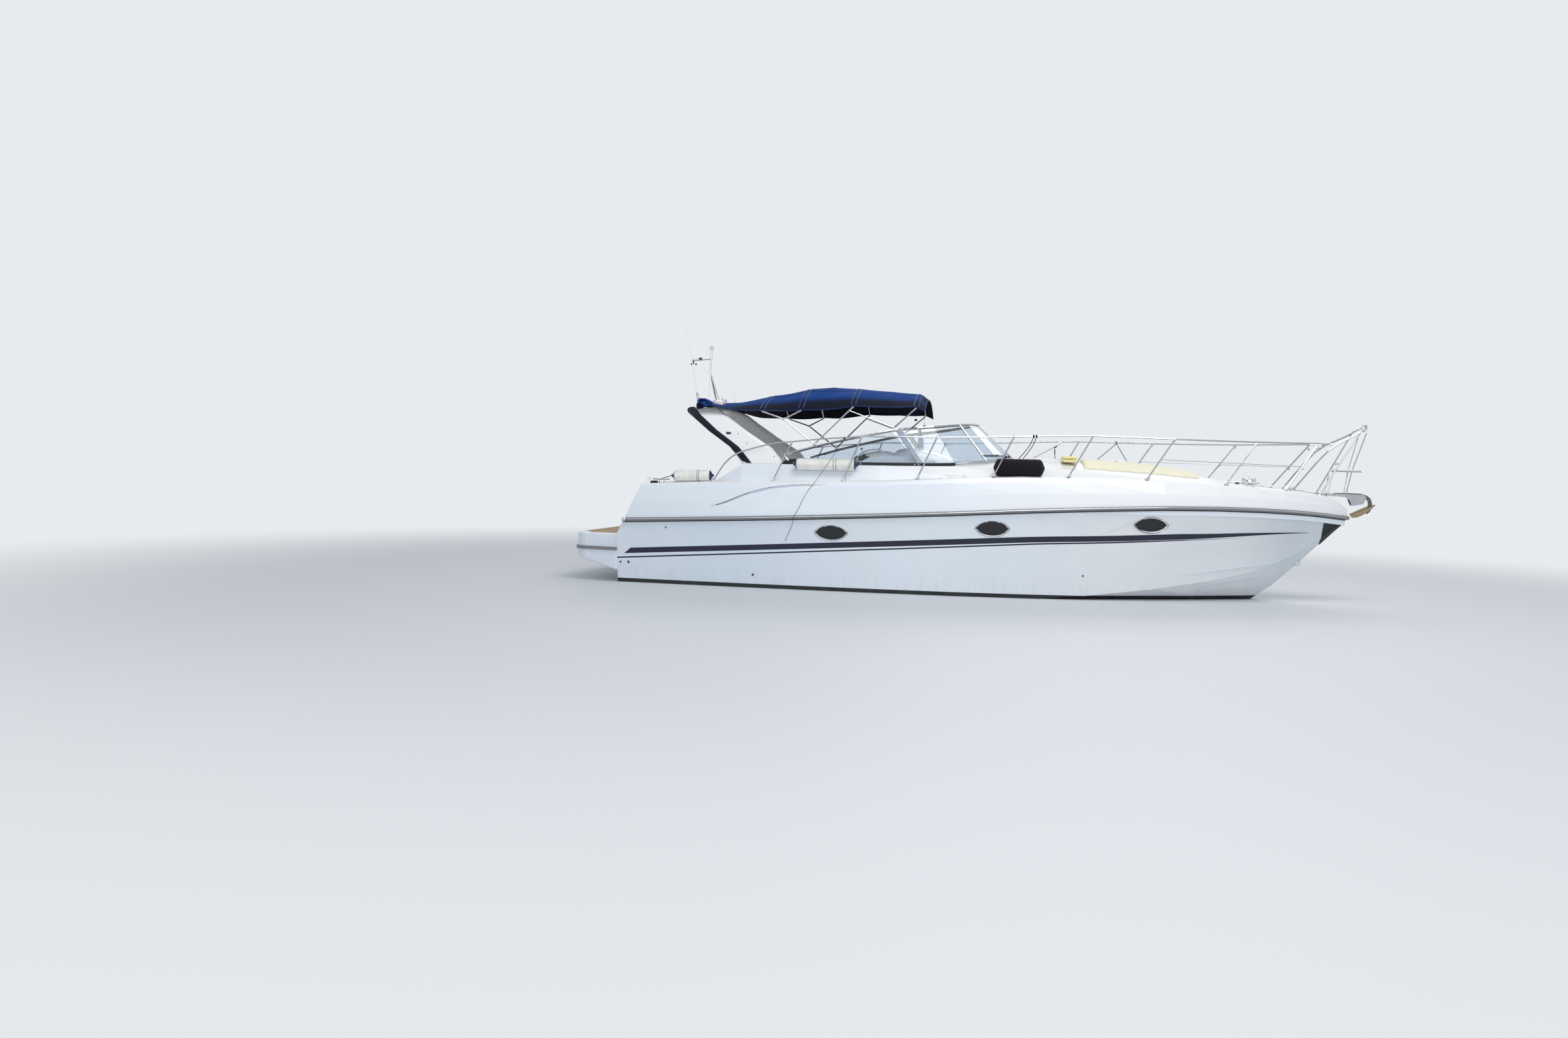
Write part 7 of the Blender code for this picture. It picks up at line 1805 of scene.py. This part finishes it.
def make_anchor():
    """Ploughed bow anchor: forged shank, shackle, weathered share with dried mud."""
    shank, share, shackle = shapes(3)
    path = smooth_path([(5.64, 0, 1.640), (5.90, 0, 1.640), (6.05, 0, 1.628), (6.14, 0, 1.58),
                        (6.165, 0, 1.50), (6.150, 0, 1.42), (6.105, 0, 1.375)], 6)
    rows = []
    for i, p in enumerate(path):
        t = i / (len(path) - 1)
        before, after = path[max(i - 1, 0)], path[min(i + 1, len(path) - 1)]
        along = (after - before).normalized()
        up = Vector((0, 1, 0)).cross(along).normalized()
        h = 0.018 + 0.016 * t
        rows.append([p + Vector((0, y, 0)) + up * (s * h)
                     for y, s in ((-SHANK_HALF, -1), (-SHANK_HALF, 1), (SHANK_HALF, 1), (SHANK_HALF, -1))])
    shank.grid(rows)
    anchor = shank.done("anchor_shank", IRON, bevel=0.004)
    rows = []
    for x, half, top, keel, edge in ((5.925, 0.150, 1.345, 1.300, 0.012), (5.99, 0.165, 1.375, 1.312, 0.016),
                                     (6.06, 0.150, 1.415, 1.345, 0.018),
                                     (6.13, 0.115, 1.455, 1.390, 0.016), (6.19, 0.065, 1.485, 1.440, 0.012),
                                     (6.235, 0.012, 1.500, 1.482, 0.006)):
        ring = []
        for u in np.linspace(-1, 1, 17):
            ring.append(Vector((x, half * u, keel + (top - keel) * abs(u) ** 1.3)))
        lower = [p - rise(edge) for p in ring[::-1]]
        rows.append(ring + lower)
    share.grid(rows)
    share.done("anchor_share", MUD, smooth=40)
    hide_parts("anchor")
    u = [Vector((5.63 - 0.030 * math.cos(a) - 0.012, 0.016 * math.sin(a), 1.640))
         for a in np.linspace(-math.pi / 2, math.pi / 2, 12)]
    shackle.tube([Vector((5.645, -0.016, 1.640))] + u + [Vector((5.645, 0.016, 1.640))], 0.005, 8)
    shackle.rod((5.640, -0.024, 1.640), (5.640, 0.024, 1.640), 0.005)
    shackle.done("anchor_shackle", STEEL)


CHAIN_PITCH = 0.026


def make_chain():
    """Chain from the gypsy over the deck to the anchor's shackle."""
    links = Shape()
    guide = [Vector((4.46, 0.105, 1.735))]
    for x in np.linspace(4.56, 5.20, 9):
        hit, _ = drop("deck", x, 0.105 * (5.3 - x) / 0.8)
        z = hit.z + (0.026 if 4.58 < x < 5.06 else 0.012)
        guide.append(Vector((x, 0.105 * (5.3 - x) / 0.8, z)))
    guide += [Vector((5.32, 0, 1.648)), Vector((5.45, 0, 1.640)), Vector((5.595, 0, 1.640))]
    path = smooth_path(guide, 8)
    spots = []
    walked, k = 0.0, 0
    for a, b in zip(path, path[1:]):
        step = (b - a).length
        while k * CHAIN_PITCH <= walked + step and step > 0:
            t = (k * CHAIN_PITCH - walked) / step
            spots.append((a.lerp(b, t), (b - a).normalized()))
            k += 1
        walked += step
    for i, (p, along) in enumerate(spots):
        side = along.cross(rise(1)).normalized()
        up = side.cross(along)
        wide = side if i % 2 == 0 else up
        loop = []
        for a in angles(14):
            loop.append(p + along * (0.0145 * math.cos(a) + math.copysign(0.004, math.cos(a)))
                        + wide * (0.0095 * math.sin(a)))
        links.tube(loop, 0.0034, 6, closed=True)
    links.done("anchor_chain", CHAIN)


HATCH_HINGE = Vector((1.20, 0, 2.0893))
HATCH_ANGLE = math.radians(-30)


def make_hatch_details():
    """Frame, smoked pane, handles and stay of the raised foredeck hatch, and the deck's small fittings."""
    turn = Matrix.Rotation(HATCH_ANGLE, 3, "Y")

    def place(x, y, z):
        return HATCH_HINGE + turn @ Vector((x, y, z))

    pane, rim, handle, stay, seal = shapes(5)

    def lid_box(shape, low, high):
        shape.block([place(*p) for p in product(*zip(low, high))])

    lid_box(pane, (0.060, -0.185, 0.0302), (0.405, 0.185, 0.0350))
    for low, high in (((0.035, -0.212, 0.029), (0.060, 0.212, 0.036)),
                      ((0.405, -0.212, 0.029), (0.430, 0.212, 0.036)),
                      ((0.060, -0.212, 0.029), (0.405, -0.185, 0.036)),
                      ((0.060, 0.185, 0.029), (0.405, 0.212, 0.036))):
        lid_box(rim, low, high)
    for y in (-0.13, 0.13):
        handle.lathe(place(0.36, y, -0.002), turn @ DOWN, [(0.018, 0), (0.018, 0.006), (0.010, 0.010)], 18)
        lid_box(handle, (0.345, y - 0.045, -0.020), (0.372, y + 0.012, -0.010))
    for low, high in (((0.018, -0.222, -0.006), (0.442, -0.210, 0.001)),
                      ((0.018, 0.210, -0.006), (0.442, 0.222, 0.001)),
                      ((0.430, -0.21, -0.006), (0.442, 0.21, 0.001))):
        lid_box(seal, low, high)
    pane.done("hatch_pane", ACRYLIC, "foredeck_hatch", bevel=0.0015)
    rim.done("hatch_frame", BRUSHED, "foredeck_hatch", bevel=0.002)
    handle.done("hatch_handles", BLACK, "foredeck_hatch", bevel=0.002)
    seal.done("hatch_seal", BLACK, "foredeck_hatch", bevel=0.001)
    foot = Vector((1.50, -0.225, 2.083))
    head = place(0.335, -0.225, -0.004)
    stay.rod(foot, head, 0.005)
    stay.rod(foot.lerp(head, 0.35), foot.lerp(head, 0.80), 0.008)
    for pin in (foot, head):
        stay.lathe(pin - Vector((0, 0.009, 0)), (0, 1, 0), [(0.009, 0), (0.009, 0.018)], 16)
    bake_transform(stay.done("hatch_stay", BLACK, None))
    caps = Shape()
    for x, y, r in ((-0.20, -1.50, 0.032), (-0.42, 1.50, 0.032), (2.2, -1.28, 0.026), (-3.95, 1.44, 0.034)):
        hit, normal = drop("deck", x, y)
        caps.lathe(hit - normal * 0.001, normal,
                   [(r, 0), (r, 0.004), (r * 0.86, 0.006), (r * 0.5, 0.0062), (r * 0.3, 0.0045)], 30)
    lift = rise(0.040)
    for side, _ in SIDES:
        a, b = on_deck(-0.06, side * 1.57), on_deck(-0.06 + 0.20, side * 1.56)
        for foot in (a, b):
            caps.tube([foot - rise(0.003), foot + lift], 0.007, 10)
        caps.tube([a + lift - Vector((0.07, 0, -0.002)), a + lift, b + lift, b + lift + Vector((0.07, 0, 0))],
                  0.007, 10)
    caps.done("deck_caps_and_grabs", STEEL)


def make_bolster():
    """Folded cushion left beside the hatch."""
    y0, y1, x0, x1 = -0.72, -0.30, 1.58, 1.82
    base = max(on_deck(x, y).z for x in (x0, x1) for y in (y0, y1, -0.5))
    for k in range(2):
        low = (x0 + 0.004 * k, y0 + 0.006 * k, base + 0.050 * k - 0.006)
        high = (x1 - 0.004 * k, y1, base + 0.050 * (k + 1) - 0.004)
        cushion("folded_cushion_%d" % k, low, high, PAD_WARM, "boat", [], (), 1, 0.008, 0.006, cuts=26,
                radius=0.024, piping=None)


# Drives

STEER_X = -5.25
TILT_X = -5.37
DRIVE_Y = 0.46
DRIVE_Z = -0.16


def make_drive_details():
    """Bellows, trim rams, anode and cap of each stern drive."""
    for side, word in SIDES:
        y, z0 = side * DRIVE_Y, DRIVE_Z
        bellows, rams, rods, anodes = shapes(4)
        for k in range(7):
            x = STEER_X + 0.094 - 0.011 * k
            bellows.lathe((x, y, z0 - 0.09), (-1, 0, 0), [(0.040, 0), (0.052, 0.0055), (0.040, 0.011)], 24)
        for s in (-1, 1):
            start = Vector((STEER_X - 0.06, y + s * 0.150, z0 - 0.030))
            end = Vector((TILT_X - 0.23, y + s * 0.100, z0 - 0.075))
            rams.rod(start, start.lerp(end, 0.62), 0.018)
        rams.done("drive_rams_" + word, DRIVE, "drive_gimbal_" + word)
        bellows.done("drive_bellows_" + word, BLACK)
        anodes.box((TILT_X - 0.50, y - 0.030, z0 - 0.320), (TILT_X - 0.40, y + 0.030, z0 - 0.291))
        anodes.done("drive_anode_" + word, BRUSHED, "drive_leg_" + word, bevel=0.008)
        rods.lathe((TILT_X - 0.10, y, z0 + 0.095), UP, [(0.030, 0), (0.030, 0.010), (0.012, 0.018)], 20)
        rods.done("drive_cap_" + word, BLACK, "drive_leg_" + word)


# Far fender, loose lines, straps

def make_far_fender():
    """White fender slung from the port rail by two black ropes."""
    y, z = 1.255, 1.985
    start, end = Vector((2.12, y, z - 0.005)), Vector((2.80, y - 0.03, z + 0.005))
    fender("far_fender", start, end, 0.105, None)
    hit = tree_of("handrail_port").find_nearest(Vector((2.58, 1.40, 2.40)))[0]
    knots = Shape()
    knot(knots, hit, RAIL_KNOT_R)
    for n, tip in enumerate((start + Vector((0.012, 0, 0.004)), end - Vector((0.012, 0, -0.004)))):
        path = smooth_path([hit + Vector((0, -0.010, -0.014)),
                            hit.lerp(tip, 0.4) + Vector((0, -0.012, -0.012)),
                            hit.lerp(tip, 0.8) + Vector((0, -0.006, -0.006)), tip], 8)
        slack_line("far_fender_rope_%d" % n, path)
    knots.done("far_rail_knot", ROPE)


def make_hanging_line():
    """Thin dark line tied at the rail that hangs over the deck edge and down the topsides."""
    hit = tree_of("handrail_starboard").find_nearest(Vector((-1.62, -1.64, 2.28)))[0]
    guide = [hit + Vector((0, -0.012, -0.010))]
    edge_x = -2.02
    edge_y = between(DECK_EDGE, 1, edge_x)
    guide += [Vector((-1.82, -(edge_y - 0.035), 1.95)), Vector((edge_x, -(edge_y + 0.006), 1.64))]
    for x, z in ((-2.12, 1.50), (-2.20, 1.34), (-2.26, 1.20)):
        p, normal = side_hit("deck", x, z)
        guide.append(p + normal * 0.006)
    rub = rail_run(-2.31, -2.30, -1, 2)[0][0]
    guide.append(rub + Vector((0, -RUB_DEPTH - 0.016, 0.010)))
    for x, z in ((-2.34, 0.98), (-2.40, 0.84), (-2.45, 0.74)):
        p, normal = side_hit("hull", x, z)
        guide.append(p + normal * (0.020 if z > 0.9 else 0.006))
    path = smooth_path(guide, 7)
    slack_line("hanging_line", path, 0.0028, 6)
    turns = Shape()
    knot(turns, hit, 0.0165)
    turns.done("hanging_line_knot", ROPE)


def make_deck_coil():
    """Fender line made up in a small coil on the starboard quarter."""
    centre = on_deck(-4.56, -1.46)
    points = []
    for i in range(150):
        a = 2 * math.pi * i / 30
        r = 0.060 + 0.010 * math.sin(a * 0.37) - 0.004 * (i // 30)
        x, y = centre.x + r * 1.25 * math.cos(a), centre.y + r * math.sin(a) * 0.8
        base = on_deck(x, y).z
        points.append(Vector((x, y, base + 0.006 + 0.0090 * (i / 30) * 0.55 + 0.002 * math.sin(3 * a))))
    low, high = box_of("fender_aft")
    far = Vector((low.x + 0.012, (low.y + high.y) / 2, (low.z + high.z) / 2 - 0.004))
    tail = smooth_path([points[-1], points[-1].lerp(far, 0.4) + rise(0.010), far], 8)
    path = points + tail[1:]
    coil = Shape().tube(path, ROPE_R, 7).done("deck_coil", ROPE)


def make_straps():
    """Canopy strap from the fore bow to the screen and a rolled blue cloth tied at the screen rail."""
    web, buckle = shapes(2)
    flat = ((-0.0125, -0.0008), (0.0125, -0.0008), (0.0125, 0.0008), (-0.0125, 0.0008))
    for side, _ in SIDES:
        top = canopy_point(-0.62, side * 1.235, -0.02)
        foot = Vector((-0.60, side * 1.055, 2.478))
        run = [top.lerp(foot, t) + Vector((0, 0, -0.004 * math.sin(math.pi * t)))
               for t in np.linspace(0, 1, 10)]
        web.sweep(run, flat, (1, 0, 0.2))
        mid = top.lerp(foot, 0.62)
        buckle.box(mid - Vector((0.020, 0.006, 0.016)), mid + Vector((0.020, 0.006, 0.016)))
        buckle.lathe(foot + rise(-0.004), UP, [(0.014, 0), (0.014, 0.006), (0.008, 0.010)], 16)
    web.done("canopy_straps", CANVAS_DARK, slot="canvas")
    buckle.done("strap_buckles", BLACK)
    hang_cloth(Vector((-0.555, -1.035, 2.462)))


CLOTH_DROP = 0.30
CLOTH_THICK = 0.0016
CLOTH_PLEATS = 6


def hang_cloth(start):
    """Blue cloth gathered at the screen rail: one layer laid in pleats that open towards its hem."""
    count = CLOTH_PLEATS * 8
    rows, widths = [], []
    for i in range(31):
        t = i / 30
        centre = start + Vector((0.030 * t + 0.008 * math.sin(4 * t), 0.012 * t, -CLOTH_DROP * t))
        half = 0.020 + 0.032 * t ** 0.8
        depth = 0.013 + 0.004 * t
        front, back = [], []
        for k in range(count + 1):
            u = k / count
            fold = math.sin(2 * math.pi * CLOTH_PLEATS * u + 0.7 * math.sin(3 * t + 5 * u)) * depth
            spot = centre + Vector((half * (2 * u - 1), fold * (0.75 + 0.25 * math.cos(7 * u)),
                                    0.006 * math.cos(9 * u) * t))
            front.append(spot + Vector((0, CLOTH_THICK / 2, 0)))
            back.append(spot - Vector((0, CLOTH_THICK / 2, 0)))
        widths.append(path_length(front))
        rows.append(front + back[::-1])
    cloth = Shape().grid(rows).done("hanging_cloth", CANVAS_LIGHT, slot="canvas", smooth=60)


def make_canopy_tubes():
    """Hinge fittings and pins of the canopy frame."""
    bits = Shape()
    for side, _ in SIDES:
        for x, y, z in ((-2.60, 1.275, 2.56), (-2.12, 1.2885, 2.19), (-0.93, 1.1525, 2.455)):
            c = Vector((x, side * y, z))
            bits.lathe(c - Vector((0, side * 0.022, 0)), (0, side, 0),
                       [(0.010, 0), (0.021, 0.003), (0.021, 0.040), (0.010, 0.043)], 20)
            bits.lathe(c + Vector((0, side * 0.021, 0)), (0, side, 0),
                       [(0.007, 0), (0.007, 0.005), (0.004, 0.007)], 6)
        for x in (-2.35, -1.55):
            p = canopy_point(x, side * 1.235, -0.035)
            bits.ball(p, (0.017, 0.017, 0.019), rings=8, sides=14)
    bits.done("canopy_hinges", STEEL)


for make in (
    make_canopy, make_lacing, make_cushions, make_sun_pad, make_fenders, make_ropes, make_rub_trim,
    make_porthole_trim, make_hull_fittings, make_hollow_edge, make_screen_trim, make_arch_trim,
    make_arch_gear, make_dash, make_cowls, make_wheel, make_throttles, make_cockpit, make_transom,
    make_rail_fittings, make_bow_details, make_anchor, make_chain, make_hatch_details, make_bolster,
    make_drive_details, make_far_fender, make_hanging_line, make_deck_coil, make_straps, make_canopy_tubes):
    make()
